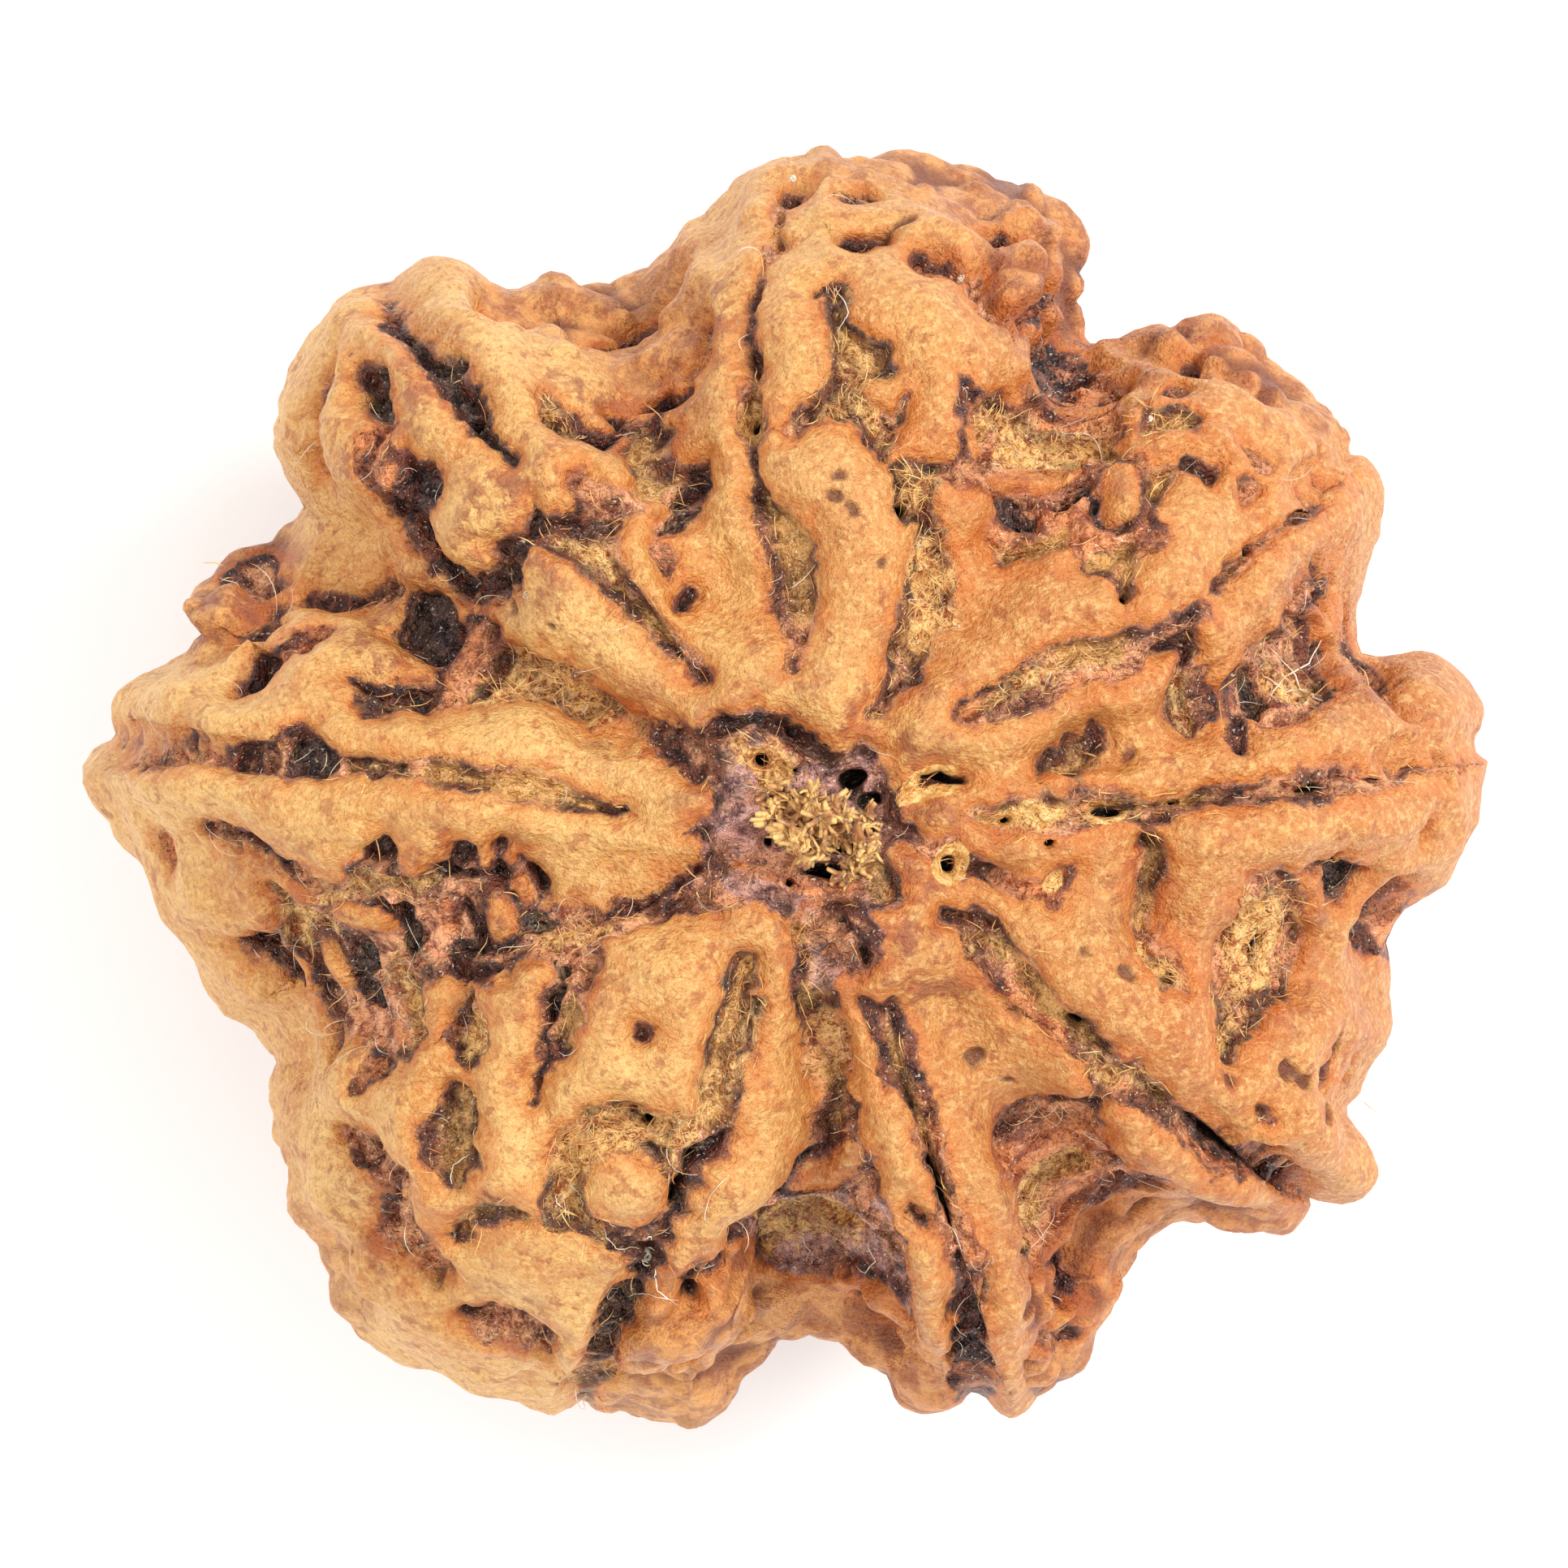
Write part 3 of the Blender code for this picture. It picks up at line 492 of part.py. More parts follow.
     (1.9, -10.7), (1.4, -10.2), (0.9, -9.9), (0.3, -10.0), (-0.1, -9.7), (-0.1, -9.2), (-0.6, -9.3),
     (-1.0, -9.7), (-1.6, -9.9), (-2.1, -10.1), (-1.6, -9.55), (-1.0, -9.05), (-0.6, -8.6), (-0.3, -8.2),
     (-0.05, -7.95), (0.15, -7.5), (0.5, -7.0), (0.58, -6.4), (0.58, -5.7), (0.4, -5.0), (0.15, -4.35),
     (0.22, -3.7), (0.25, -3.0)),
    ("gold", (-2.1, -6.4), (-2.35, -6.47), (-2.95, -6.5), (-3.37, -6.43), (-4.05, -6.64), (-4.48, -6.98),
     (-4.8, -7.4), (-4.94, -7.83), (-4.98, -8.25), (-4.73, -8.68), (-4.2, -8.85), (-3.8, -9.0),
     (-3.46, -9.0), (-3.1, -9.44), (-3.2, -9.87), (-3.46, -10.3), (-3.7, -10.7), (-3.8, -11.05),
     (-4.05, -11.5), (-4.14, -12.2), (-3.8, -12.2), (-3.7, -11.7), (-3.63, -11.4), (-3.37, -10.8),
     (-3.1, -10.4), (-2.95, -10.04), (-2.5, -9.9), (-2.48, -9.44), (-2.35, -9.1), (-2.1, -8.5),
     (-1.76, -7.9), (-1.6, -7.4), (-1.25, -7.15), (-1.0, -6.8), (-0.8, -6.3), (-0.57, -5.7), (-0.4, -5.03),
     (-0.36, -4.35), (-0.5, -3.92), (-0.74, -3.58), (-1.08, -3.54), (-1.25, -3.84), (-1.25, -4.35),
     (-1.33, -4.86), (-1.5, -5.37), (-1.67, -5.96), (-1.84, -6.35)),
    ("plum", (-10.93, -1.04), (-10.6, -1.3), (-10.08, -1.42), (-9.8, -1.63), (-9.5, -1.97), (-9.06, -2.1),
     (-8.7, -1.89), (-8.55, -1.46), (-8.2, -1.22), (-7.8, -1.28), (-7.6, -1.55), (-7.3, -1.76),
     (-6.85, -1.76), (-6.65, -1.46), (-6.65, -1.2), (-6.26, -1.2), (-6.15, -1.63), (-5.85, -1.7),
     (-5.85, -1.2), (-5.6, -1.65), (-5.1, -1.85), (-4.9, -2.06), (-5.05, -2.4), (-4.7, -2.48),
     (-4.05, -2.4), (-3.37, -2.14), (-2.7, -1.8), (-2.1, -1.55), (-1.67, -1.38), (-1.2, -1.3), (-0.6, -1.6),
     (-0.2, -2.0), (-0.65, -2.3), (-1.0, -2.48), (-1.5, -2.5), (-2.1, -2.44), (-2.5, -2.44), (-3.03, -2.65),
     (-3.5, -3.07), (-3.8, -3.58), (-3.9, -4.0), (-3.93, -4.35), (-4.05, -4.77), (-4.5, -5.0),
     (-4.64, -5.45), (-4.9, -5.8), (-5.07, -6.43), (-5.3, -6.3), (-5.24, -5.7), (-5.03, -5.03),
     (-4.98, -4.43), (-4.8, -4.0), (-4.6, -3.7), (-4.75, -3.42), (-5.07, -3.37), (-5.4, -3.4),
     (-5.75, -3.67), (-6.05, -4.0), (-6.25, -3.8), (-6.45, -3.62), (-6.77, -3.58), (-7.2, -3.67),
     (-7.45, -4.0), (-7.45, -4.43), (-7.6, -5.03), (-7.96, -5.45), (-8.3, -5.7), (-8.63, -5.88),
     (-8.75, -5.6), (-8.4, -5.2), (-8.8, -4.86), (-9.2, -5.1), (-9.35, -4.7), (-9.2, -4.4), (-9.5, -4.0),
     (-9.65, -3.6), (-9.9, -3.6), (-10.2, -3.95), (-10.6, -3.7), (-11.05, -3.45), (-11.1, -3.2),
     (-10.5, -3.15), (-10.16, -2.95), (-10.05, -2.6), (-10.3, -2.3), (-10.2, -2.0), (-10.5, -1.75),
     (-10.9, -1.5), (-11.6, -1.35), (-12.0, -1.1), (-11.5, -0.95)),
    ("plum", (-6.5, -3.9), (-6.25, -4.1), (-6.1, -4.5), (-6.0, -4.9), (-6.05, -5.2), (-6.4, -5.38),
     (-6.75, -5.3), (-7.0, -5.0), (-6.95, -4.6), (-6.85, -4.3), (-6.75, -4.0)),
    ("plum", (-7.1, -6.13), (-6.77, -6.0), (-6.43, -6.13), (-6.3, -6.55), (-6.34, -6.9), (-6.05, -7.07),
     (-6.05, -7.4), (-6.34, -7.66), (-6.68, -7.9), (-6.94, -7.74), (-7.1, -7.23), (-7.3, -6.9),
     (-7.2, -6.47)),
    ("plum", (-7.9, -8.2), (-7.5, -8.25), (-7.45, -8.6), (-7.3, -9.0), (-7.02, -9.44), (-6.9, -9.87),
     (-7.3, -9.87), (-7.7, -9.8), (-7.96, -9.44), (-8.3, -9.1), (-8.4, -8.85), (-8.17, -8.5)),
    ("plum", (-6.5, -8.34), (-6.1, -8.2), (-5.6, -8.17), (-5.24, -8.25), (-5.2, -8.5), (-5.66, -8.6),
     (-6.17, -8.76), (-6.4, -9.0), (-6.68, -9.1), (-6.72, -8.93), (-6.55, -8.68)),
    ("plum", (-6.5, -10.75), (-6.1, -10.7), (-5.66, -10.8), (-5.24, -10.93), (-4.9, -10.97), (-4.8, -11.3),
     (-5.07, -11.5), (-5.5, -11.3), (-6.0, -11.14), (-6.34, -11.0)),
    ("rust", (-8.9, -7.07), (-8.5, -7.15), (-8.3, -7.4), (-7.8, -7.57), (-7.6, -7.83), (-7.8, -8.04),
     (-8.2, -7.9), (-8.63, -7.66), (-8.8, -7.4)),
)

# Lower steps of the surface behind a plateau's edge: the corners (x, y) of closed outlines
REAR_STEPS = (
    ((-6.1, 9.62), (-5.36, 9.48), (-4.56, 9.25), (-3.95, 8.9), (-3.5, 8.4), (-3.2, 8.0), (-2.9, 7.85),
     (-2.45, 7.95), (-2.0, 8.2), (-1.85, 8.6), (-1.8, 9.1), (-1.7, 9.6), (-2.0, 10.1), (-2.4, 10.9),
     (-3.2, 10.5), (-4.2, 10.6), (-5.3, 10.6), (-6.0, 10.8)),
    ((3.3, 10.05), (4.0, 9.5), (4.5, 8.95), (4.95, 8.4), (5.15, 8.1), (5.4, 8.5), (5.9, 8.8), (6.4, 9.6),
     (6.4, 10.7), (6.2, 11.2), (5.9, 11.9), (5.2, 12.5), (4.6, 12.7), (3.5, 12.8), (2.6, 13.1), (1.3, 13.2),
     (0.7, 12.9), (0.5, 12.4), (1.0, 12.25), (1.6, 12.3), (2.2, 12.15), (2.6, 11.9), (2.9, 11.7),
     (3.4, 11.5), (3.7, 11.2), (3.9, 10.9), (3.6, 10.7), (2.8, 10.9), (2.6, 10.6), (2.6, 10.35),
     (3.0, 10.25)),
    ((6.3, 9.0), (6.9, 8.65), (7.4, 8.65), (7.75, 8.45), (8.1, 8.35), (8.5, 8.45), (9.0, 8.15), (9.5, 7.65),
     (9.95, 7.45), (10.4, 7.1), (10.9, 6.8), (11.6, 6.8), (11.6, 7.3), (11.2, 7.9), (10.2, 8.6), (9.6, 9.2),
     (9.1, 9.7), (8.6, 10.0), (7.9, 10.0), (7.2, 9.9), (6.6, 9.6)),
    ((-9.55, 5.5), (-9.8, 4.9), (-10.15, 4.3), (-10.3, 4.0), (-10.4, 3.5), (-10.95, 3.35), (-11.4, 2.85),
     (-12.0, 2.68), (-12.6, 2.5), (-12.8, 3.5), (-12.4, 4.4), (-11.7, 5.0), (-10.6, 5.6), (-9.9, 5.8)),
    ((-0.45, -8.6), (-0.85, -9.0), (-1.2, -9.3), (-1.6, -9.55), (-2.0, -9.95), (-2.4, -10.1), (-2.9, -10.1),
     (-3.2, -10.5), (-3.5, -11.0), (-3.7, -11.6), (-3.75, -12.3), (-3.0, -13.1), (-1.5, -13.2),
     (-0.5, -12.3), (0.4, -11.6), (1.2, -11.9), (2.6, -12.8), (3.2, -12.9), (3.1, -11.7), (2.8, -11.3),
     (2.3, -10.8), (2.15, -10.2), (2.1, -9.4), (1.5, -9.0), (0.6, -8.7)),
    ((5.6, -9.05), (6.0, -8.6), (6.5, -8.33), (7.0, -8.28), (7.5, -8.4), (8.0, -8.52), (8.9, -8.5),
     (9.8, -8.55), (10.4, -8.7), (9.8, -9.3), (8.0, -9.5), (7.4, -10.2), (7.2, -11.2), (6.2, -12.2),
     (5.2, -12.6), (4.75, -12.2), (4.85, -11.2), (4.8, -10.3), (4.82, -9.7), (5.1, -9.5)),
    ((-10.1, -7.3), (-9.95, -7.7), (-9.85, -8.2), (-9.6, -8.5), (-9.2, -8.8), (-8.97, -9.1), (-8.87, -9.5),
     (-8.9, -10.0), (-8.6, -10.4), (-8.3, -11.2), (-9.4, -10.8), (-10.3, -9.2), (-10.6, -8.0)),
)

# Knobs and ropes that stand up inside the beds: points (x, y, half width)
ISLANDS = (
    ((-3.67, 7.54, 0.33),),
    ((-1.9, 7.1, 0.6),),
    ((2.9, 8.0, 0.5), (2.75, 6.9, 0.42)),
    ((1.84, 7.86, 0.2),),
    ((5.45, 7.5, 0.18), (6.1, 7.5, 0.2)),
    ((6.45, 6.25, 0.36), (6.45, 5.75, 0.38)),
    ((4.3, 5.95, 0.12), (4.9, 6.05, 0.2), (5.45, 6.3, 0.2)),
    ((3.75, 6.95, 0.18), (3.85, 6.6, 0.16)),
    ((-3.2, -8.04, 0.76),),
    ((0.4, -8.1, 0.16), (0.75, -7.7, 0.22), (1.15, -7.2, 0.2)),
    ((-5.75, -2.62, 0.3),),
    ((-5.3, -2.15, 0.2),),
    ((-10.4, -1.8, 0.18), (-9.66, -2.25, 0.18)),
    ((-8.65, -2.67, 0.36), (-8.1, -2.72, 0.32)),
    ((-9.25, -3.45, 0.14), (-9.05, -3.85, 0.14)),
    ((7.5, -2.62, 0.25), (7.85, -2.55, 0.25)),
    ((-0.45, -9.65, 0.38), (-0.35, -9.9, 0.4)),
)

# Lumps that stand up on the rear steps: points (x, y, half width)
STEP_LUMPS = (
    ((-2.55, -10.35, 0.36),),
    ((-3.3, -11.6, 0.3), (-2.5, -11.3, 0.5), (-1.6, -11.0, 0.45), (-0.9, -10.5, 0.35)),
    ((4.9, 10.7, 0.25), (5.2, 10.0, 0.3), (4.6, 9.7, 0.25)),
    ((4.6, 11.8, 0.3), (5.3, 11.3, 0.3)),
    ((7.0, 9.0, 0.3), (7.4, 9.0, 0.25)),
    ((8.6, 8.9, 0.3), (9.5, 8.2, 0.3)),
    ((-11.6, 3.6, 0.35), (-11.5, 4.3, 0.4)),
    ((6.5, -9.1, 0.4), (6.4, -10.2, 0.4), (5.6, -11.2, 0.35)),
)

# The lower side repeats the upper side's pattern, bent: size of the bends in millimetres, and degrees
BENDS = ((7.0, 3.2), (3.0, 1.2))
BEND_SEEDS = (3, 4)
BEND_LEAN = (92.0, 125.0)

# Lumps of the skin: size of the lumps and their height, in millimetres
LUMPS = ((4.2, 0.14), (1.9, 0.07))
LUMP_SEED = 21
WAVES_PER_SIZE = 18

# Degrees from the top pole over which the relief fades out round the lower pole, and the share of the way
# straight down in which the upper side's relief is sunk, with the degrees over which it goes
SMOOTH_BELOW = (154.0, 164.0)
STRAIGHT_DOWN = 0.5
STRAIGHT_DOWN_OUT = (60.0, 95.0)


def clear_scene():
    for obj in list(bpy.data.objects):
        bpy.data.objects.remove(obj, do_unlink=True)


def smooth(value, low, high):
    """0 below low, 1 above high, and an even S between them."""
    part = np.clip((value - low) / (high - low), 0.0, 1.0)
    return part * part * (3.0 - 2.0 * part)


def outline_radii():
    """The outline's radius round the pole at each whole degree, as read and evened out over each lobe."""
    corners = np.array(OUTLINE) - POLE
    ways = np.degrees(np.arctan2(corners[:, 1], corners[:, 0])) % 360.0
    order = np.argsort(ways)
    degrees = np.arange(360.0)
    sharp = np.interp(degrees, ways[order], np.hypot(*corners.T)[order], period=360.0)
    gap = (degrees + 180.0) % 360.0 - 180.0
    weight = np.exp(-((gap / LOBE_EVENING) ** 2))
    even = np.real(np.fft.ifft(np.fft.fft(sharp) * np.fft.fft(weight / weight.sum())))
    return degrees, sharp, even


DEGREES, SHARP_RADII, EVEN_RADII = outline_radii()


def base_surface(tilt, way):
    """Points of the lobed ball before its relief. tilt is from the top pole and way round it, in radians."""
    turn = np.degrees(way) % 360.0
    sharp = np.interp(turn, DEGREES, SHARP_RADII, period=360.0)
    even = np.interp(turn, DEGREES, EVEN_RADII, period=360.0)
    lean = np.degrees(tilt)
    at_rim = smooth(lean, *RIM_SHAPE_IN) * (1.0 - RIM_SHAPE_LOST * smooth(lean, *RIM_SHAPE_OUT))
    reach = even + (sharp - even) * at_rim
    above = np.cos(tilt) >= 0.0
    height = np.where(above, HEIGHT_ABOVE, HEIGHT_BELOW)
    power = np.where(above, FULLNESS_ABOVE, FULLNESS_BELOW)
    across = (np.sin(tilt) / reach) ** power
    upright = (np.abs(np.cos(tilt)) / height) ** power
    radius = (across + upright) ** (-1.0 / power)
    flat_radius = radius * np.sin(tilt)
    open_valley = smooth(lean, *VALLEY_IN) * (1.0 - smooth(lean, *VALLEY_OUT))
    open_valley *= 1.0 - VALLEY_LOST_AT_RIM * np.exp(-(((lean - 90.0) / VALLEY_RIM_LEAN) ** 2))
    for valley_way, depth, half_width in VALLEYS:
        turned = (turn - valley_way + 180.0) % 360.0 - 180.0
        aside = np.radians(turned) * flat_radius
        radius = radius - depth * open_valley * np.exp(-np.abs(aside / half_width) ** VALLEY_PROFILE)
    radius = radius - HOLLOW_DEPTH * above * np.exp(-((flat_radius / HOLLOW_RADIUS) ** 2))
    return np.stack(
        [
            POLE[0] + radius * np.sin(tilt) * np.cos(way),
            POLE[1] + radius * np.sin(tilt) * np.sin(way),
            radius * np.cos(tilt),
        ],
        axis=-1,
    )


def lay_on_top(points):
    """Points (x, y, half width) seen from above, laid on the upper surface as (x, y, z, half width).

    A recess that runs round the rim looks narrower from above than it is, so its width is stretched back."""
    points = np.array(points, float).reshape(-1, 3)
    offset = points[:, :2] - POLE
    way = np.arctan2(offset[:, 1], offset[:, 0])
    reach = np.hypot(*offset.T)
    low = np.zeros(len(points))
    high = np.full(len(points), math.radians(90.0))
    for _ in range(30):
        middle = (low + high) / 2
        found = np.hypot(*(base_surface(middle, way)[:, :2] - POLE).T)
        low = np.where(found < reach, middle, low)
        high = np.where(found < reach, high, middle)
    laid = base_surface((low + high) / 2, way)
    if len(points) > 1:
        along = np.gradient(points[:, :2], axis=0)
        along /= np.maximum(np.hypot(*along.T), 1e-6)[:, None]
        outward = offset / np.maximum(reach, 1e-6)[:, None]
        round_rim = np.abs(along[:, 0] * outward[:, 1] - along[:, 1] * outward[:, 0])
    else:
        round_rim = np.full(1, 0.5)
    steepness = 1.0 / np.maximum(np.sin(np.arctan2(laid[:, 2] * STEEPENING, reach)), 1.0 / WIDEST_STRETCH)
    width = points[:, 2] * (1.0 + (steepness - 1.0) * round_rim)
    return np.column_stack([laid, np.maximum(width, SLIMMEST)])


def reach_of(places, stroke, margin):
    """Indexes of the places near a stroke, and their signed distance to its edge: below 0 inside it."""
    widest = stroke[:, 3].max() + margin
    low = stroke[:, :3].min(axis=0) - widest
    high = stroke[:, :3].max(axis=0) + widest
    near = np.flatnonzero(np.all((places > low) & (places < high), axis=1))
    if not len(near):
        return near, np.zeros(0)
    spots = places[near]
    best = np.full(len(near), 9.0)
    starts = stroke[:-1] if len(stroke) > 1 else stroke
    ends = stroke[1:] if len(stroke) > 1 else stroke
    for start, end in zip(starts, ends):
        run = end[:3] - start[:3]
        share = np.clip((spots - start[:3]) @ run / max(run @ run, 1e-9), 0.0, 1.0)
        away = np.linalg.norm(spots - start[:3] - share[:, None] * run, axis=1)
        best = np.minimum(best, away - (start[3] + (end[3] - start[3]) * share))
    return near, best


def edge_distances(places, strokes, margin=EDGE_REACH):
    """The signed distance from each place to the nearest stroke's edge."""
    nearest = np.full(len(places), margin)
    for stroke in strokes:
        near, best = reach_of(places, stroke, margin)
        nearest[near] = np.minimum(nearest[near], best)
    return nearest


def area_distances(places, areas, margin=EDGE_REACH):
    """The signed distance, as seen from above, from each place to the nearest area's edge."""
    nearest = np.full(len(places), margin)
    for outline in areas:
        corners = np.array(outline)
        low = corners.min(axis=0) - margin
        high = corners.max(axis=0) + margin
        near = np.flatnonzero(np.all((places[:, :2] > low) & (places[:, :2] < high), axis=1))
        spots = places[near, :2]
        best = np.full(len(near), margin)
        inside = np.zeros(len(near), bool)
        for start, end in zip(corners, np.roll(corners, -1, axis=0)):
            run = end - start
            share = np.clip((spots - start) @ run / max(run @ run, 1e-9), 0.0, 1.0)
            best = np.minimum(best, np.hypot(*(spots - start - share[:, None] * run).T))
            crossed = (start[1] > spots[:, 1]) != (end[1] > spots[:, 1])
            across = start[0] + (spots[:, 1] - start[1]) * run[0] / (run[1] or 1e-9)
            inside ^= crossed & (spots[:, 0] < across)
        nearest[near] = np.minimum(nearest[near], np.where(inside, -best, best))
    return nearest


def recess(edge, floor):
    """How far a recess with this floor depth sinks the surface at a signed distance from its edge."""
    drop = SHOULDER_DROP * np.minimum(floor, 1.0)
    shoulder = drop * np.clip(1.0 - np.maximum(edge, 0.0) / SHOULDER_WIDTH, 0.0, 1.0) ** 2
    return shoulder + smooth(-edge, 0.0, WALL_WIDTH) * (floor - drop)


def sunk_by(edges, depths, island, deepest):
    """The relief of the recesses of all kinds: each kind's floor holds nearest its own edge."""
    kept = {kind: np.clip(edge, -deepest, EDGE_REACH) for kind, edge in edges.items()}
    nearness = {kind: np.exp(-edge / KIND_BLEND) for kind, edge in kept.items()}
    floor = sum(nearness[kind] * depths[kind] for kind in edges) / sum(nearness.values())
    return recess(np.maximum(np.minimum.reduce(list(edges.values())), -island), floor)


def relief_depth(places, lean):
    """How far the surface is sunk at each place of the upper side, in millimetres."""
    strokes = {kind: [] for kind in FLOOR_DEPTH}
    for group in UPPER_RECESSES:
        for kind, *points in group:
            strokes[kind].append(lay_on_top(points))
    areas = {kind: [] for kind in BED_DEPTH}
    for kind, *corners in HOLLOWS:
        areas[kind].append(corners)
    island = edge_distances(places, [lay_on_top(points) for points in ISLANDS])
    stroke_edges = {kind: edge_distances(places, runs) for kind, runs in strokes.items()}
    bed_edges = {kind: area_distances(places, beds) for kind, beds in areas.items()}
    sunk = np.maximum(
        sunk_by(stroke_edges, FLOOR_DEPTH, island, DEEPEST_EDGE),
        sunk_by(bed_edges, BED_DEPTH, island, 0.0),
    )
    step = smooth(-area_distances(places, REAR_STEPS), -STEP_SLOPE / 2, STEP_SLOPE / 2)
    lump = smooth(-edge_distances(places, [lay_on_top(points) for points in STEP_LUMPS]), *STEP_LUMP_SLOPE)
    sunk += step * (STEP_DEPTH - STEP_LUMP_HEIGHT * lump)
    return sunk * (1.0 - RIM_FADE * np.exp(-(((lean - 90.0) / RIM_FADE_LEAN) ** 2)))


def waves(places, sizes, seed):
    """Smooth uneven heights, from waves in seeded directions: sizes holds (length, height) pairs."""
    rng = np.random.default_rng(seed)
    total = np.zeros(len(places))
    for size, height in sizes:
        for _ in range(WAVES_PER_SIZE):
            way = rng.normal(size=3)
            way *= 2.0 * math.pi / (size * np.linalg.norm(way))
            total += height / math.sqrt(WAVES_PER_SIZE) * np.sin(places @ way + rng.uniform(0.0, 6.28))
    return total


def pattern_place(tilt, way, places):
    """Where on the upper side each place's pattern is read: there itself, or for the lower side above it."""
    below = smooth(np.degrees(tilt), *BEND_LEAN)
    bends = [np.radians(waves(places, BENDS, seed)) * below for seed in BEND_SEEDS]
    above = np.clip(np.minimum(tilt, math.pi - tilt) + bends[0], 0.0, math.pi / 2)
    return base_surface(above, way + bends[1])


def coordinates(mesh):
    found = np.empty(len(mesh.vertices) * 3)
    mesh.vertices.foreach_get("co", found)
    return found.reshape(-1, 3)


def set_coordinates(mesh, places):
    mesh.vertices.foreach_set("co", np.ascontiguousarray(places).ravel())
    mesh.update()


def vertex_normals(mesh):
    found = np.empty(len(mesh.vertices) * 3)
    mesh.vertex_normals.foreach_get("vector", found)
    return found.reshape(-1, 3)


def carve_ball():
    """A ball of even faces, given the lobed form, and then the relief, in millimetres."""
    bpy.ops.mesh.primitive_ico_sphere_add(subdivisions=BALL_SUBDIVISIONS, radius=1.0)
    seed = bpy.context.object
    ways = coordinates(seed.data)
    tilt = np.arccos(np.clip(ways[:, 2], -1.0, 1.0))
    way = np.arctan2(ways[:, 1], ways[:, 0])
    places = base_surface(tilt, way)
    set_coordinates(seed.data, places)
    normals = vertex_normals(seed.data)
    lean = np.degrees(tilt)
    upright = STRAIGHT_DOWN * (1.0 - smooth(lean, *STRAIGHT_DOWN_OUT))[:, None]
    sink_way = normals * (1.0 - upright) + np.array([0.0, 0.0, 1.0]) * upright
    sink_way /= np.linalg.norm(sink_way, axis=1)[:, None]
    shown = (1.0 - smooth(lean, *SMOOTH_BELOW))[:, None]
    sunk = relief_depth(pattern_place(tilt, way, places), lean)[:, None]
    lumps = waves(places, LUMPS, LUMP_SEED)[:, None]
    places = places + shown * (normals * lumps - sink_way * sunk)
    set_coordinates(seed.data, places)
    return seed


def thin_faces(seed):
    """Softened edges, and fewer faces, kept where the relief needs them."""
    soft = seed.modifiers.new("soft edges", "SMOOTH")
    soft.factor = 0.5
    soft.iterations = SOFTENING_STEPS
    thin = seed.modifiers.new("fewer faces", "DECIMATE")
    thin.ratio = FACES_WANTED / len(seed.data.polygons)
    graph = bpy.context.evaluated_depsgraph_get()
    thinned = bpy.data.meshes.new_from_object(seed.evaluated_get(graph))
    seed.modifiers.clear()
    whole = seed.data
    seed.data = thinned
    bpy.data.meshes.remove(whole)


def stand_on_ground(seed):
    """The true span, the worn flat at z 0, and the origin under the middle, in metres."""
    places = coordinates(seed.data)
    places *= SPAN / np.ptp(places[:, 0])
    ground = places[:, 2].min() + FLAT_CUT
    places[:, 2] = np.maximum(places[:, 2] - ground, 0.0)
    places[:, :2] -= (places[:, :2].max(axis=0) + places[:, :2].min(axis=0)) / 2
    set_coordinates(seed.data, places * MM)


def seed_material():
    material = bpy.data.materials.new("seed_shell")
    material.use_nodes = True
    shader = material.node_tree.nodes["Principled BSDF"]
    shader.inputs["Base Color"].default_value = (0.66, 0.33, 0.12, 1.0)
    shader.inputs["Roughness"].default_value = 0.72
    shader.inputs["Metallic"].default_value = 0.0
    return material


def main():
    clear_scene()
    group = bpy.data.collections.new("rudraksha_seed")
    bpy.context.scene.collection.children.link(group)
    seed = carve_ball()
    thin_faces(seed)
    stand_on_ground(seed)
    seed.name = "rudraksha_seed"
    seed.data.name = "rudraksha_seed"
    seed.data.materials.append(seed_material())
    seed.data.shade_smooth()
    for holder in list(seed.users_collection):
        holder.objects.unlink(seed)
    group.objects.link(seed)


main()
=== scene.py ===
"""Looks of the rudraksha seed: a fine mesh of the seed's form, the fibres and hairs in its lines and pits,
their materials, and a plain pale studio seen from straight above.

Sizes are in millimetres up to the last step, in the frame in which the seed is read from above: x to the
right, y up, the middle of the picture near 0. fit_to_frame then puts every point where the CAD solid stands,
in metres.
"""

import math

import bpy
import numpy as np
from mathutils.bvhtree import BVHTree
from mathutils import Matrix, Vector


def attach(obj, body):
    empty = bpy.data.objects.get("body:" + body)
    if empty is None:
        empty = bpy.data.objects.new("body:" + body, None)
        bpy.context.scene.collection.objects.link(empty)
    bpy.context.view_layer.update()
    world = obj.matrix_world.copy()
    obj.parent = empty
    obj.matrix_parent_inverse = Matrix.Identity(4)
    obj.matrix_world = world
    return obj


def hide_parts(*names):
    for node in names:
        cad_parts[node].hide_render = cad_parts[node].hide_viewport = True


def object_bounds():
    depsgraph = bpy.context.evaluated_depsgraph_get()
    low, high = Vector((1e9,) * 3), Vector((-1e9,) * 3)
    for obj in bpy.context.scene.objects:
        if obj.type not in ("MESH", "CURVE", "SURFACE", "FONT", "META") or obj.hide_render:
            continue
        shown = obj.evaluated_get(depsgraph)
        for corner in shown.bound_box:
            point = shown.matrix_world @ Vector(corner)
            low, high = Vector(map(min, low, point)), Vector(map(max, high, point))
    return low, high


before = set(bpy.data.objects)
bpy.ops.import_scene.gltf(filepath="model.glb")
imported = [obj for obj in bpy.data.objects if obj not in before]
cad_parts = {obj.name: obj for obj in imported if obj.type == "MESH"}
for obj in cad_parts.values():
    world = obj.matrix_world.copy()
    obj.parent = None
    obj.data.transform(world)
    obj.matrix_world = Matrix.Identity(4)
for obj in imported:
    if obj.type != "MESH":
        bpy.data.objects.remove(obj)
CAD_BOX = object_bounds()
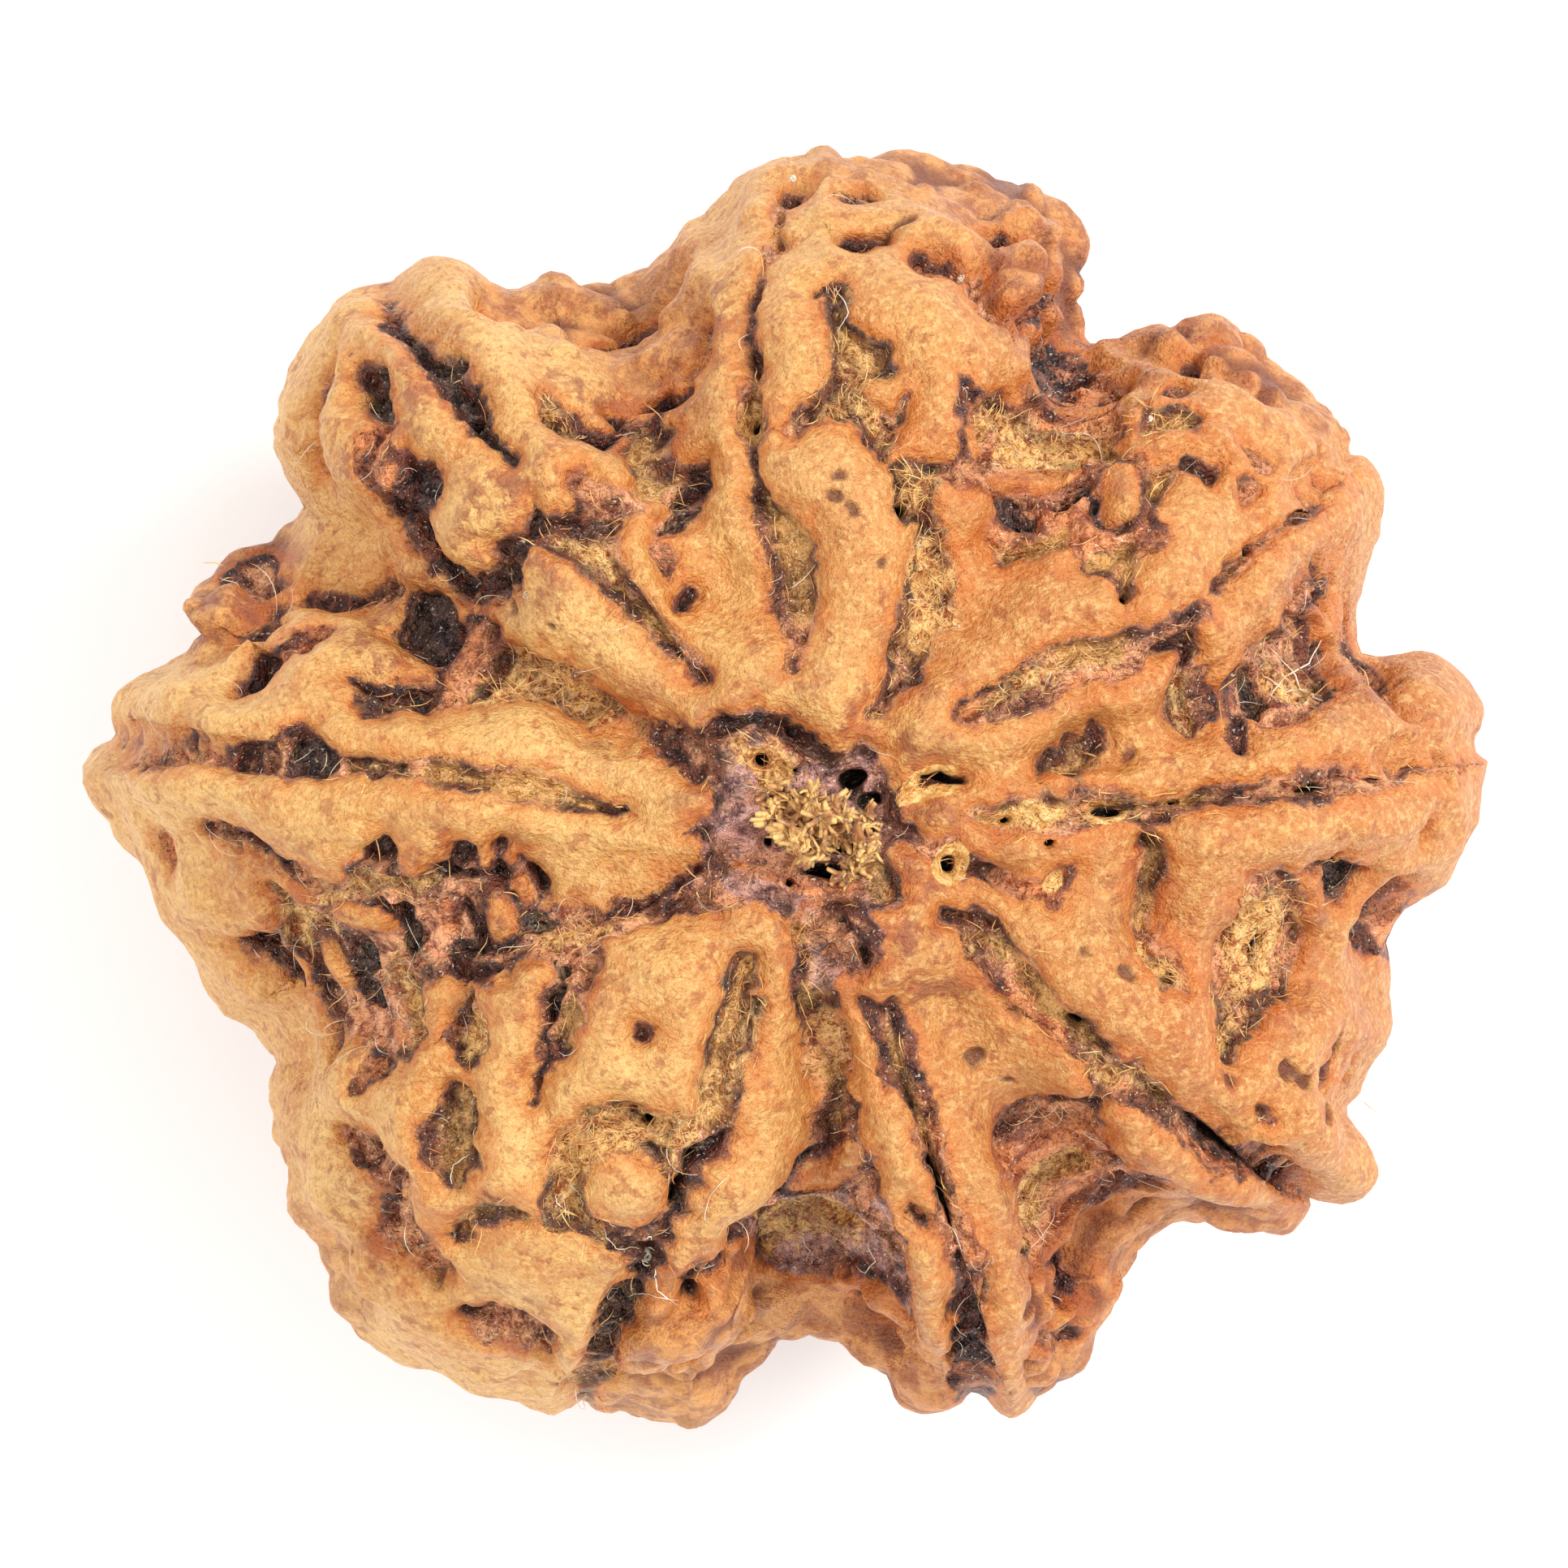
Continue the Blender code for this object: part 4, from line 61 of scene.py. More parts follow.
NODE = "rudraksha_seed"

# The form's dimensions, in millimetres, as in the solid
HEIGHT_ABOVE = 10.4
HEIGHT_BELOW = 10.9
FLAT_CUT = 0.13
POLE = (0.77, -0.68)
FULLNESS_ABOVE = 2.25
FULLNESS_BELOW = 2.45
HOLLOW_DEPTH = 0.9
HOLLOW_RADIUS = 3.2
MM = 0.001

# Where the outline's own shape shows, in degrees from the top pole
RIM_SHAPE_IN = (38.0, 76.0)
RIM_SHAPE_OUT = (100.0, 140.0)
RIM_SHAPE_LOST = 0.8
LOBE_EVENING = 10.0

# Valleys between the lobes: way round the pole in degrees, depth and half width in millimetres
VALLEYS = (
    (155, 1.9, 1.4),
    (114, 0.8, 1.2),
    (58, 1.2, 1.3),
    (17, 0.9, 1.0),
    (-18, 0.7, 1.0),
    (-58, 1.5, 1.4),
    (-92, 1.5, 1.3),
    (-165, 1.3, 1.4),
)
VALLEY_IN = (12.0, 30.0)
VALLEY_OUT = (128.0, 158.0)
VALLEY_LOST_AT_RIM = 0.85
VALLEY_RIM_LEAN = 15.0
VALLEY_PROFILE = 1.6

# Relief in millimetres: the floors of strokes and beds, the rear steps, and the edge of every recess
FLOOR_DEPTH = {"black": 1.15, "slate": 0.8, "plum": 0.95, "rust": 0.6, "olive": 1.0, "gold": 0.85}
BED_DEPTH = {"slate": 0.62, "plum": 0.66, "gold": 0.6, "olive": 0.75, "rust": 0.45}
FLOOR_ROUGHNESS = {"black": 0.13, "slate": 0.1, "plum": 0.14, "rust": 0.12, "olive": 0.04, "gold": 0.16}
FLOOR_WAVES = ((0.9, 0.5), (0.42, 0.45), (0.24, 0.3))
STEP_DEPTH = 0.5
STEP_SLOPE = 0.8
STEP_LUMP_HEIGHT = 0.4
STEP_LUMP_IN = (-0.2, 0.3)
SHOULDERS = ((0.25, 0.1), (0.8, 0.17), (2.4, 0.42))
WALL_WIDTH = 0.24
FOOT_GROOVE = 0.12
FOOT_GROOVE_AT = -0.2
FOOT_GROOVE_WIDTH = 0.1
FOOT_WAVES = ((1.7, 1.0),)
EDGE_WOBBLE = ((1.3, 0.06), (0.6, 0.06), (0.3, 0.03))
HOLE_DEPTH = 0.7
KIND_BLEND = 0.1
COLOUR_BLEND = 0.2
EDGE_REACH = 2.5
DEEPEST_EDGE = 0.5
WIDEST_STRETCH = 1.9
STEEPENING = 1.25
RIM_FADE = 0.8
RIM_FADE_LEAN = 8.5
SLIMMEST = 0.06
KNOB_COUNT = 1500
KNOBS_FROM = 42.0
KNOB_REACH = (0.4, 1.1)
KNOB_STANDING = (0.6, 1.0)
KNOB_HEIGHT = 0.42
KNOB_LEVEL = 0.5
RIM_KNOBS = 0.08
RIM_KNOBS_IN = (62.0, 76.0)
GROOVED = (-0.9, 0.7)

# Distances inside an edge, in millimetres, over which each kind of relief comes in
ROUGHNESS_IN = (-0.05, 0.12)
HOLE_IN = (-0.04, 0.06)
HOLE_WOBBLE = 0.5
PLUG_IN = (-0.15, 0.3)
GOLDEN_IN = (-0.12, 0.06)
DOT_IN = (-0.04, 0.08)
KNOBS_OUT = (-0.1, 0.2)

# The fine mesh
GRID = 250
FACES_WANTED = 190000
TOP_CROWDING = 0.28
TOP_FREEDOM = 0.5
TOP_KEPT_FINE = 0.001

# Outline from above, anticlockwise from the west lobe's tip
OUTLINE = (
    (-14.02, 0.07), (-13.38, -0.78), (-12.87, -1.6), (-12.56, -2.43), (-12.2, -3.35), (-11.84, -4.17),
    (-11.33, -4.64), (-10.76, -4.79), (-10.09, -5.41), (-10.22, -6.13), (-10.19, -7.06), (-9.93, -7.88),
    (-9.93, -8.49), (-9.37, -9.21), (-8.96, -10.24), (-8.35, -10.86), (-7.62, -11.37), (-7.0, -11.68),
    (-6.28, -11.99), (-5.36, -12.2), (-4.74, -12.5), (-4.12, -12.2), (-3.5, -12.45), (-2.99, -12.5),
    (-2.48, -12.63), (-1.91, -12.71), (-1.35, -12.5), (-0.96, -11.83), (-0.25, -11.22), (0.38, -11.09),
    (1.2, -11.38), (1.81, -11.78), (2.64, -12.35), (3.15, -12.5), (3.5, -12.3), (3.75, -12.04),
    (3.97, -12.35), (4.38, -12.6), (5.0, -12.4), (5.93, -11.58), (6.7, -10.55), (6.85, -10.04),
    (7.37, -9.26), (7.83, -8.85), (8.81, -8.96), (9.73, -8.8), (10.2, -8.39), (10.23, -8.03),
    (10.66, -8.08), (11.17, -8.09), (11.48, -7.77), (11.55, -7.24), (11.4, -6.8), (11.14, -6.5),
    (11.46, -6.17), (11.7, -5.6), (12.03, -5.2), (12.1, -4.8), (12.0, -4.1), (12.08, -3.05),
    (12.27, -2.57), (12.54, -2.24), (13.08, -1.98), (13.4, -1.44), (13.8, -0.2), (14.0, 0.55),
    (13.67, 0.77), (13.8, 1.2), (13.8, 1.57), (13.3, 2.4), (12.8, 2.7), (12.16, 2.8), (11.73, 2.8),
    (11.6, 3.46), (11.5, 4.0), (11.5, 4.85), (11.7, 5.93), (11.46, 6.49), (11.1, 6.57), (11.2, 7.0),
    (10.98, 7.38), (10.07, 8.0), (9.53, 8.59), (9.05, 9.1), (8.56, 9.4), (7.97, 9.48), (7.54, 9.4),
    (7.2, 9.15), (6.25, 8.99), (5.98, 8.88), (5.9, 9.42), (5.93, 10.6), (5.74, 10.87), (5.44, 11.5),
    (5.0, 11.9), (4.58, 12.1), (3.4, 12.19), (2.6, 12.49), (1.3, 12.6), (0.77, 12.75), (0.39, 12.57),
    (0.23, 12.38), (-0.09, 12.5), (-0.47, 12.43), (-0.9, 12.16), (-1.22, 11.68), (-1.55, 11.17),
    (-1.98, 11.06), (-2.73, 10.34), (-3.13, 10.07), (-4.07, 10.17), (-4.72, 10.25), (-5.3, 10.0),
    (-5.74, 9.93), (-6.06, 10.2), (-6.7, 10.4), (-7.14, 10.42), (-7.62, 10.17), (-7.73, 9.96),
    (-8.64, 9.77), (-9.02, 9.53), (-9.5, 8.91), (-9.99, 8.13), (-10.23, 7.7), (-10.34, 6.79),
    (-9.99, 6.25), (-9.66, 5.77), (-9.53, 5.55), (-9.93, 5.28), (-10.6, 5.07), (-11.06, 4.9),
    (-11.65, 4.53), (-12.03, 4.05), (-12.24, 3.56), (-12.19, 2.8), (-12.5, 2.27), (-13.0, 2.1),
    (-13.37, 1.68), (-13.48, 1.36), (-13.37, 1.09), (-13.29, 0.98), (-13.7, 0.71), (-13.99, 0.34),
)

# Recesses of the upper side, lobe by lobe: kind, then points (x, y, half width)
CROWN = (
    ("black", (-1.4, 1.05, 0.12), (-1.15, 1.2, 0.2), (-0.7, 1.3, 0.2), (-0.1, 1.1, 0.22), (0.35, 0.76, 0.2),
     (0.78, 0.5, 0.15), (1.38, 0.56, 0.15), (1.8, 0.6, 0.15)),
    ("slate", (-2.7, 1.05, 0.12), (-2.04, 0.7, 0.2), (-1.45, 0.35, 0.3), (-1.2, -0.15, 0.25),
     (-0.9, -0.55, 0.2)),
    ("slate", (-2.25, -1.0, 0.1), (-1.75, -0.85, 0.25), (-1.2, -0.95, 0.3), (-0.75, -0.95, 0.25)),
    ("black", (-1.3, -0.75, 0.12), (-1.05, -0.95, 0.16), (-0.65, -0.9, 0.12)),
    ("black", (-0.5, -1.5, 0.12), (-0.85, -1.52, 0.14), (-1.5, -1.58, 0.1), (-2.25, -1.8, 0.1)),
    ("slate", (1.7, 0.3, 0.2), (1.75, -0.25, 0.22), (1.75, -0.75, 0.25), (2.24, -0.95, 0.18),
     (2.5, -1.2, 0.1)),
    ("black", (1.12, -0.2, 0.12), (1.35, 0.1, 0.15)),
    ("black", (0.35, -1.6, 0.12), (0.8, -1.62, 0.2), (1.0, -1.45, 0.1)),
    ("rust", (0.0, -1.85, 0.15), (0.6, -2.05, 0.2), (1.2, -1.95, 0.2)),
    ("black", (0.9, -2.35, 0.18), (1.17, -2.75, 0.12), (1.55, -3.15, 0.14), (1.49, -3.6, 0.1)),
    ("gold", (-1.0, 0.8, 0.15), (-0.8, 0.5, 0.3), (-0.4, 0.45, 0.38), (-0.15, 0.15, 0.3)),
    ("gold", (1.55, -1.5, 0.2), (1.9, -2.03, 0.3)),
    ("slate", (-1.75, -1.4, 0.15), (-0.95, -1.87, 0.3), (0.0, -2.3, 0.25)),
)
WEST = (
    ("plum", (-13.1, 0.77, 0.12), (-12.35, 0.71, 0.2), (-11.6, 0.71, 0.2), (-10.9, 0.6, 0.2),
     (-10.3, 0.5, 0.22)),
    ("black", (-9.66, 1.2, 0.16), (-9.7, 0.71, 0.38), (-9.29, 0.5, 0.3)),
    ("gold", (-8.75, 0.5, 0.25), (-8.05, 0.44, 0.25), (-7.4, 0.34, 0.25)),
    ("olive", (-7.4, 0.34, 0.25), (-6.6, 0.23, 0.3), (-5.95, 0.18, 0.3), (-5.15, 0.01, 0.35),
     (-4.34, -0.15, 0.38), (-3.86, -0.36, 0.35), (-3.53, -0.58, 0.15)),
    ("black", (-3.3, -0.47, 0.2)),
    ("black", (-10.75, 2.54, 0.32), (-10.45, 2.75, 0.2)),
    ("rust", (-10.25, 2.86, 0.25), (-9.7, 3.02, 0.25), (-9.23, 3.29, 0.12)),
    ("black", (-7.67, 3.56, 0.25), (-7.24, 3.24, 0.4), (-7.03, 2.86, 0.25)),
    ("black", (-8.6, 2.38, 0.2), (-8.2, 2.27, 0.2), (-7.67, 2.16, 0.2), (-7.24, 2.27, 0.25),
     (-7.2, 1.84, 0.15)),
    ("olive", (-7.94, 1.84, 0.18), (-8.5, 2.0, 0.12)),
    ("plum", (-9.55, 4.1, 0.1), (-9.1, 4.0, 0.14), (-8.5, 4.05, 0.16), (-8.0, 3.9, 0.2)),
    ("gold", (-6.2, 2.0, 0.12), (-5.8, 2.27, 0.2), (-5.4, 2.27, 0.3), (-4.88, 2.06, 0.35),
     (-4.34, 1.84, 0.3), (-3.8, 1.57, 0.22), (-3.43, 1.4, 0.18)),
    ("plum", (-3.43, 1.4, 0.18), (-3.05, 1.2, 0.15), (-2.6, 1.14, 0.18), (-2.2, 0.77, 0.3),
     (-1.8, 0.44, 0.35)),
    ("plum", (-6.06, 2.8, 0.16)),
    ("plum", (-10.7, 4.58, 0.35), (-10.4, 4.26, 0.25)),
    ("plum", (-11.2, 4.3, 0.2)),
    ("plum", (-10.15, 3.94, 0.15), (-10.5, 3.67, 0.25), (-11.17, 3.35, 0.2), (-11.4, 3.08, 0.15)),
)
NORTH_WEST = (
    ("black", (-8.0, 9.6, 0.14), (-7.7, 9.2, 0.15), (-7.24, 8.7, 0.2), (-6.75, 8.2, 0.3), (-6.35, 7.7, 0.3),
     (-6.2, 7.3, 0.22), (-5.95, 6.95, 0.22), (-5.5, 6.5, 0.12)),
    ("plum", (-9.3, 8.5, 0.12), (-9.4, 8.0, 0.2), (-9.6, 7.6, 0.18), (-9.65, 7.0, 0.08), (-9.65, 6.5, 0.12),
     (-9.5, 6.0, 0.08)),
    ("black", (-8.6, 8.4, 0.15), (-8.4, 8.15, 0.28), (-8.35, 7.7, 0.25), (-8.15, 7.3, 0.15)),
    ("rust", (-8.2, 7.0, 0.2), (-8.3, 6.4, 0.2)),
    ("black", (-7.7, 6.4, 0.2), (-7.5, 6.0, 0.35), (-7.73, 5.34, 0.3), (-8.05, 5.23, 0.25),
     (-8.3, 5.4, 0.12)),
    ("black", (-7.73, 5.34, 0.3), (-7.46, 4.8, 0.2), (-7.24, 4.3, 0.22), (-6.95, 3.85, 0.3),
     (-6.5, 3.6, 0.35), (-6.06, 3.67, 0.25), (-5.7, 4.1, 0.25), (-5.74, 4.48, 0.3), (-5.3, 4.8, 0.2),
     (-4.99, 5.23, 0.25), (-5.04, 5.5, 0.15)),
    ("black", (-4.72, 5.28, 0.2), (-4.07, 5.07, 0.3), (-3.53, 5.34, 0.25)),
    ("plum", (-4.13, 6.0, 0.2), (-3.96, 5.77, 0.2), (-3.64, 5.6, 0.15), (-3.27, 5.5, 0.12)),
    ("gold", (-4.72, 4.9, 0.3), (-4.3, 4.75, 0.3), (-3.64, 4.58, 0.35), (-3.5, 4.2, 0.35)),
    ("olive", (-3.5, 4.2, 0.35), (-3.32, 3.67, 0.3), (-2.9, 3.35, 0.3), (-2.57, 3.02, 0.3),
     (-2.4, 2.65, 0.3)),
    ("plum", (-2.4, 2.65, 0.3), (-2.03, 2.27, 0.25), (-1.7, 2.1, 0.12)),
    ("black", (-5.65, 9.7, 0.12), (-5.2, 9.5, 0.15)),
    ("gold", (-4.72, 7.8, 0.14), (-4.65, 7.4, 0.22), (-4.2, 7.2, 0.25)),
    ("black", (-4.05, 7.6, 0.12), (-3.96, 7.3, 0.14), (-3.6, 7.05, 0.16), (-3.25, 7.3, 0.15),
     (-3.2, 7.65, 0.12)),
    ("olive", (-2.84, 7.38, 0.25), (-2.73, 6.9, 0.4), (-2.57, 6.46, 0.5), (-2.67, 5.93, 0.35)),
    ("black", (-2.03, 6.36, 0.25), (-1.92, 6.03, 0.25), (-2.14, 5.66, 0.25)),
    ("black", (-2.35, 5.1, 0.1), (-2.14, 5.28, 0.2), (-1.92, 5.5, 0.12)),
    ("plum", (-2.46, 4.75, 0.12), (-2.2, 4.6, 0.18), (-2.2, 4.3, 0.12)),
    ("black", (-1.87, 3.78, 0.22), (-1.7, 4.1, 0.12)),
    ("black", (-2.8, 7.85, 0.1), (-2.5, 7.8, 0.14), (-2.3, 7.9, 0.08)),
    ("plum", (-1.9, 9.25, 0.12), (-1.82, 8.9, 0.12), (-2.0, 8.5, 0.1), (-2.2, 8.3, 0.08)),
    ("plum", (-3.53, 9.26, 0.1), (-3.1, 9.6, 0.12)),
)
NORTH = (
    ("plum", (0.07, 12.06, 0.15), (-0.31, 11.46, 0.1), (-0.36, 10.93, 0.1), (-0.63, 10.39, 0.08),
     (-0.77, 9.85, 0.08), (-0.85, 9.31, 0.1), (-0.9, 8.56, 0.15), (-0.87, 8.02, 0.18)),
    ("olive", (-0.87, 8.02, 0.18), (-0.9, 7.49, 0.22), (-0.85, 7.22, 0.22), (-0.85, 6.73, 0.2),
     (-0.82, 6.25, 0.15), (-0.69, 5.77, 0.15), (-0.47, 5.4, 0.25)),
    ("olive", (-0.47, 5.4, 0.25), (-0.2, 5.0, 0.4), (-0.04, 4.58, 0.45), (0.07, 3.99, 0.45),
     (0.17, 3.46, 0.4), (0.17, 3.08, 0.3)),
    ("rust", (0.17, 3.08, 0.3), (0.17, 2.8, 0.25), (0.07, 2.3, 0.15)),
    ("olive", (0.87, 9.74, 0.25), (0.95, 9.2, 0.22), (1.2, 8.67, 0.25), (1.68, 8.35, 0.3)),
    ("gold", (1.09, 8.02, 0.3), (1.03, 7.6, 0.25), (1.41, 7.49, 0.25), (1.79, 7.0, 0.2),
     (1.84, 6.63, 0.15)),
    ("plum", (0.34, 7.38, 0.2), (-0.04, 7.1, 0.15)),
    ("black", (2.33, 7.75, 0.12), (2.4, 7.5, 0.15), (2.1, 7.2, 0.2), (1.9, 7.45, 0.15)),
    ("rust", (3.24, 7.9, 0.15), (3.5, 7.8, 0.25), (3.8, 7.7, 0.15)),
    ("black", (2.33, 6.46, 0.12), (2.8, 6.4, 0.13), (3.3, 6.2, 0.15)),
    ("rust", (2.65, 10.7, 0.12), (2.8, 10.39, 0.2), (3.13, 10.39, 0.2), (3.3, 10.17, 0.15)),
    ("plum", (3.83, 10.39, 0.15), (3.78, 9.85, 0.15), (4.05, 9.53, 0.2), (4.37, 9.47, 0.12)),
    ("black", (4.48, 11.36, 0.3), (4.8, 11.25, 0.15)),
    ("rust", (4.7, 9.4, 0.12), (4.75, 8.94, 0.12)),
    ("rust", (5.1, 9.3, 0.15), (5.4, 9.47, 0.2), (5.75, 9.6, 0.1)),
    ("black", (5.28, 8.18, 0.2), (5.6, 8.4, 0.25), (5.8, 8.56, 0.15)),
    ("plum", (1.14, 11.03, 0.12), (1.8, 11.1, 0.08)),
    ("plum", (1.2, 11.84, 0.15), (1.46, 12.0, 0.12)),
)
NORTH_EAST = (
    ("gold", (4.05, 7.1, 0.35), (4.48, 7.38, 0.25), (4.74, 7.2, 0.25), (4.6, 6.7, 0.4), (5.3, 6.9, 0.35),
     (5.7, 6.95, 0.25), (6.25, 6.8, 0.15)),
    ("black", (3.95, 7.1, 0.3)),
    ("black", (6.25, 7.86, 0.15)),
    ("plum", (4.05, 6.3, 0.12), (4.37, 6.14, 0.12), (4.9, 6.25, 0.2)),
    ("black", (5.23, 5.8, 0.12), (5.7, 6.1, 0.15), (5.87, 5.8, 0.15), (5.98, 5.55, 0.14),
     (6.5, 5.28, 0.14)),
    ("black", (4.48, 5.34, 0.3), (4.6, 5.66, 0.15)),
    ("olive", (4.26, 4.64, 0.18), (4.64, 4.8, 0.2), (5.07, 5.0, 0.2), (5.17, 5.23, 0.15)),
    ("olive", (5.87, 4.53, 0.3), (6.25, 4.58, 0.25), (6.68, 4.8, 0.2), (6.73, 4.4, 0.2), (6.68, 4.0, 0.2),
     (6.63, 3.67, 0.15)),
    ("gold", (2.38, 6.25, 0.3), (2.43, 5.77, 0.3), (2.8, 5.5, 0.25), (2.9, 4.96, 0.3), (3.0, 4.4, 0.42),
     (2.8, 3.9, 0.45), (2.8, 3.35, 0.45), (2.6, 2.8, 0.35)),
    ("plum", (2.6, 2.8, 0.35), (2.3, 2.38, 0.25), (2.06, 1.95, 0.22), (1.9, 1.57, 0.22), (1.6, 1.3, 0.15)),
    ("plum", (7.8, 8.94, 0.3), (7.65, 8.7, 0.2), (7.97, 8.5, 0.15)),
    ("plum", (8.45, 9.15, 0.16)),
    ("plum", (7.6, 7.9, 0.2)),
    ("gold", (7.06, 7.1, 0.15), (7.43, 7.33, 0.25), (7.86, 7.27, 0.2)),
    ("plum", (7.97, 6.5, 0.15), (8.4, 6.25, 0.15)),
    ("gold", (7.43, 6.36, 0.25), (7.27, 5.93, 0.15)),
    ("plum", (9.2, 6.57, 0.14), (9.4, 6.4, 0.15)),
    ("plum", (9.25, 5.98, 0.25)),
    ("plum", (11.0, 6.25, 0.15), (10.66, 5.77, 0.25), (10.3, 5.44, 0.15), (9.9, 5.07, 0.1),
     (9.26, 4.69, 0.14), (9.05, 4.3, 0.18), (8.45, 3.83, 0.14), (8.02, 3.5, 0.1), (7.65, 3.19, 0.14),
     (7.3, 2.97, 0.12), (6.95, 2.97, 0.15)),
    ("olive", (6.95, 2.97, 0.15), (6.25, 2.7, 0.3), (5.7, 2.6, 0.35), (5.07, 2.27, 0.4)),
    ("gold", (5.07, 2.27, 0.4), (4.37, 2.0, 0.35), (3.88, 1.73, 0.3)),
    ("rust", (3.88, 1.73, 0.3), (3.5, 1.4, 0.2), (3.2, 1.3, 0.12)),
    ("black", (7.8, 2.76, 0.25), (7.2, 2.6, 0.15)),
    ("black", (7.9, 2.38, 0.2)),
)
EAST = (
    ("plum", (10.66, 4.26, 0.12), (10.87, 3.72, 0.15), (10.4, 3.67, 0.15), (10.17, 3.24, 0.2),
     (10.4, 2.8, 0.25), (9.85, 2.54, 0.35), (9.3, 2.54, 0.2)),
    ("gold", (9.8, 2.1, 0.4), (10.3, 2.27, 0.25), (10.6, 2.16, 0.2)),
    ("black", (9.3, 2.06, 0.2), (9.2, 1.68, 0.15)),
    ("plum", (9.7, 1.5, 0.2), (10.1, 1.57, 0.15)),
    ("rust", (8.8, 1.8, 0.2), (8.94, 1.03, 0.15)),
    ("gold", (7.86, 1.8, 0.2), (7.9, 1.4, 0.25)),
    ("plum", (11.3, 3.35, 0.12), (11.46, 2.8, 0.2), (11.7, 2.3, 0.15), (12.2, 1.84, 0.12)),
    ("olive", (5.98, 0.87, 0.22), (5.4, 0.55, 0.22), (4.9, 0.4, 0.14)),
    ("plum", (6.25, 0.7, 0.16)),
    ("plum", (13.2, 0.55, 0.1), (12.8, 0.4, 0.15), (12.16, 0.23, 0.2), (11.6, 0.18, 0.2),
     (10.98, 0.23, 0.2), (10.4, -0.1, 0.25), (9.85, -0.04, 0.25), (9.2, -0.1, 0.2), (8.56, -0.04, 0.22)),
    ("olive", (8.56, -0.04, 0.22), (7.97, -0.2, 0.2), (7.4, -0.25, 0.2), (6.8, -0.25, 0.25),
     (6.3, -0.36, 0.3), (5.7, -0.3, 0.3)),
    ("gold", (5.7, -0.3, 0.3), (4.9, -0.52, 0.3), (4.26, -0.68, 0.25), (3.78, -0.63, 0.2)),
    ("plum", (7.4, -0.63, 0.2)),
    ("olive", (2.5, 0.01, 0.14), (3.0, 0.12, 0.17), (3.45, 0.18, 0.12)),
    ("plum", (12.75, -0.95, 0.1)),
    ("black", (10.4, -1.8, 0.15), (10.9, -1.8, 0.25), (11.2, -2.2, 0.2), (10.87, -2.08, 0.15)),
    ("plum", (11.9, -2.35, 0.2), (11.6, -2.7, 0.2), (11.8, -3.1, 0.25)),
    ("plum", (9.3, -2.14, 0.35), (9.7, -2.03, 0.25), (10.1, -2.6, 0.25), (10.2, -3.37, 0.2),
     (9.8, -3.75, 0.3)),
    ("gold", (9.5, -2.8, 0.5), (9.5, -3.37, 0.6)),
    ("plum", (8.9, -3.5, 0.35), (8.8, -3.8, 0.2), (9.3, -4.2, 0.3), (9.37, -4.5, 0.2)),
    ("gold", (9.0, -4.77, 0.25), (8.94, -5.2, 0.25)),
    ("olive", (7.2, -1.28, 0.2), (7.3, -1.7, 0.2), (7.16, -2.3, 0.16), (7.1, -2.67, 0.14)),
    ("gold", (7.1, -3.1, 0.16), (7.4, -3.37, 0.25), (7.65, -3.75, 0.2)),
    ("rust", (5.28, -1.92, 0.25), (5.2, -2.2, 0.15)),
    ("plum", (2.38, -1.1, 0.14), (2.76, -1.22, 0.14), (3.24, -1.55, 0.3), (3.67, -1.7, 0.2),
     (4.1, -1.8, 0.15), (4.37, -2.03, 0.15)),
)
SOUTH_EAST = (
    ("plum", (3.13, -2.73, 0.15), (3.67, -2.6, 0.2), (4.1, -2.67, 0.2)),
    ("gold", (3.56, -3.2, 0.2), (4.1, -3.16, 0.35), (4.26, -3.6, 0.35)),
    ("olive", (4.26, -3.6, 0.35), (4.64, -4.07, 0.35), (5.07, -4.5, 0.3), (5.55, -4.77, 0.25),
     (5.98, -5.15, 0.25), (6.25, -5.36, 0.2)),
    ("gold", (6.0, -5.47, 0.25), (6.25, -5.74, 0.25), (6.68, -5.63, 0.2), (7.0, -6.0, 0.16),
     (7.4, -6.35, 0.16), (7.9, -6.7, 0.16)),
    ("black", (7.9, -6.7, 0.16), (8.4, -7.08, 0.18), (8.94, -7.35, 0.18), (9.43, -7.67, 0.15),
     (9.94, -7.98, 0.14)),
    ("plum", (4.4, -6.57, 0.08), (5.0, -6.44, 0.08), (6.0, -6.3, 0.1)),
    ("plum", (4.64, -6.7, 0.3), (5.17, -6.8, 0.35), (5.7, -6.65, 0.35)),
    ("rust", (4.5, -7.1, 0.2), (5.17, -7.2, 0.3), (5.9, -7.36, 0.3), (6.25, -7.46, 0.25)),
    ("plum", (11.28, -6.03, 0.2)),
    ("plum", (9.4, -6.6, 0.2)),
    ("gold", (5.5, -7.8, 0.3), (5.1, -8.3, 0.25), (5.3, -8.7, 0.3), (5.0, -9.1, 0.15)),
    ("black", (5.93, -9.3, 0.15), (5.95, -9.8, 0.15), (5.9, -10.3, 0.1)),
    ("plum", (5.4, -11.05, 0.12), (5.9, -11.1, 0.12)),
    ("plum", (8.2, -8.45, 0.16), (8.4, -8.6, 0.12)),
    ("rust", (10.66, -5.74, 0.2)),
)
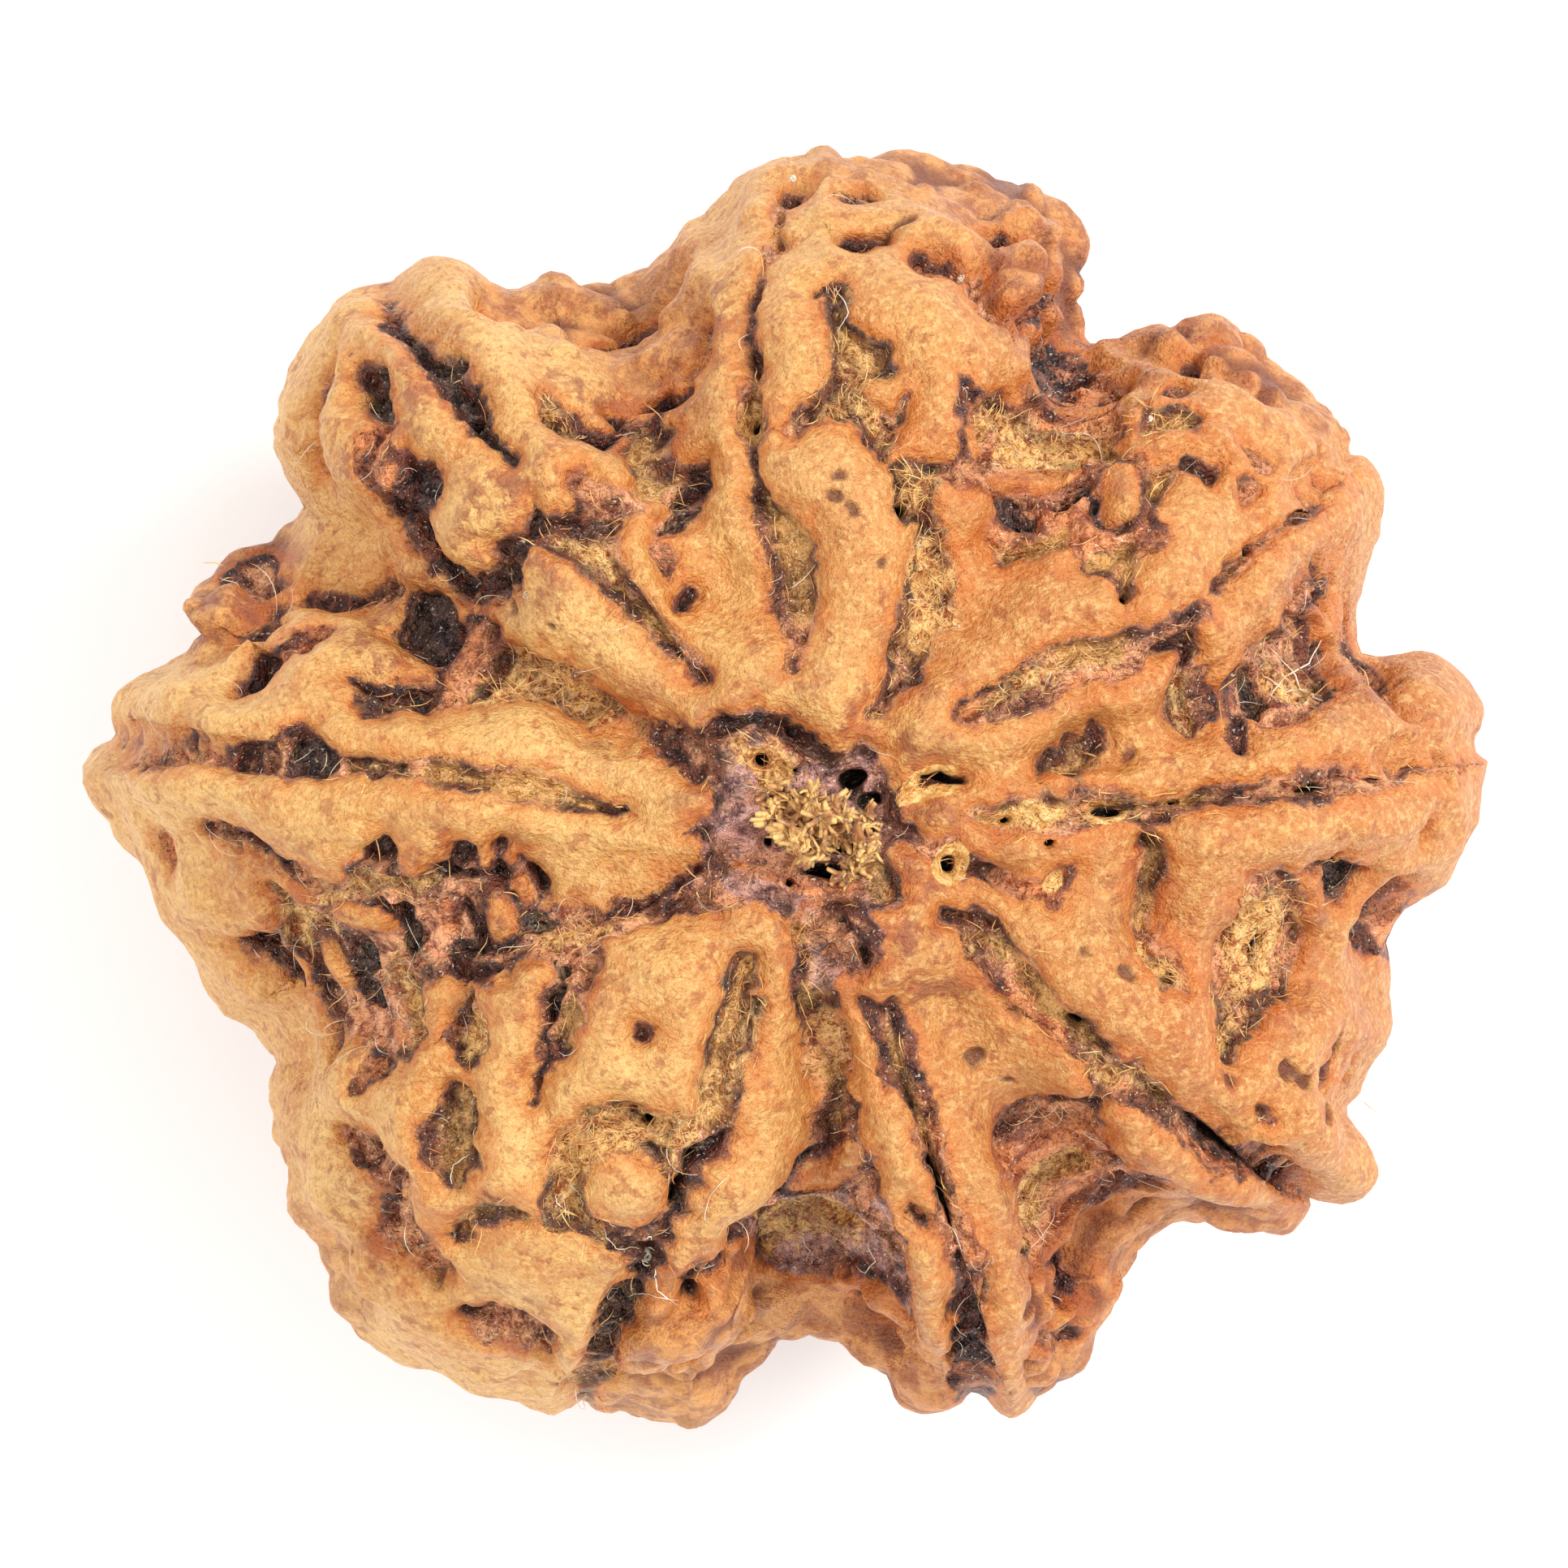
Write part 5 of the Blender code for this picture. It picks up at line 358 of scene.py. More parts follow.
SOUTH = (
    ("plum", (0.77, -2.84, 0.3), (0.87, -3.37, 0.3), (1.2, -3.75, 0.2)),
    ("black", (1.5, -3.2, 0.15)),
    ("plum", (1.57, -4.34, 0.2), (1.95, -4.5, 0.3), (1.95, -4.88, 0.35)),
    ("olive", (1.95, -4.88, 0.35), (2.1, -5.3, 0.3), (2.2, -5.74, 0.3), (2.38, -6.1, 0.25),
     (2.54, -6.44, 0.22), (2.76, -6.6, 0.25), (2.86, -7.0, 0.25), (2.97, -7.2, 0.15)),
    ("gold", (2.97, -7.2, 0.15), (3.05, -7.78, 0.2), (3.2, -8.6, 0.18)),
    ("plum", (3.2, -8.6, 0.18), (3.36, -9.42, 0.2), (3.51, -10.25, 0.2)),
    ("black", (3.51, -10.25, 0.2), (3.51, -11.17, 0.2), (3.6, -11.69, 0.2), (3.65, -12.0, 0.12)),
    ("gold", (0.23, -2.6, 0.15), (0.17, -3.27, 0.16), (0.34, -3.48, 0.12), (0.28, -4.2, 0.14),
     (0.6, -4.7, 0.22), (0.72, -5.3, 0.25)),
    ("olive", (0.72, -5.3, 0.25), (0.77, -5.95, 0.25), (0.77, -6.5, 0.25), (0.71, -6.7, 0.16),
     (0.66, -7.1, 0.14)),
    ("plum", (1.0, -6.4, 0.2)),
    ("black", (0.7, -7.1, 0.15), (0.55, -7.35, 0.2), (0.3, -7.75, 0.22), (0.1, -8.2, 0.3),
     (-0.25, -8.3, 0.12)),
    ("plum", (1.3, -7.45, 0.14), (1.35, -7.8, 0.3), (1.1, -8.15, 0.25), (1.2, -8.55, 0.3), (1.6, -8.9, 0.3),
     (1.45, -9.35, 0.35), (1.75, -9.5, 0.35), (1.85, -10.0, 0.25), (1.9, -10.35, 0.14)),
    ("gold", (0.5, -8.6, 0.3), (0.35, -9.05, 0.35), (0.2, -9.6, 0.3)),
    ("plum", (-0.95, -8.8, 0.12), (-0.6, -8.9, 0.25), (-0.3, -8.8, 0.25), (-0.1, -8.5, 0.25)),
    ("black", (1.1, -10.5, 0.2), (1.2, -10.75, 0.3), (1.45, -10.95, 0.25)),
    ("plum", (2.3, -8.5, 0.16), (2.5, -8.65, 0.2), (2.6, -8.8, 0.12)),
    ("plum", (3.95, -9.7, 0.14), (3.92, -10.3, 0.1)),
    ("gold", (-1.7, -9.6, 0.2), (-1.95, -10.1, 0.15), (-1.9, -10.4, 0.15)),
    ("plum", (-1.4, -9.8, 0.2), (-0.95, -9.6, 0.2)),
    ("black", (-1.85, -11.6, 0.28)),
    ("plum", (-2.45, -12.2, 0.15)),
)
SOUTH_WEST = (
    ("gold", (-0.74, -3.6, 0.25), (-0.85, -4.1, 0.35), (-1.0, -4.66, 0.42)),
    ("olive", (-1.0, -4.66, 0.42), (-1.17, -5.2, 0.42), (-1.33, -5.74, 0.4), (-1.44, -6.2, 0.4),
     (-1.38, -6.65, 0.35)),
    ("black", (-1.22, -7.03, 0.25), (-1.87, -7.35, 0.25), (-2.06, -7.67, 0.3), (-2.17, -8.08, 0.3),
     (-2.4, -8.7, 0.2), (-2.7, -9.1, 0.35), (-2.9, -9.73, 0.22), (-3.15, -10.3, 0.15), (-3.45, -10.75, 0.2),
     (-3.65, -11.2, 0.18), (-3.95, -11.85, 0.15)),
    ("plum", (-2.5, -9.0, 0.2), (-2.9, -9.0, 0.25), (-3.4, -8.95, 0.25), (-3.9, -8.7, 0.15)),
    ("gold", (-2.14, -6.44, 0.14), (-2.46, -6.87, 0.25), (-2.8, -6.76, 0.25), (-3.4, -6.65, 0.32),
     (-3.8, -6.65, 0.3), (-4.1, -6.9, 0.3), (-4.45, -7.3, 0.3), (-4.5, -7.8, 0.32), (-4.35, -8.3, 0.25),
     (-4.1, -8.7, 0.14)),
    ("black", (-3.0, -7.2, 0.12), (-2.57, -7.4, 0.2)),
    ("plum", (-2.9, -4.9, 0.24)),
    ("black", (-4.56, -3.48, 0.14), (-4.56, -4.0, 0.2), (-4.77, -4.4, 0.15), (-4.93, -4.88, 0.14),
     (-4.88, -5.3, 0.15), (-5.1, -5.74, 0.15), (-5.15, -6.28, 0.12)),
    ("olive", (-4.29, -4.29, 0.25), (-4.45, -4.77, 0.3), (-4.6, -5.15, 0.2)),
    ("plum", (-4.07, -3.9, 0.15), (-3.9, -3.48, 0.2), (-4.29, -3.27, 0.25)),
    ("black", (-6.55, -4.07, 0.2), (-6.7, -4.45, 0.2)),
    ("gold", (-6.44, -4.77, 0.4), (-6.5, -5.15, 0.35)),
    ("olive", (-6.75, -6.1, 0.25), (-6.6, -6.7, 0.35), (-6.55, -7.3, 0.35), (-6.6, -7.7, 0.15)),
    ("plum", (-7.9, -8.45, 0.22), (-8.0, -8.8, 0.35), (-7.9, -9.1, 0.3), (-7.6, -9.4, 0.28),
     (-7.3, -9.65, 0.22), (-7.1, -9.75, 0.15)),
    ("gold", (-5.3, -8.45, 0.14), (-5.5, -8.35, 0.16), (-5.9, -8.35, 0.2), (-6.25, -8.45, 0.18),
     (-6.5, -8.85, 0.18), (-6.65, -9.0, 0.12)),
    ("plum", (-6.6, -10.72, 0.06), (-6.3, -10.8, 0.12), (-5.8, -10.85, 0.2), (-5.4, -11.0, 0.25),
     (-5.1, -11.1, 0.2), (-4.9, -11.5, 0.08)),
    ("plum", (-9.1, -6.85, 0.1), (-8.85, -7.1, 0.2), (-8.5, -7.4, 0.22), (-8.2, -7.6, 0.15),
     (-7.8, -7.75, 0.2)),
    ("black", (-9.05, -9.6, 0.1), (-9.0, -9.85, 0.08)),
)
SOUTH_WEST_VALLEY = (
    ("black", (-5.95, -3.05, 0.15), (-5.5, -2.84, 0.2), (-4.99, -2.6, 0.2), (-4.29, -2.5, 0.16),
     (-3.53, -2.4, 0.16), (-3.0, -2.14, 0.16), (-2.46, -1.87, 0.16), (-1.92, -1.65, 0.16),
     (-1.5, -1.6, 0.2)),
    ("gold", (-4.77, -2.94, 0.35), (-4.3, -2.73, 0.3), (-3.86, -2.8, 0.25), (-3.2, -2.4, 0.2)),
    ("plum", (-3.2, -2.4, 0.2), (-2.67, -2.24, 0.18), (-1.92, -2.2, 0.2), (-1.44, -2.35, 0.15)),
    ("black", (-6.44, -1.44, 0.25), (-6.76, -1.87, 0.16), (-6.2, -2.03, 0.2), (-5.7, -2.0, 0.14),
     (-5.74, -1.33, 0.15)),
    ("black", (-5.3, -1.7, 0.12), (-4.99, -2.08, 0.14), (-5.25, -2.4, 0.15)),
    ("black", (-6.4, -2.6, 0.16), (-6.2, -3.05, 0.2), (-6.7, -3.1, 0.16), (-6.76, -3.5, 0.12),
     (-6.2, -3.5, 0.14), (-5.58, -3.5, 0.15)),
    ("plum", (-11.8, -1.06, 0.1), (-11.4, -1.1, 0.22), (-10.9, -1.28, 0.2), (-10.5, -1.55, 0.15),
     (-10.15, -1.7, 0.2), (-9.8, -1.8, 0.25), (-9.5, -2.1, 0.2), (-9.07, -2.2, 0.15)),
    ("rust", (-12.57, -1.4, 0.25)),
    ("gold", (-10.15, -2.4, 0.2), (-9.56, -2.94, 0.3), (-9.77, -3.27, 0.3)),
    ("gold", (-9.1, -2.4, 0.2), (-8.7, -2.24, 0.18), (-8.0, -1.87, 0.35), (-7.24, -2.14, 0.3)),
    ("black", (-8.2, -1.44, 0.25), (-7.94, -1.28, 0.15)),
    ("black", (-6.8, -1.9, 0.2)),
    ("black", (-7.67, -2.6, 0.25), (-7.6, -3.05, 0.25)),
    ("rust", (-6.9, -2.57, 0.3)),
    ("black", (-10.95, -3.37, 0.15), (-10.3, -3.43, 0.3), (-10.1, -3.8, 0.3)),
    ("plum", (-9.4, -3.37, 0.16), (-9.34, -3.8, 0.14), (-9.23, -4.34, 0.16), (-9.29, -4.6, 0.2),
     (-9.18, -5.04, 0.12)),
    ("black", (-8.64, -3.48, 0.3), (-8.75, -3.8, 0.25), (-8.4, -4.2, 0.15)),
    ("gold", (-7.9, -3.7, 0.3), (-7.8, -4.2, 0.3), (-7.6, -4.7, 0.25), (-7.8, -5.1, 0.2)),
    ("rust", (-8.05, -4.1, 0.2), (-7.94, -4.77, 0.3), (-8.3, -4.5, 0.15)),
    ("rust", (-8.3, -5.5, 0.2), (-8.7, -5.9, 0.14)),
)
UPPER_RECESSES = (
    CROWN, WEST, NORTH_WEST, NORTH, NORTH_EAST, EAST, SOUTH_EAST, SOUTH, SOUTH_WEST, SOUTH_WEST_VALLEY,
)

# Low beds between the ropes and plateaus of the upper side: kind, then the corners (x, y) of a closed outline
HOLLOWS = (
    ("plum", (-8.05, 9.8), (-8.02, 9.15), (-7.46, 8.67), (-7.14, 8.02), (-6.73, 7.54), (-6.33, 7.06),
     (-5.93, 6.65), (-5.4, 6.33), (-5.4, 6.49), (-5.52, 6.81), (-5.85, 7.22), (-6.17, 7.62), (-6.3, 8.19),
     (-6.5, 8.47), (-6.98, 8.71), (-7.38, 9.07), (-7.66, 9.4), (-7.78, 9.72)),
    ("plum", (-8.85, 8.55), (-8.65, 8.2), (-8.45, 7.7), (-8.15, 7.25), (-8.0, 7.15), (-8.05, 7.6),
     (-8.2, 7.9), (-8.22, 8.35), (-8.5, 8.42), (-8.7, 8.6)),
    ("rust", (-8.3, 7.3), (-8.7, 6.7), (-8.55, 6.2), (-8.4, 5.7), (-8.22, 5.44), (-8.18, 5.12),
     (-7.78, 5.08), (-7.46, 5.4), (-7.1, 5.69), (-7.14, 6.0), (-7.46, 6.35), (-7.86, 6.6), (-8.0, 7.1)),
    ("plum", (-1.66, 2.14), (-1.82, 2.54), (-2.22, 3.1), (-2.62, 3.67), (-2.87, 4.07), (-3.19, 4.48),
     (-3.35, 5.04), (-3.35, 5.28), (-2.94, 5.44), (-2.62, 5.56), (-2.94, 5.69), (-3.51, 5.85),
     (-3.91, 6.01), (-4.2, 6.09), (-4.23, 5.77), (-4.23, 5.24), (-4.64, 5.24), (-4.88, 5.44), (-5.04, 5.69),
     (-5.12, 5.12), (-5.36, 4.88), (-5.69, 4.72), (-6.17, 4.48), (-5.93, 4.23), (-6.17, 4.03),
     (-6.57, 4.03), (-6.98, 4.23), (-7.22, 4.48), (-7.78, 5.04), (-7.62, 4.48), (-7.38, 4.15),
     (-7.14, 3.83), (-6.73, 3.51), (-6.49, 3.39), (-6.0, 3.43), (-5.85, 3.67), (-5.52, 3.99), (-5.44, 4.23),
     (-5.04, 4.64), (-4.8, 4.6), (-4.23, 4.23), (-3.75, 3.75), (-3.35, 3.27), (-2.94, 2.78), (-2.62, 2.38),
     (-2.2, 2.1)),
    ("plum", (-7.86, 3.27), (-7.78, 3.59), (-7.38, 3.67), (-7.06, 3.43), (-6.73, 3.1), (-6.98, 2.72),
     (-7.22, 2.78), (-7.54, 3.02)),
    ("rust", (-7.0, 2.75), (-6.65, 3.16), (-6.2, 3.16), (-6.0, 2.9), (-5.63, 2.43), (-5.68, 2.16),
     (-6.0, 2.0), (-6.2, 1.68), (-7.0, 1.68)),
    ("gold", (-4.75, 7.9), (-4.78, 7.5), (-4.55, 7.12), (-4.05, 7.02), (-3.5, 7.05), (-3.2, 7.35),
     (-3.2, 7.7), (-3.4, 7.5), (-3.6, 7.25), (-3.9, 7.3), (-4.05, 7.55), (-4.2, 7.5), (-4.45, 7.75)),
    ("gold", (-3.0, 7.6), (-2.7, 7.5), (-2.45, 7.0), (-2.2, 6.65), (-1.85, 6.5), (-1.75, 6.1),
     (-1.95, 5.65), (-1.85, 5.4), (-1.9, 5.15), (-2.2, 5.05), (-2.35, 5.3), (-2.55, 5.6), (-2.8, 5.7),
     (-2.95, 6.0), (-2.95, 6.35), (-3.1, 6.9), (-3.2, 7.3)),
    ("rust", (-2.5, 4.88), (-2.06, 4.8), (-2.06, 4.3), (-2.22, 4.2), (-2.38, 4.5)),
    ("plum", (-0.5, 10.9), (-0.62, 10.1), (-0.72, 9.4), (-0.72, 8.6), (-0.66, 8.0), (-0.58, 7.1),
     (-0.66, 6.5), (-0.58, 6.1), (-0.33, 5.6), (0.12, 5.15), (0.38, 4.8), (0.42, 4.3), (0.5, 3.7),
     (0.53, 3.1), (0.38, 2.75), (0.1, 2.5), (-0.05, 2.7), (-0.3, 3.05), (-0.52, 3.65), (-0.64, 4.5),
     (-0.8, 5.1), (-0.82, 5.8), (-0.93, 6.4), (-1.1, 7.1), (-1.17, 7.55), (-1.05, 8.3), (-0.97, 8.9),
     (-0.85, 9.4), (-0.75, 10.1), (-0.62, 10.9)),
    ("gold", (0.85, 9.92), (1.22, 9.85), (1.3, 9.3), (1.28, 9.0), (1.55, 8.72), (2.0, 8.7), (2.02, 8.4),
     (1.8, 8.2), (1.6, 7.95), (1.65, 7.6), (1.9, 7.4), (2.15, 7.55), (2.35, 7.72), (2.48, 7.55),
     (2.3, 7.15), (2.13, 6.8), (2.1, 6.4), (1.95, 6.42), (1.75, 6.6), (1.55, 6.85), (1.38, 7.25),
     (1.0, 7.3), (0.7, 7.35), (0.45, 7.15), (0.0, 7.0), (0.0, 7.3), (0.35, 7.55), (0.6, 7.8), (0.75, 8.2),
     (0.8, 8.7), (0.7, 9.2), (0.65, 9.65)),
    ("gold", (2.0, 6.2), (2.55, 6.22), (3.15, 6.15), (3.55, 6.4), (3.5, 6.2), (3.1, 5.95), (3.03, 5.6),
     (3.07, 5.05), (3.28, 4.5), (3.42, 3.9), (3.3, 3.25), (3.0, 2.75), (2.6, 2.3), (2.25, 1.9), (1.95, 1.5),
     (1.6, 1.2), (1.5, 1.45), (1.8, 1.9), (2.0, 2.4), (2.15, 3.1), (2.3, 3.7), (2.47, 4.3), (2.65, 4.95),
     (2.3, 5.25), (2.08, 5.9)),
    ("rust", (3.2, 7.95), (3.5, 8.05), (3.85, 7.85), (4.1, 7.7), (4.5, 7.6), (4.9, 7.5), (5.1, 7.9),
     (5.25, 8.3), (5.5, 8.6), (5.9, 8.75), (6.15, 8.4), (6.5, 8.05), (6.4, 7.75), (6.6, 7.3), (6.4, 7.0),
     (6.2, 6.8), (6.9, 6.75), (7.3, 6.2), (7.6, 6.1), (7.3, 5.6), (7.5, 5.1), (7.4, 4.75), (7.0, 4.65),
     (6.85, 4.2), (6.8, 3.8), (6.7, 3.45), (6.55, 3.3), (6.5, 3.9), (6.1, 4.25), (5.6, 4.5), (5.3, 4.9),
     (4.9, 4.9), (4.5, 4.65), (4.1, 4.5), (4.0, 5.1), (4.15, 5.55), (3.9, 5.75), (3.4, 5.8), (3.3, 6.05),
     (3.5, 6.6), (3.4, 7.2), (3.3, 7.6)),
    ("gold", (6.8, 7.06), (6.9, 7.46), (7.2, 7.6), (7.4, 7.38), (7.95, 7.3), (7.95, 7.18), (7.55, 7.02),
     (7.2, 6.98)),
    ("plum", (7.8, 6.33), (8.36, 6.37), (8.5, 6.25), (8.27, 6.15)),
    ("plum", (3.12, 1.35), (3.28, 1.53), (3.6, 1.87), (3.95, 2.14), (4.45, 2.37), (5.0, 2.53), (5.3, 2.6),
     (5.77, 2.75), (6.1, 2.86), (6.6, 3.0), (7.06, 3.15), (7.7, 3.4), (8.1, 3.55), (8.9, 4.23), (9.3, 4.64),
     (9.97, 5.1), (10.4, 5.44), (10.9, 6.0), (11.2, 6.2), (11.1, 5.93), (10.45, 5.24), (9.65, 4.76),
     (9.1, 4.2), (8.25, 3.4), (7.97, 3.02), (7.9, 2.75), (8.03, 2.35), (8.5, 2.4), (8.24, 1.95),
     (8.67, 1.73), (8.73, 1.95), (9.0, 2.32), (9.1, 2.54), (9.64, 2.8), (10.0, 3.18), (10.28, 3.61),
     (10.6, 4.2), (10.85, 4.4), (10.95, 3.85), (10.95, 3.65), (10.45, 3.24), (10.55, 2.97), (10.5, 2.7),
     (10.6, 2.38), (10.88, 2.16), (10.8, 1.95), (10.45, 1.62), (10.07, 1.35), (9.7, 1.3), (9.3, 1.4),
     (9.05, 1.57), (8.56, 1.5), (8.03, 1.25), (7.8, 1.12), (7.66, 1.3), (7.7, 1.95), (7.72, 2.3),
     (7.55, 2.52), (7.27, 2.54), (6.84, 2.3), (6.4, 2.1), (5.98, 1.95), (5.55, 1.62), (5.17, 1.5),
     (4.73, 1.37), (4.17, 1.25), (3.5, 1.2)),
    ("plum", (-13.26, 0.98), (-12.94, 0.95), (-12.03, 0.9), (-11.33, 0.87), (-10.74, 0.9), (-10.3, 0.98),
     (-9.98, 1.22), (-9.82, 1.38), (-9.5, 1.35), (-9.4, 1.14), (-9.23, 0.98), (-8.8, 0.78), (-8.26, 0.74),
     (-7.73, 0.66), (-7.24, 0.6), (-6.8, 0.6), (-6.2, 0.55), (-5.47, 0.47), (-4.93, 0.33), (-4.4, 0.15),
     (-3.97, -0.02), (-3.54, -0.19), (-3.3, -0.44), (-3.25, -0.66), (-3.8, -0.68), (-4.4, -0.55),
     (-5.15, -0.47), (-5.68, -0.31), (-6.1, -0.2), (-6.5, -0.1), (-6.92, 0.01), (-7.4, 0.06), (-7.9, 0.09),
     (-8.1, 0.23), (-8.6, 0.28), (-9.18, 0.25), (-9.7, 0.2), (-10.15, 0.2), (-10.4, 0.33), (-10.74, 0.44),
     (-11.2, 0.47), (-12.13, 0.47), (-12.5, 0.36), (-12.9, 0.36), (-13.2, 0.58)),
    ("rust", (-10.9, 2.8), (-10.4, 3.02), (-9.98, 3.16), (-9.45, 3.32), (-9.12, 3.34), (-9.18, 3.24),
     (-9.45, 3.05), (-9.66, 2.83), (-10.04, 2.65), (-10.3, 2.5), (-10.5, 2.24), (-10.8, 2.24),
     (-10.95, 2.5)),
    ("olive", (-8.88, 2.19), (-8.7, 2.43), (-8.37, 2.27), (-7.94, 2.22), (-7.6, 2.32), (-7.3, 2.46),
     (-7.05, 2.43), (-7.0, 1.68), (-7.3, 1.68), (-7.83, 1.7), (-8.2, 1.76), (-8.6, 1.9)),
    ("gold", (-5.7, 2.4), (-5.15, 2.4), (-4.7, 2.5), (-4.4, 2.37), (-4.1, 2.1), (-3.77, 1.8), (-3.44, 1.53),
     (-3.05, 1.28), (-2.66, 1.26), (-2.27, 1.23), (-1.88, 1.14), (-1.5, 1.1), (-1.2, -0.35), (-1.4, -0.13),
     (-1.7, 0.09), (-2.05, 0.26), (-2.38, 0.53), (-2.7, 0.87), (-3.05, 1.03), (-3.44, 1.26), (-3.88, 1.42),
     (-4.27, 1.53), (-4.93, 1.62), (-5.36, 1.78), (-5.68, 1.8), (-6.0, 1.73), (-6.1, 2.05)),
    ("slate", (-1.6, 1.03), (-1.38, 1.2), (-1.05, 1.37), (-0.6, 1.42), (-0.27, 1.26), (0.0, 1.03),
     (0.4, 0.81), (0.73, 0.62), (1.06, 0.62), (1.4, 0.76), (1.73, 0.8), (1.9, 0.62), (1.8, 0.3),
     (1.95, -0.02), (2.15, -0.45), (2.2, -0.8), (2.15, -1.1), (1.95, -1.3), (1.95, -1.6), (2.2, -1.85),
     (2.2, -2.2), (1.9, -2.6), (1.0, -2.4), (0.2, -2.3), (-0.1, -2.15), (0.0, -2.0), (-0.5, -1.72),
     (-1.0, -1.62), (-1.5, -1.5), (-1.75, -1.25), (-2.1, -0.97), (-2.05, -0.84), (-1.6, -0.58),
     (-1.2, -0.4)),
    ("gold", (2.0, -0.08), (2.3, 0.09), (2.73, 0.2), (3.3, 0.26), (3.67, 0.17), (3.4, -0.02), (2.95, -0.13),
     (2.5, -0.19), (2.1, -0.3)),
    ("gold", (4.74, 0.36), (5.25, 0.66), (5.7, 0.98), (6.1, 1.05), (6.3, 0.85), (6.2, 0.55), (5.8, 0.34),
     (5.4, 0.28)),
    ("plum", (3.3, -0.55), (3.7, -0.42), (4.48, -0.18), (5.08, -0.08), (5.98, 0.01), (6.52, 0.04),
     (7.0, -0.04), (7.5, -0.1), (8.03, 0.01), (8.24, 0.15), (8.67, 0.17), (9.0, 0.01), (9.3, 0.01),
     (9.64, 0.17), (9.96, 0.23), (10.4, 0.33), (10.93, 0.47), (11.47, 0.36), (12.0, 0.42), (12.54, 0.42),
     (13.08, 0.55), (13.6, 0.62), (13.5, 0.3), (12.9, 0.1), (12.2, -0.08), (11.9, -0.16), (11.47, -0.15),
     (11.04, -0.26), (10.55, -0.47), (10.07, -0.42), (9.64, -0.34), (9.05, -0.26), (8.56, -0.37),
     (8.13, -0.47), (7.8, -0.63), (7.45, -0.87), (7.2, -1.0), (6.7, -0.74), (6.1, -0.78), (5.6, -0.95),
     (5.08, -1.0), (4.4, -0.95), (3.9, -0.88), (3.5, -0.75)),
    ("rust", (2.1, -0.78), (2.6, -1.04), (3.2, -1.12), (3.7, -1.38), (4.4, -1.8), (5.08, -1.9),
     (5.1, -1.75), (5.5, -1.7), (5.6, -2.1), (5.3, -2.35), (5.0, -2.2), (4.4, -2.1), (3.7, -1.9),
     (3.04, -1.84), (2.8, -1.46), (2.3, -1.2)),
    ("rust", (7.0, -1.1), (7.45, -1.15), (7.6, -1.7), (7.7, -1.95), (7.35, -2.25), (7.15, -2.6),
     (7.35, -3.0), (7.65, -3.1), (7.9, -3.6), (7.98, -4.05), (7.5, -3.98), (7.1, -3.65), (6.97, -3.2),
     (6.9, -2.6), (6.93, -1.9)),
    ("gold", (8.8, -2.06), (9.2, -1.97), (9.75, -2.06), (10.17, -2.4), (10.4, -2.8), (10.34, -3.4),
     (10.1, -3.75), (9.66, -4.1), (9.45, -4.43), (9.5, -4.77), (9.24, -5.2), (8.9, -5.37), (8.64, -5.1),
     (8.7, -4.5), (8.64, -4.0), (8.6, -3.5), (8.8, -3.07), (8.9, -2.57)),
    ("plum", (10.4, -1.9), (10.85, -1.7), (11.44, -1.6), (11.36, -2.06), (11.27, -2.3), (10.85, -2.14),
     (10.5, -2.06)),
    ("rust", (11.8, -2.4), (12.3, -2.3), (12.2, -2.9), (12.04, -3.5), (11.7, -3.33), (11.6, -2.8)),
    ("rust", (3.3, -3.0), (3.6, -3.67), (4.14, -4.35), (4.74, -4.86), (5.4, -5.28), (5.84, -5.6),
     (6.0, -6.1), (6.2, -6.25), (6.8, -6.4), (7.3, -6.7), (7.8, -7.2), (8.3, -7.66), (9.07, -7.83),
     (9.75, -8.1), (10.2, -8.17), (10.2, -8.0), (9.75, -7.57), (9.07, -7.3), (8.47, -6.9), (7.96, -6.47),
     (7.28, -6.1), (6.86, -5.6), (6.4, -5.2), (5.9, -4.7), (5.4, -4.18), (4.9, -3.67), (4.5, -3.07),
     (4.14, -2.8), (3.6, -2.8)),
    ("rust", (4.4, -6.5), (5.08, -6.47), (6.1, -6.3), (6.0, -6.7), (6.1, -7.07), (6.6, -7.5), (7.28, -7.83),
     (7.5, -8.15), (7.0, -8.3), (6.7, -8.34), (6.27, -8.6), (5.76, -8.93), (5.6, -9.27), (5.5, -9.5),
     (5.08, -9.7), (4.85, -9.1), (4.82, -8.4), (4.86, -7.83), (4.4, -7.57), (4.3, -7.07)),
    ("rust", (5.85, -9.3), (6.1, -9.6), (6.2, -9.9), (5.9, -10.4), (5.76, -9.95)),
    ("rust", (1.34, -4.18), (1.5, -4.77), (1.6, -5.7), (2.0, -6.13), (2.3, -6.55), (2.45, -7.07),
     (2.6, -7.57), (2.87, -8.08), (2.9, -8.6), (3.0, -9.0), (3.12, -9.5), (3.38, -10.0), (3.46, -10.5),
     (3.38, -11.0), (3.3, -11.5), (3.4, -12.2), (4.0, -12.2), (3.9, -11.1), (3.9, -10.4), (3.8, -9.9),
     (3.9, -9.27), (3.7, -8.7), (3.38, -8.1), (3.3, -7.4), (3.3, -6.8), (3.04, -6.2), (2.7, -5.5),
     (2.45, -4.86), (2.1, -4.43), (1.5, -4.1)),
    ("slate", (0.15, -2.3), (1.0, -2.1), (1.4, -2.25), (1.85, -2.8), (1.75, -3.4), (1.35, -3.8),
     (0.85, -3.9), (0.8, -4.7), (1.0, -5.2), (1.05, -5.9), (1.22, -6.4), (1.1, -6.8), (1.3, -7.1),
     (1.55, -7.4), (1.65, -7.9), (1.9, -8.5), (2.15, -9.0), (2.1, -9.6), (2.1, -10.3), (2.3, -10.8),
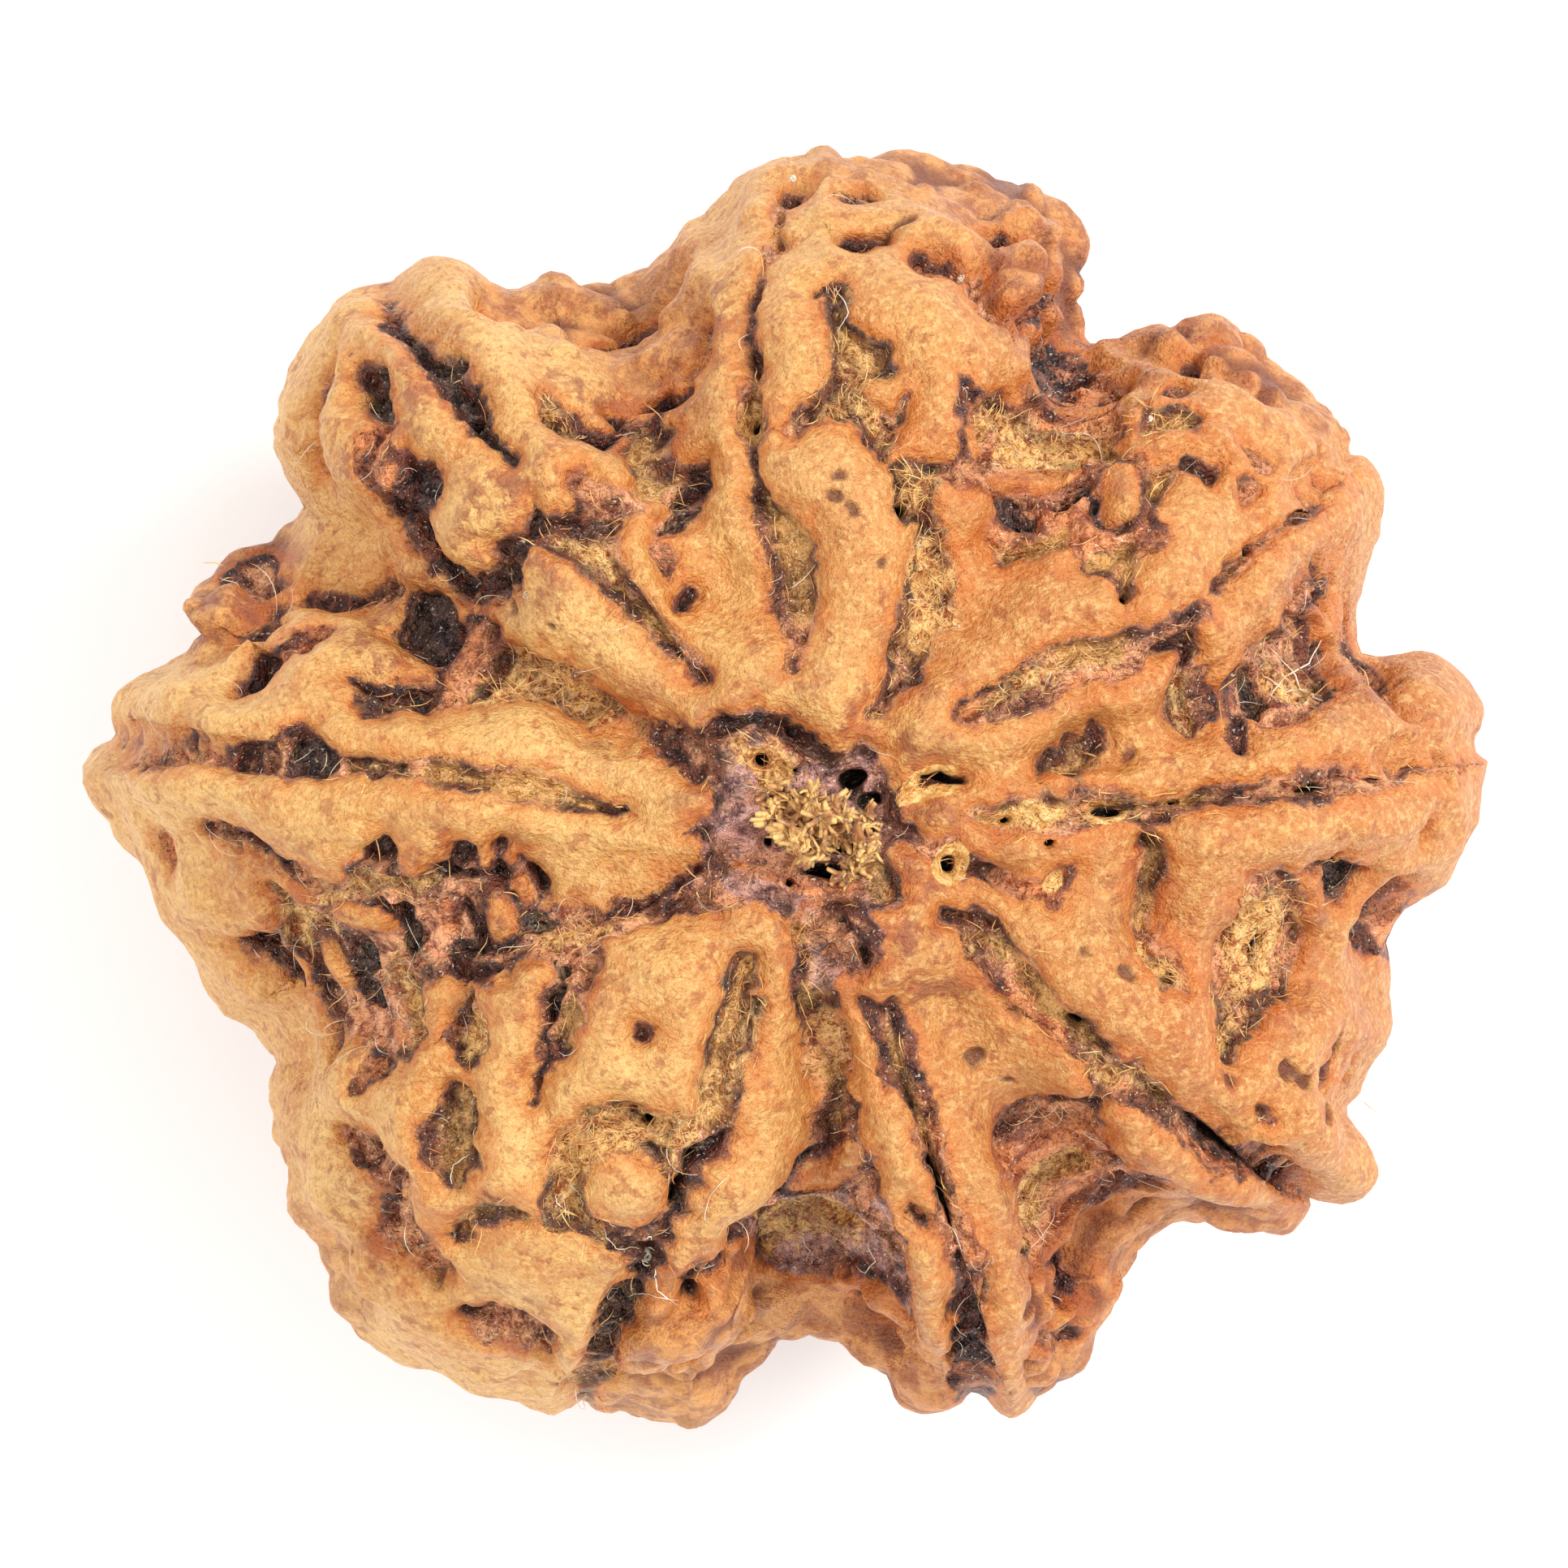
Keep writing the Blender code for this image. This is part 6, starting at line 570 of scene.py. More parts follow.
     (1.9, -10.7), (1.4, -10.2), (0.9, -9.9), (0.3, -10.0), (-0.1, -9.7), (-0.1, -9.2), (-0.6, -9.3),
     (-1.0, -9.7), (-1.6, -9.9), (-2.1, -10.1), (-1.6, -9.55), (-1.0, -9.05), (-0.6, -8.6), (-0.3, -8.2),
     (-0.05, -7.95), (0.15, -7.5), (0.5, -7.0), (0.58, -6.4), (0.58, -5.7), (0.4, -5.0), (0.15, -4.35),
     (0.22, -3.7), (0.25, -3.0)),
    ("gold", (-2.1, -6.4), (-2.35, -6.47), (-2.95, -6.5), (-3.37, -6.43), (-4.05, -6.64), (-4.48, -6.98),
     (-4.8, -7.4), (-4.94, -7.83), (-4.98, -8.25), (-4.73, -8.68), (-4.2, -8.85), (-3.8, -9.0),
     (-3.46, -9.0), (-3.1, -9.44), (-3.2, -9.87), (-3.46, -10.3), (-3.7, -10.7), (-3.8, -11.05),
     (-4.05, -11.5), (-4.14, -12.2), (-3.8, -12.2), (-3.7, -11.7), (-3.63, -11.4), (-3.37, -10.8),
     (-3.1, -10.4), (-2.95, -10.04), (-2.5, -9.9), (-2.48, -9.44), (-2.35, -9.1), (-2.1, -8.5),
     (-1.76, -7.9), (-1.6, -7.4), (-1.25, -7.15), (-1.0, -6.8), (-0.8, -6.3), (-0.57, -5.7), (-0.4, -5.03),
     (-0.36, -4.35), (-0.5, -3.92), (-0.74, -3.58), (-1.08, -3.54), (-1.25, -3.84), (-1.25, -4.35),
     (-1.33, -4.86), (-1.5, -5.37), (-1.67, -5.96), (-1.84, -6.35)),
    ("plum", (-10.93, -1.04), (-10.6, -1.3), (-10.08, -1.42), (-9.8, -1.63), (-9.5, -1.97), (-9.06, -2.1),
     (-8.7, -1.89), (-8.55, -1.46), (-8.2, -1.22), (-7.8, -1.28), (-7.6, -1.55), (-7.3, -1.76),
     (-6.85, -1.76), (-6.65, -1.46), (-6.65, -1.2), (-6.26, -1.2), (-6.15, -1.63), (-5.85, -1.7),
     (-5.85, -1.2), (-5.6, -1.65), (-5.1, -1.85), (-4.9, -2.06), (-5.05, -2.4), (-4.7, -2.48),
     (-4.05, -2.4), (-3.37, -2.14), (-2.7, -1.8), (-2.1, -1.55), (-1.67, -1.38), (-1.2, -1.3), (-0.6, -1.6),
     (-0.2, -2.0), (-0.65, -2.3), (-1.0, -2.48), (-1.5, -2.5), (-2.1, -2.44), (-2.5, -2.44), (-3.03, -2.65),
     (-3.5, -3.07), (-3.8, -3.58), (-3.9, -4.0), (-3.93, -4.35), (-4.05, -4.77), (-4.5, -5.0),
     (-4.64, -5.45), (-4.9, -5.8), (-5.07, -6.43), (-5.3, -6.3), (-5.24, -5.7), (-5.03, -5.03),
     (-4.98, -4.43), (-4.8, -4.0), (-4.6, -3.7), (-4.75, -3.42), (-5.07, -3.37), (-5.4, -3.4),
     (-5.75, -3.67), (-6.05, -4.0), (-6.25, -3.8), (-6.45, -3.62), (-6.77, -3.58), (-7.2, -3.67),
     (-7.45, -4.0), (-7.45, -4.43), (-7.6, -5.03), (-7.96, -5.45), (-8.3, -5.7), (-8.63, -5.88),
     (-8.75, -5.6), (-8.4, -5.2), (-8.8, -4.86), (-9.2, -5.1), (-9.35, -4.7), (-9.2, -4.4), (-9.5, -4.0),
     (-9.65, -3.6), (-9.9, -3.6), (-10.2, -3.95), (-10.6, -3.7), (-11.05, -3.45), (-11.1, -3.2),
     (-10.5, -3.15), (-10.16, -2.95), (-10.05, -2.6), (-10.3, -2.3), (-10.2, -2.0), (-10.5, -1.75),
     (-10.9, -1.5), (-11.6, -1.35), (-12.0, -1.1), (-11.5, -0.95)),
    ("plum", (-6.5, -3.9), (-6.25, -4.1), (-6.1, -4.5), (-6.0, -4.9), (-6.05, -5.2), (-6.4, -5.38),
     (-6.75, -5.3), (-7.0, -5.0), (-6.95, -4.6), (-6.85, -4.3), (-6.75, -4.0)),
    ("plum", (-7.1, -6.13), (-6.77, -6.0), (-6.43, -6.13), (-6.3, -6.55), (-6.34, -6.9), (-6.05, -7.07),
     (-6.05, -7.4), (-6.34, -7.66), (-6.68, -7.9), (-6.94, -7.74), (-7.1, -7.23), (-7.3, -6.9),
     (-7.2, -6.47)),
    ("plum", (-7.9, -8.2), (-7.5, -8.25), (-7.45, -8.6), (-7.3, -9.0), (-7.02, -9.44), (-6.9, -9.87),
     (-7.3, -9.87), (-7.7, -9.8), (-7.96, -9.44), (-8.3, -9.1), (-8.4, -8.85), (-8.17, -8.5)),
    ("plum", (-6.5, -8.34), (-6.1, -8.2), (-5.6, -8.17), (-5.24, -8.25), (-5.2, -8.5), (-5.66, -8.6),
     (-6.17, -8.76), (-6.4, -9.0), (-6.68, -9.1), (-6.72, -8.93), (-6.55, -8.68)),
    ("plum", (-6.5, -10.75), (-6.1, -10.7), (-5.66, -10.8), (-5.24, -10.93), (-4.9, -10.97), (-4.8, -11.3),
     (-5.07, -11.5), (-5.5, -11.3), (-6.0, -11.14), (-6.34, -11.0)),
    ("rust", (-8.9, -7.07), (-8.5, -7.15), (-8.3, -7.4), (-7.8, -7.57), (-7.6, -7.83), (-7.8, -8.04),
     (-8.2, -7.9), (-8.63, -7.66), (-8.8, -7.4)),
)

# Lower steps of the surface behind a plateau's edge: the corners (x, y) of closed outlines
REAR_STEPS = (
    ((-6.1, 9.62), (-5.36, 9.48), (-4.56, 9.25), (-3.95, 8.9), (-3.5, 8.4), (-3.2, 8.0), (-2.9, 7.85),
     (-2.45, 7.95), (-2.0, 8.2), (-1.85, 8.6), (-1.8, 9.1), (-1.7, 9.6), (-2.0, 10.1), (-2.4, 10.9),
     (-3.2, 10.5), (-4.2, 10.6), (-5.3, 10.6), (-6.0, 10.8)),
    ((3.3, 10.05), (4.0, 9.5), (4.5, 8.95), (4.95, 8.4), (5.15, 8.1), (5.4, 8.5), (5.9, 8.8), (6.4, 9.6),
     (6.4, 10.7), (6.2, 11.2), (5.9, 11.9), (5.2, 12.5), (4.6, 12.7), (3.5, 12.8), (2.6, 13.1), (1.3, 13.2),
     (0.7, 12.9), (0.5, 12.4), (1.0, 12.25), (1.6, 12.3), (2.2, 12.15), (2.6, 11.9), (2.9, 11.7),
     (3.4, 11.5), (3.7, 11.2), (3.9, 10.9), (3.6, 10.7), (2.8, 10.9), (2.6, 10.6), (2.6, 10.35),
     (3.0, 10.25)),
    ((6.3, 9.0), (6.9, 8.65), (7.4, 8.65), (7.75, 8.45), (8.1, 8.35), (8.5, 8.45), (9.0, 8.15), (9.5, 7.65),
     (9.95, 7.45), (10.4, 7.1), (10.9, 6.8), (11.6, 6.8), (11.6, 7.3), (11.2, 7.9), (10.2, 8.6), (9.6, 9.2),
     (9.1, 9.7), (8.6, 10.0), (7.9, 10.0), (7.2, 9.9), (6.6, 9.6)),
    ((-9.55, 5.5), (-9.8, 4.9), (-10.15, 4.3), (-10.3, 4.0), (-10.4, 3.5), (-10.95, 3.35), (-11.4, 2.85),
     (-12.0, 2.68), (-12.6, 2.5), (-12.8, 3.5), (-12.4, 4.4), (-11.7, 5.0), (-10.6, 5.6), (-9.9, 5.8)),
    ((-0.45, -8.6), (-0.85, -9.0), (-1.2, -9.3), (-1.6, -9.55), (-2.0, -9.95), (-2.4, -10.1), (-2.9, -10.1),
     (-3.2, -10.5), (-3.5, -11.0), (-3.7, -11.6), (-3.75, -12.3), (-3.0, -13.1), (-1.5, -13.2),
     (-0.5, -12.3), (0.4, -11.6), (1.2, -11.9), (2.6, -12.8), (3.2, -12.9), (3.1, -11.7), (2.8, -11.3),
     (2.3, -10.8), (2.15, -10.2), (2.1, -9.4), (1.5, -9.0), (0.6, -8.7)),
    ((5.6, -9.05), (6.0, -8.6), (6.5, -8.33), (7.0, -8.28), (7.5, -8.4), (8.0, -8.52), (8.9, -8.5),
     (9.8, -8.55), (10.4, -8.7), (9.8, -9.3), (8.0, -9.5), (7.4, -10.2), (7.2, -11.2), (6.2, -12.2),
     (5.2, -12.6), (4.75, -12.2), (4.85, -11.2), (4.8, -10.3), (4.82, -9.7), (5.1, -9.5)),
    ((-10.1, -7.3), (-9.95, -7.7), (-9.85, -8.2), (-9.6, -8.5), (-9.2, -8.8), (-8.97, -9.1), (-8.87, -9.5),
     (-8.9, -10.0), (-8.6, -10.4), (-8.3, -11.2), (-9.4, -10.8), (-10.3, -9.2), (-10.6, -8.0)),
)

# Knobs and ropes that stand up inside the beds: points (x, y, half width)
ISLANDS = (
    ((-3.67, 7.54, 0.33),),
    ((-1.9, 7.1, 0.6),),
    ((2.9, 8.0, 0.5), (2.75, 6.9, 0.42)),
    ((1.84, 7.86, 0.2),),
    ((5.45, 7.5, 0.18), (6.1, 7.5, 0.2)),
    ((6.45, 6.25, 0.36), (6.45, 5.75, 0.38)),
    ((4.3, 5.95, 0.12), (4.9, 6.05, 0.2), (5.45, 6.3, 0.2)),
    ((3.75, 6.95, 0.18), (3.85, 6.6, 0.16)),
    ((-3.2, -8.04, 0.76),),
    ((0.4, -8.1, 0.16), (0.75, -7.7, 0.22), (1.15, -7.2, 0.2)),
    ((-5.75, -2.62, 0.3),),
    ((-5.3, -2.15, 0.2),),
    ((-10.4, -1.8, 0.18), (-9.66, -2.25, 0.18)),
    ((-8.65, -2.67, 0.36), (-8.1, -2.72, 0.32)),
    ((-9.25, -3.45, 0.14), (-9.05, -3.85, 0.14)),
    ((7.5, -2.62, 0.25), (7.85, -2.55, 0.25)),
    ((-0.45, -9.65, 0.38), (-0.35, -9.9, 0.4)),
)

# Lumps that stand up on the rear steps: points (x, y, half width)
STEP_LUMPS = (
    ((-2.55, -10.35, 0.36),),
    ((-3.3, -11.6, 0.3), (-2.5, -11.3, 0.5), (-1.6, -11.0, 0.45), (-0.9, -10.5, 0.35)),
    ((4.9, 10.7, 0.25), (5.2, 10.0, 0.3), (4.6, 9.7, 0.25)),
    ((4.6, 11.8, 0.3), (5.3, 11.3, 0.3)),
    ((7.0, 9.0, 0.3), (7.4, 9.0, 0.25)),
    ((8.6, 8.9, 0.3), (9.5, 8.2, 0.3)),
    ((-11.6, 3.6, 0.35), (-11.5, 4.3, 0.4)),
    ((6.5, -9.1, 0.4), (6.4, -10.2, 0.4), (5.6, -11.2, 0.35)),
)

# Small holes and slits in the floors, painted near black for the shade in their depth: points (x, y, half
# width)
PORES = (
    ((-0.85, 7.22, 0.12),), ((-6.3, 7.38, 0.12),), ((3.56, 10.23, 0.08),), ((4.18, 10.95, 0.07),),
    ((2.4, 5.44, 0.1),), ((6.63, 3.67, 0.12),), ((12.1, 0.2, 0.12), (12.3, 0.23, 0.1)),
    ((6.15, -0.36, 0.14), (6.45, -0.42, 0.16)), ((7.3, -0.25, 0.09),), ((7.8, -0.2, 0.09),),
    ((10.2, -0.12, 0.08), (10.65, -0.08, 0.1)), ((4.26, -0.68, 0.12),), ((3.16, -1.54, 0.15),),
    ((9.56, -3.4, 0.12),), ((10.98, -1.65, 0.12),), ((9.26, 4.69, 0.12),), ((-2.8, -6.76, 0.12),),
    ((2.95, -7.15, 0.1), (2.85, -7.55, 0.12), (3.05, -7.8, 0.12), (3.1, -8.2, 0.12), (3.25, -8.6, 0.1),
     (3.25, -8.9, 0.06)), ((-1.9, -7.45, 0.1), (-2.1, -7.7, 0.12), (-2.25, -8.0, 0.1), (-2.35, -8.3, 0.08)),
    ((5.5, -4.74, 0.1), (5.62, -4.82, 0.08)), ((8.4, -7.05, 0.1), (8.6, -7.2, 0.08), (8.9, -7.4, 0.05)),
    ((9.4, -7.65, 0.1), (9.7, -7.9, 0.12), (9.85, -8.0, 0.1)),
    ((2.5, 0.12, 0.05), (3.0, 0.17, 0.09), (3.5, 0.14, 0.05)), ((-0.49, 0.44, 0.11),),
    ((0.16, 0.23, 0.06),), ((1.05, 0.05, 0.1), (1.36, 0.12, 0.12)),
    ((1.43, -0.38, 0.12), (1.6, -0.3, 0.08)), ((1.49, -0.86, 0.1),),
    ((1.15, -1.2, 0.12), (0.84, -1.22, 0.09)), ((0.45, -1.55, 0.14), (0.8, -1.6, 0.16)),
    ((0.05, -1.85, 0.06),), ((-0.35, -1.05, 0.1),), ((5.07, -1.22, 0.1),),
)
# Shallow dark dots and cracks in the skin: points (x, y, half width)
DOTS = (
    ((-4.69, 3.08, 0.13),), ((-5.58, 3.3, 0.1),), ((-4.72, 1.36, 0.12),), ((-6.17, 2.06, 0.12),),
    ((1.0, 6.1, 0.12),), ((1.25, 5.34, 0.18),), ((0.87, 5.66, 0.12),), ((1.9, 4.4, 0.12),),
    ((6.7, 0.82, 0.12),), ((7.65, 0.66, 0.1),), ((8.95, 1.05, 0.12),), ((12.2, 2.38, 0.1),),
    ((5.77, -3.2, 0.12),), ((6.6, -3.7, 0.15),), ((10.87, -5.2, 0.12),),
    ((9.8, -5.6, 0.15), (10.1, -5.8, 0.12)), ((11.2, -5.8, 0.14), (11.14, -6.0, 0.13)),
    ((10.55, -6.5, 0.1),), ((8.8, -5.9, 0.1),), ((4.4, -4.6, 0.15),), ((3.7, -5.36, 0.15),),
    ((4.26, -5.9, 0.12),), ((-7.15, -10.1, 0.08),), ((5.1, -10.2, 0.12), (4.8, -10.4, 0.1)),
    ((7.05, -8.65, 0.1),), ((2.5, 11.3, 0.06), (1.8, 11.15, 0.07), (1.14, 11.03, 0.1)),
    ((6.9, -8.3, 0.06), (7.3, -8.35, 0.08)), ((-8.1, -7.9, 0.08), (-7.9, -8.0, 0.1)),
)
DOT_DEPTH = 0.14

# Ropes and knobs that stand up a little from the skin: points (x, y, half width)
ROPES = (
    ((3.24, 10.07, 0.2), (4.0, 9.53, 0.22), (4.53, 8.94, 0.22), (4.96, 8.35, 0.2)),
    ((-9.15, -8.5, 0.2), (-8.7, -9.1, 0.25), (-8.6, -9.9, 0.25)),
    ((1.9, -8.2, 0.3), (2.35, -9.1, 0.4), (2.75, -10.1, 0.4), (3.1, -11.2, 0.25)),
    ((3.9, -5.8, 0.35), (4.1, -7.5, 0.4), (4.35, -9.0, 0.45), (4.5, -10.4, 0.35)),
    ((6.34, -6.64, 0.4), (7.58, -7.36, 0.45), (9.12, -8.08, 0.4), (9.94, -8.5, 0.3)),
    ((7.7, -1.1, 0.4), (9.5, -0.9, 0.5), (11.2, -0.85, 0.45), (12.6, -0.6, 0.35)),
    ((3.4, 0.85, 0.3), (5.2, 1.15, 0.35), (6.6, 1.6, 0.35), (7.4, 2.0, 0.3)),
    ((2.25, 0.8, 0.25), (2.5, 1.1, 0.2)),
    ((-2.55, -10.35, 0.35),),
    ((-0.35, -9.7, 0.3),),
    ((5.8, -9.0, 0.22),),
    ((-6.8, -9.4, 0.12),),
    ((3.5, -1.4, 0.08), (3.42, -1.75, 0.08), (3.1, -1.9, 0.08), (2.82, -1.7, 0.08), (2.85, -1.35, 0.08)),
    ((-3.6, 9.0, 0.25),), ((-4.4, 8.75, 0.2),), ((-3.0, 8.65, 0.22),), ((-2.5, 9.3, 0.2),),
    ((-3.4, 8.2, 0.16),), ((-4.7, 9.25, 0.2),), ((-5.3, 9.2, 0.22),), ((-2.4, 8.5, 0.14),),
)
ROPE_HEIGHT = 0.17
ROPE_IN = (-0.25, 0.3)

# Skin and floors stained purple-brown: the middle (x, y) and the half width of each stain
STAINS = (
    ((0.5, -0.7, 2.6),), ((-6.3, -2.3, 1.6),), ((-9.8, -2.4, 1.1),), ((-5.4, 5.0, 1.3),), ((-7.2, 3.0, 1.2),),
    ((-3.3, 7.4, 1.1),), ((-8.3, 6.2, 0.8),), ((-7.2, 8.2, 0.6),), ((-2.0, 8.9, 0.9),), ((5.6, 7.7, 1.1),),
    ((5.4, 5.7, 1.0),), ((4.9, 9.6, 0.9),), ((0.9, -3.2, 1.1),), ((1.0, -8.8, 1.5),), ((10.1, 2.6, 1.2),),
    ((9.6, -3.2, 1.2),), ((5.4, -7.6, 1.5),), ((-11.2, 4.0, 1.0),), ((3.0, -1.4, 0.9),), ((-8.0, -9.0, 0.9),),
    ((-4.4, -3.8, 0.9),), ((7.0, -2.0, 0.7),), ((-5.6, -10.9, 0.7),), ((-2.6, -9.3, 0.8),),
    ((-8.6, -4.0, 0.9),), ((2.8, -4.2, 0.7), (2.3, -2.6, 0.7)), ((-3.2, 1.3, 0.6), (-1.8, 0.6, 0.8)),
    ((2.2, 2.2, 0.6), (1.5, 1.2, 0.6)),
)
STAIN_IN = (-0.9, 0.5)

# Pale golden lips, rings and islands: points (x, y, half width)
GOLDEN = (
    ((3.5, -1.5, 0.1), (3.45, -1.75, 0.1), (3.2, -1.88, 0.1), (2.92, -1.75, 0.1), (2.86, -1.5, 0.08),
     (3.0, -1.3, 0.08), (3.3, -1.25, 0.09), (3.5, -1.5, 0.1)),
    ((2.1, -0.3, 0.08), (2.6, -0.15, 0.1), (3.1, -0.06, 0.08), (3.4, 0.0, 0.04)),
    ((2.2, -0.1, 0.05), (2.5, 0.2, 0.05), (2.8, 0.3, 0.05), (3.3, 0.3, 0.04)),
    ((4.25, -0.6, 0.14), (4.7, -0.5, 0.2), (5.0, -0.65, 0.2)),
    ((5.85, -0.5, 0.06), (6.0, -0.7, 0.07), (6.4, -0.7, 0.06), (6.65, -0.5, 0.05)),
    ((5.2, -1.95, 0.16),),
)

# The golden ragged heap at the top pole: points (x, y, half width)
PLUG = (
    ((-0.2, -0.2, 0.25), (-0.1, -0.75, 0.35), (0.1, -1.1, 0.3)),
    ((0.35, -0.35, 0.35), (0.4, -0.9, 0.4), (0.85, -0.55, 0.35), (0.95, -1.0, 0.3)),
    ((1.35, -0.65, 0.2), (1.5, -1.2, 0.25), (1.15, -1.7, 0.2)),
    ((0.2, -1.35, 0.15), (0.55, -1.25, 0.15)),
)
PLUG_HEIGHT = 0.35
PLUG_WAVES = ((0.8, 0.35), (0.35, 0.3), (0.2, 0.16))

# Pale hairs and golden curls seen lying on the seed: points (x, y)
HAIRS = (
    ((-3.7, -8.65), (-3.65, -8.9), (-3.4, -9.1), (-3.1, -9.05), (-2.95, -9.1)),
    ((-2.85, -8.85), (-2.7, -8.85), (-2.6, -9.0)),
    ((-3.2, -10.05), (-2.8, -10.0), (-2.4, -10.05), (-2.1, -10.1)),
    ((-2.6, -9.5), (-2.5, -9.9), (-2.1, -10.15)),
    ((0.2, -8.9), (0.3, -9.1), (0.45, -9.2), (0.4, -9.4)),
    ((1.35, -9.55), (1.5, -9.7), (1.7, -9.5), (1.6, -9.1)),
    ((9.4, 1.6), (9.7, 2.1), (10.2, 2.3), (10.5, 2.8)),
    ((9.5, 2.7), (9.9, 2.4), (10.1, 1.9), (10.5, 1.7)),
    ((9.3, 2.2), (9.8, 1.9), (10.3, 2.0)),
    ((-6.6, -7.8), (-6.5, -7.5), (-6.3, -7.35), (-6.1, -7.3)),
    ((-4.3, -7.8), (-4.15, -8.0), (-4.1, -8.3)),
    ((-4.6, -8.0), (-4.5, -8.2), (-4.35, -8.35)),
    ((11.3, -6.3), (11.46, -6.46), (11.7, -6.7)),
    ((-1.2, -7.6), (-1.6, -8.0), (-1.7, -8.5)),
    ((0.9, 9.8), (1.1, 9.3), (0.9, 8.9)),
)
# Specks of white fluff: where each one lies (x, y) and its size
FLUFF = ((0.07, 12.0, 0.06), (3.37, 9.96, 0.06), (-2.8, -9.2, 0.14), (-5.12, 3.7, 0.05), (7.1, 7.2, 0.05))

# The lower side repeats the upper side's pattern, bent: size of the bends in millimetres, and degrees
BENDS = ((7.0, 3.2), (3.0, 1.2))
BEND_SEEDS = (3, 4)
BEND_LEAN = (92.0, 125.0)

# Lumps of the skin: size of the lumps and their height, in millimetres
LUMPS = ((4.2, 0.14), (1.9, 0.07), (0.85, 0.024), (0.4, 0.009))
LUMP_SEED = 21
WAVES_PER_SIZE = 18
EDGE_SEED = 5
FLOOR_SEED = 9
PLUG_SEED = 14
KNOB_SEED = 6
FOOT_SEED = 17
COMB_SEEDS = (31, 32, 33)
COMB_SIZE = 0.7

# Degrees from the top pole over which the relief fades out round the lower pole, and the share of the way
# straight down in which the upper side's relief is sunk, with the degrees over which it goes
SMOOTH_BELOW = (154.0, 164.0)
STRAIGHT_DOWN = 0.5
STRAIGHT_DOWN_OUT = (60.0, 95.0)

# Where the skin turns from its western to its redder eastern tone, in millimetres
EAST_TONE = (-7.0, 8.0)

# The dark and the light of each kind of floor, and of the plug
FLOORS = {
    "rust": ((144, 68, 36), (230, 146, 92)),
    "plum": ((128, 66, 48), (244, 168, 122)),
    "slate": ((98, 66, 66), (206, 152, 138)),
    "gold": ((158, 84, 38), (254, 202, 122)),
    "olive": ((146, 92, 42), (224, 168, 98)),
    "black": ((38, 26, 27), (108, 82, 76)),
    "plug": ((120, 70, 34), (250, 204, 124)),
}

# What grows on the seed: how many, their length in millimetres, their lift as a share of it, how far they
# curl, the share of their direction that points to or from the top pole, and the share in which neighbours
# lie alike
FIBRE_SEED = 2
LINE_FIBRES = {"count": 5000, "length": (0.15, 0.8), "lift": (-0.04, 0.07), "curl": 0.8, "outward": 0.35,
               "combed": 0.35}
PLUG_FIBRES = {"count": 900, "length": (0.12, 0.5), "lift": (-0.1, 0.3), "curl": 0.5, "steps": 4,
               "combed": 0.4}
LOOSE_HAIRS = {"count": 380, "length": (0.3, 1.4), "lift": (0.1, 0.5), "curl": 3.0, "steps": 9}
HEAP_FROM = 0.4
LIP_OF_OLIVE = -0.25
ANYWHERE = 1e-4
FLUFF_HAIRS = 22
# The share of hairs on the lower side, and the height up to which the foot has none
HAIRS_BELOW = 0.35
BARE_UP_TO = -9.4

# Colours of the skin, the edges and what lies in the recesses, 0 to 255 as seen on a screen
COLOURS = {
    "western light": (226, 176, 106),
    "western deep": (214, 154, 84),
    "eastern light": (200, 137, 74),
    "eastern deep": (190, 114, 56),
    "orange patch": (190, 106, 46),
    "pale grain": (244, 202, 128),
    "dark grain": (166, 92, 44),
    "brown speck": (182, 104, 50),
    "red speck": (154, 74, 38),
    "rear light": (216, 142, 78),
    "rear dark": (146, 72, 40),
    # painted shade in the hollows between the knobs
    "shade between knobs": (112, 54, 36),
    # bands along the recess edges: partly the skin's own colour, partly painted shade
    "stain": (146, 76, 50),
    "orange band": (204, 108, 42),
    "red band": (150, 68, 36),
    "dot": (100, 54, 44),
    "thread": (246, 200, 130),
    "charred": (170, 104, 64),
    # painted shade at the foot of the recess walls, its darker and lighter patches
    "crease dark": (52, 33, 33),
    "crease light": (118, 62, 44),
    "lip dark": (206, 142, 68),
    "lip light": (250, 206, 132),
    # near black: painted shade in place of the depth of the holes
    "hole": (48, 36, 22),
    # painted glints
    "painted glint": (250, 226, 196),
}
# Mottling of the skin: noise to the millimetre, its detail and roughness, from where to where it shows, its
# colour and how much of it
MOTTLING = (
    (0.8, 4.0, 0.65, 0.5, 0.68, "orange patch", 0.5),
    (6.0, 2.0, 0.7, 0.42, 0.7, "pale grain", 0.5),
    (10.0, 1.0, 0.6, 0.52, 0.68, "dark grain", 0.35),
    (4.3, 3.0, 0.7, 0.5, 0.64, "brown speck", 0.42),
    (2.3, 3.0, 0.65, 0.56, 0.66, "red speck", 0.55),
)
# Bands along the recess edges, a deep orange shoulder and a red-brown rim: partly the skin's own colour
# there, partly painted shade
# Colour, the millimetres by which coarse and fine noise tear it, from where to where it shows, and how much
EDGE_BANDS = (
    ("orange band", 1.6, 0.4, 0.45, 0.0, 0.5),
    ("red band", 1.0, 0.5, 0.07, -0.1, 0.8),
)
# Floors laid over the plum one: kind, and which way the noise tears its border
FLOOR_ORDER = (("rust", 1.0), ("slate", -1.0), ("gold", 1.0), ("olive", -1.0), ("black", 1.0))
GOLDEN_THREADS = {"olive": 0.5, "plum": 0.35}
# Painted shade down the walls of the recesses: which edge, and how much of it
CREASE_SHADES = (("edge", 0.95), ("pit_edge", 0.55))

# The picture and the studio
PICTURE_WIDTH_MM = 31.16
PICTURE_CENTRE = (-0.105, 0.024)
RIM_HEIGHT_MM = 11.0
LENS_MM = 600.0
SENSOR_MM = 36.0
SKY_STRENGTH = 1.0
FLOOR_GLOW = 0.1
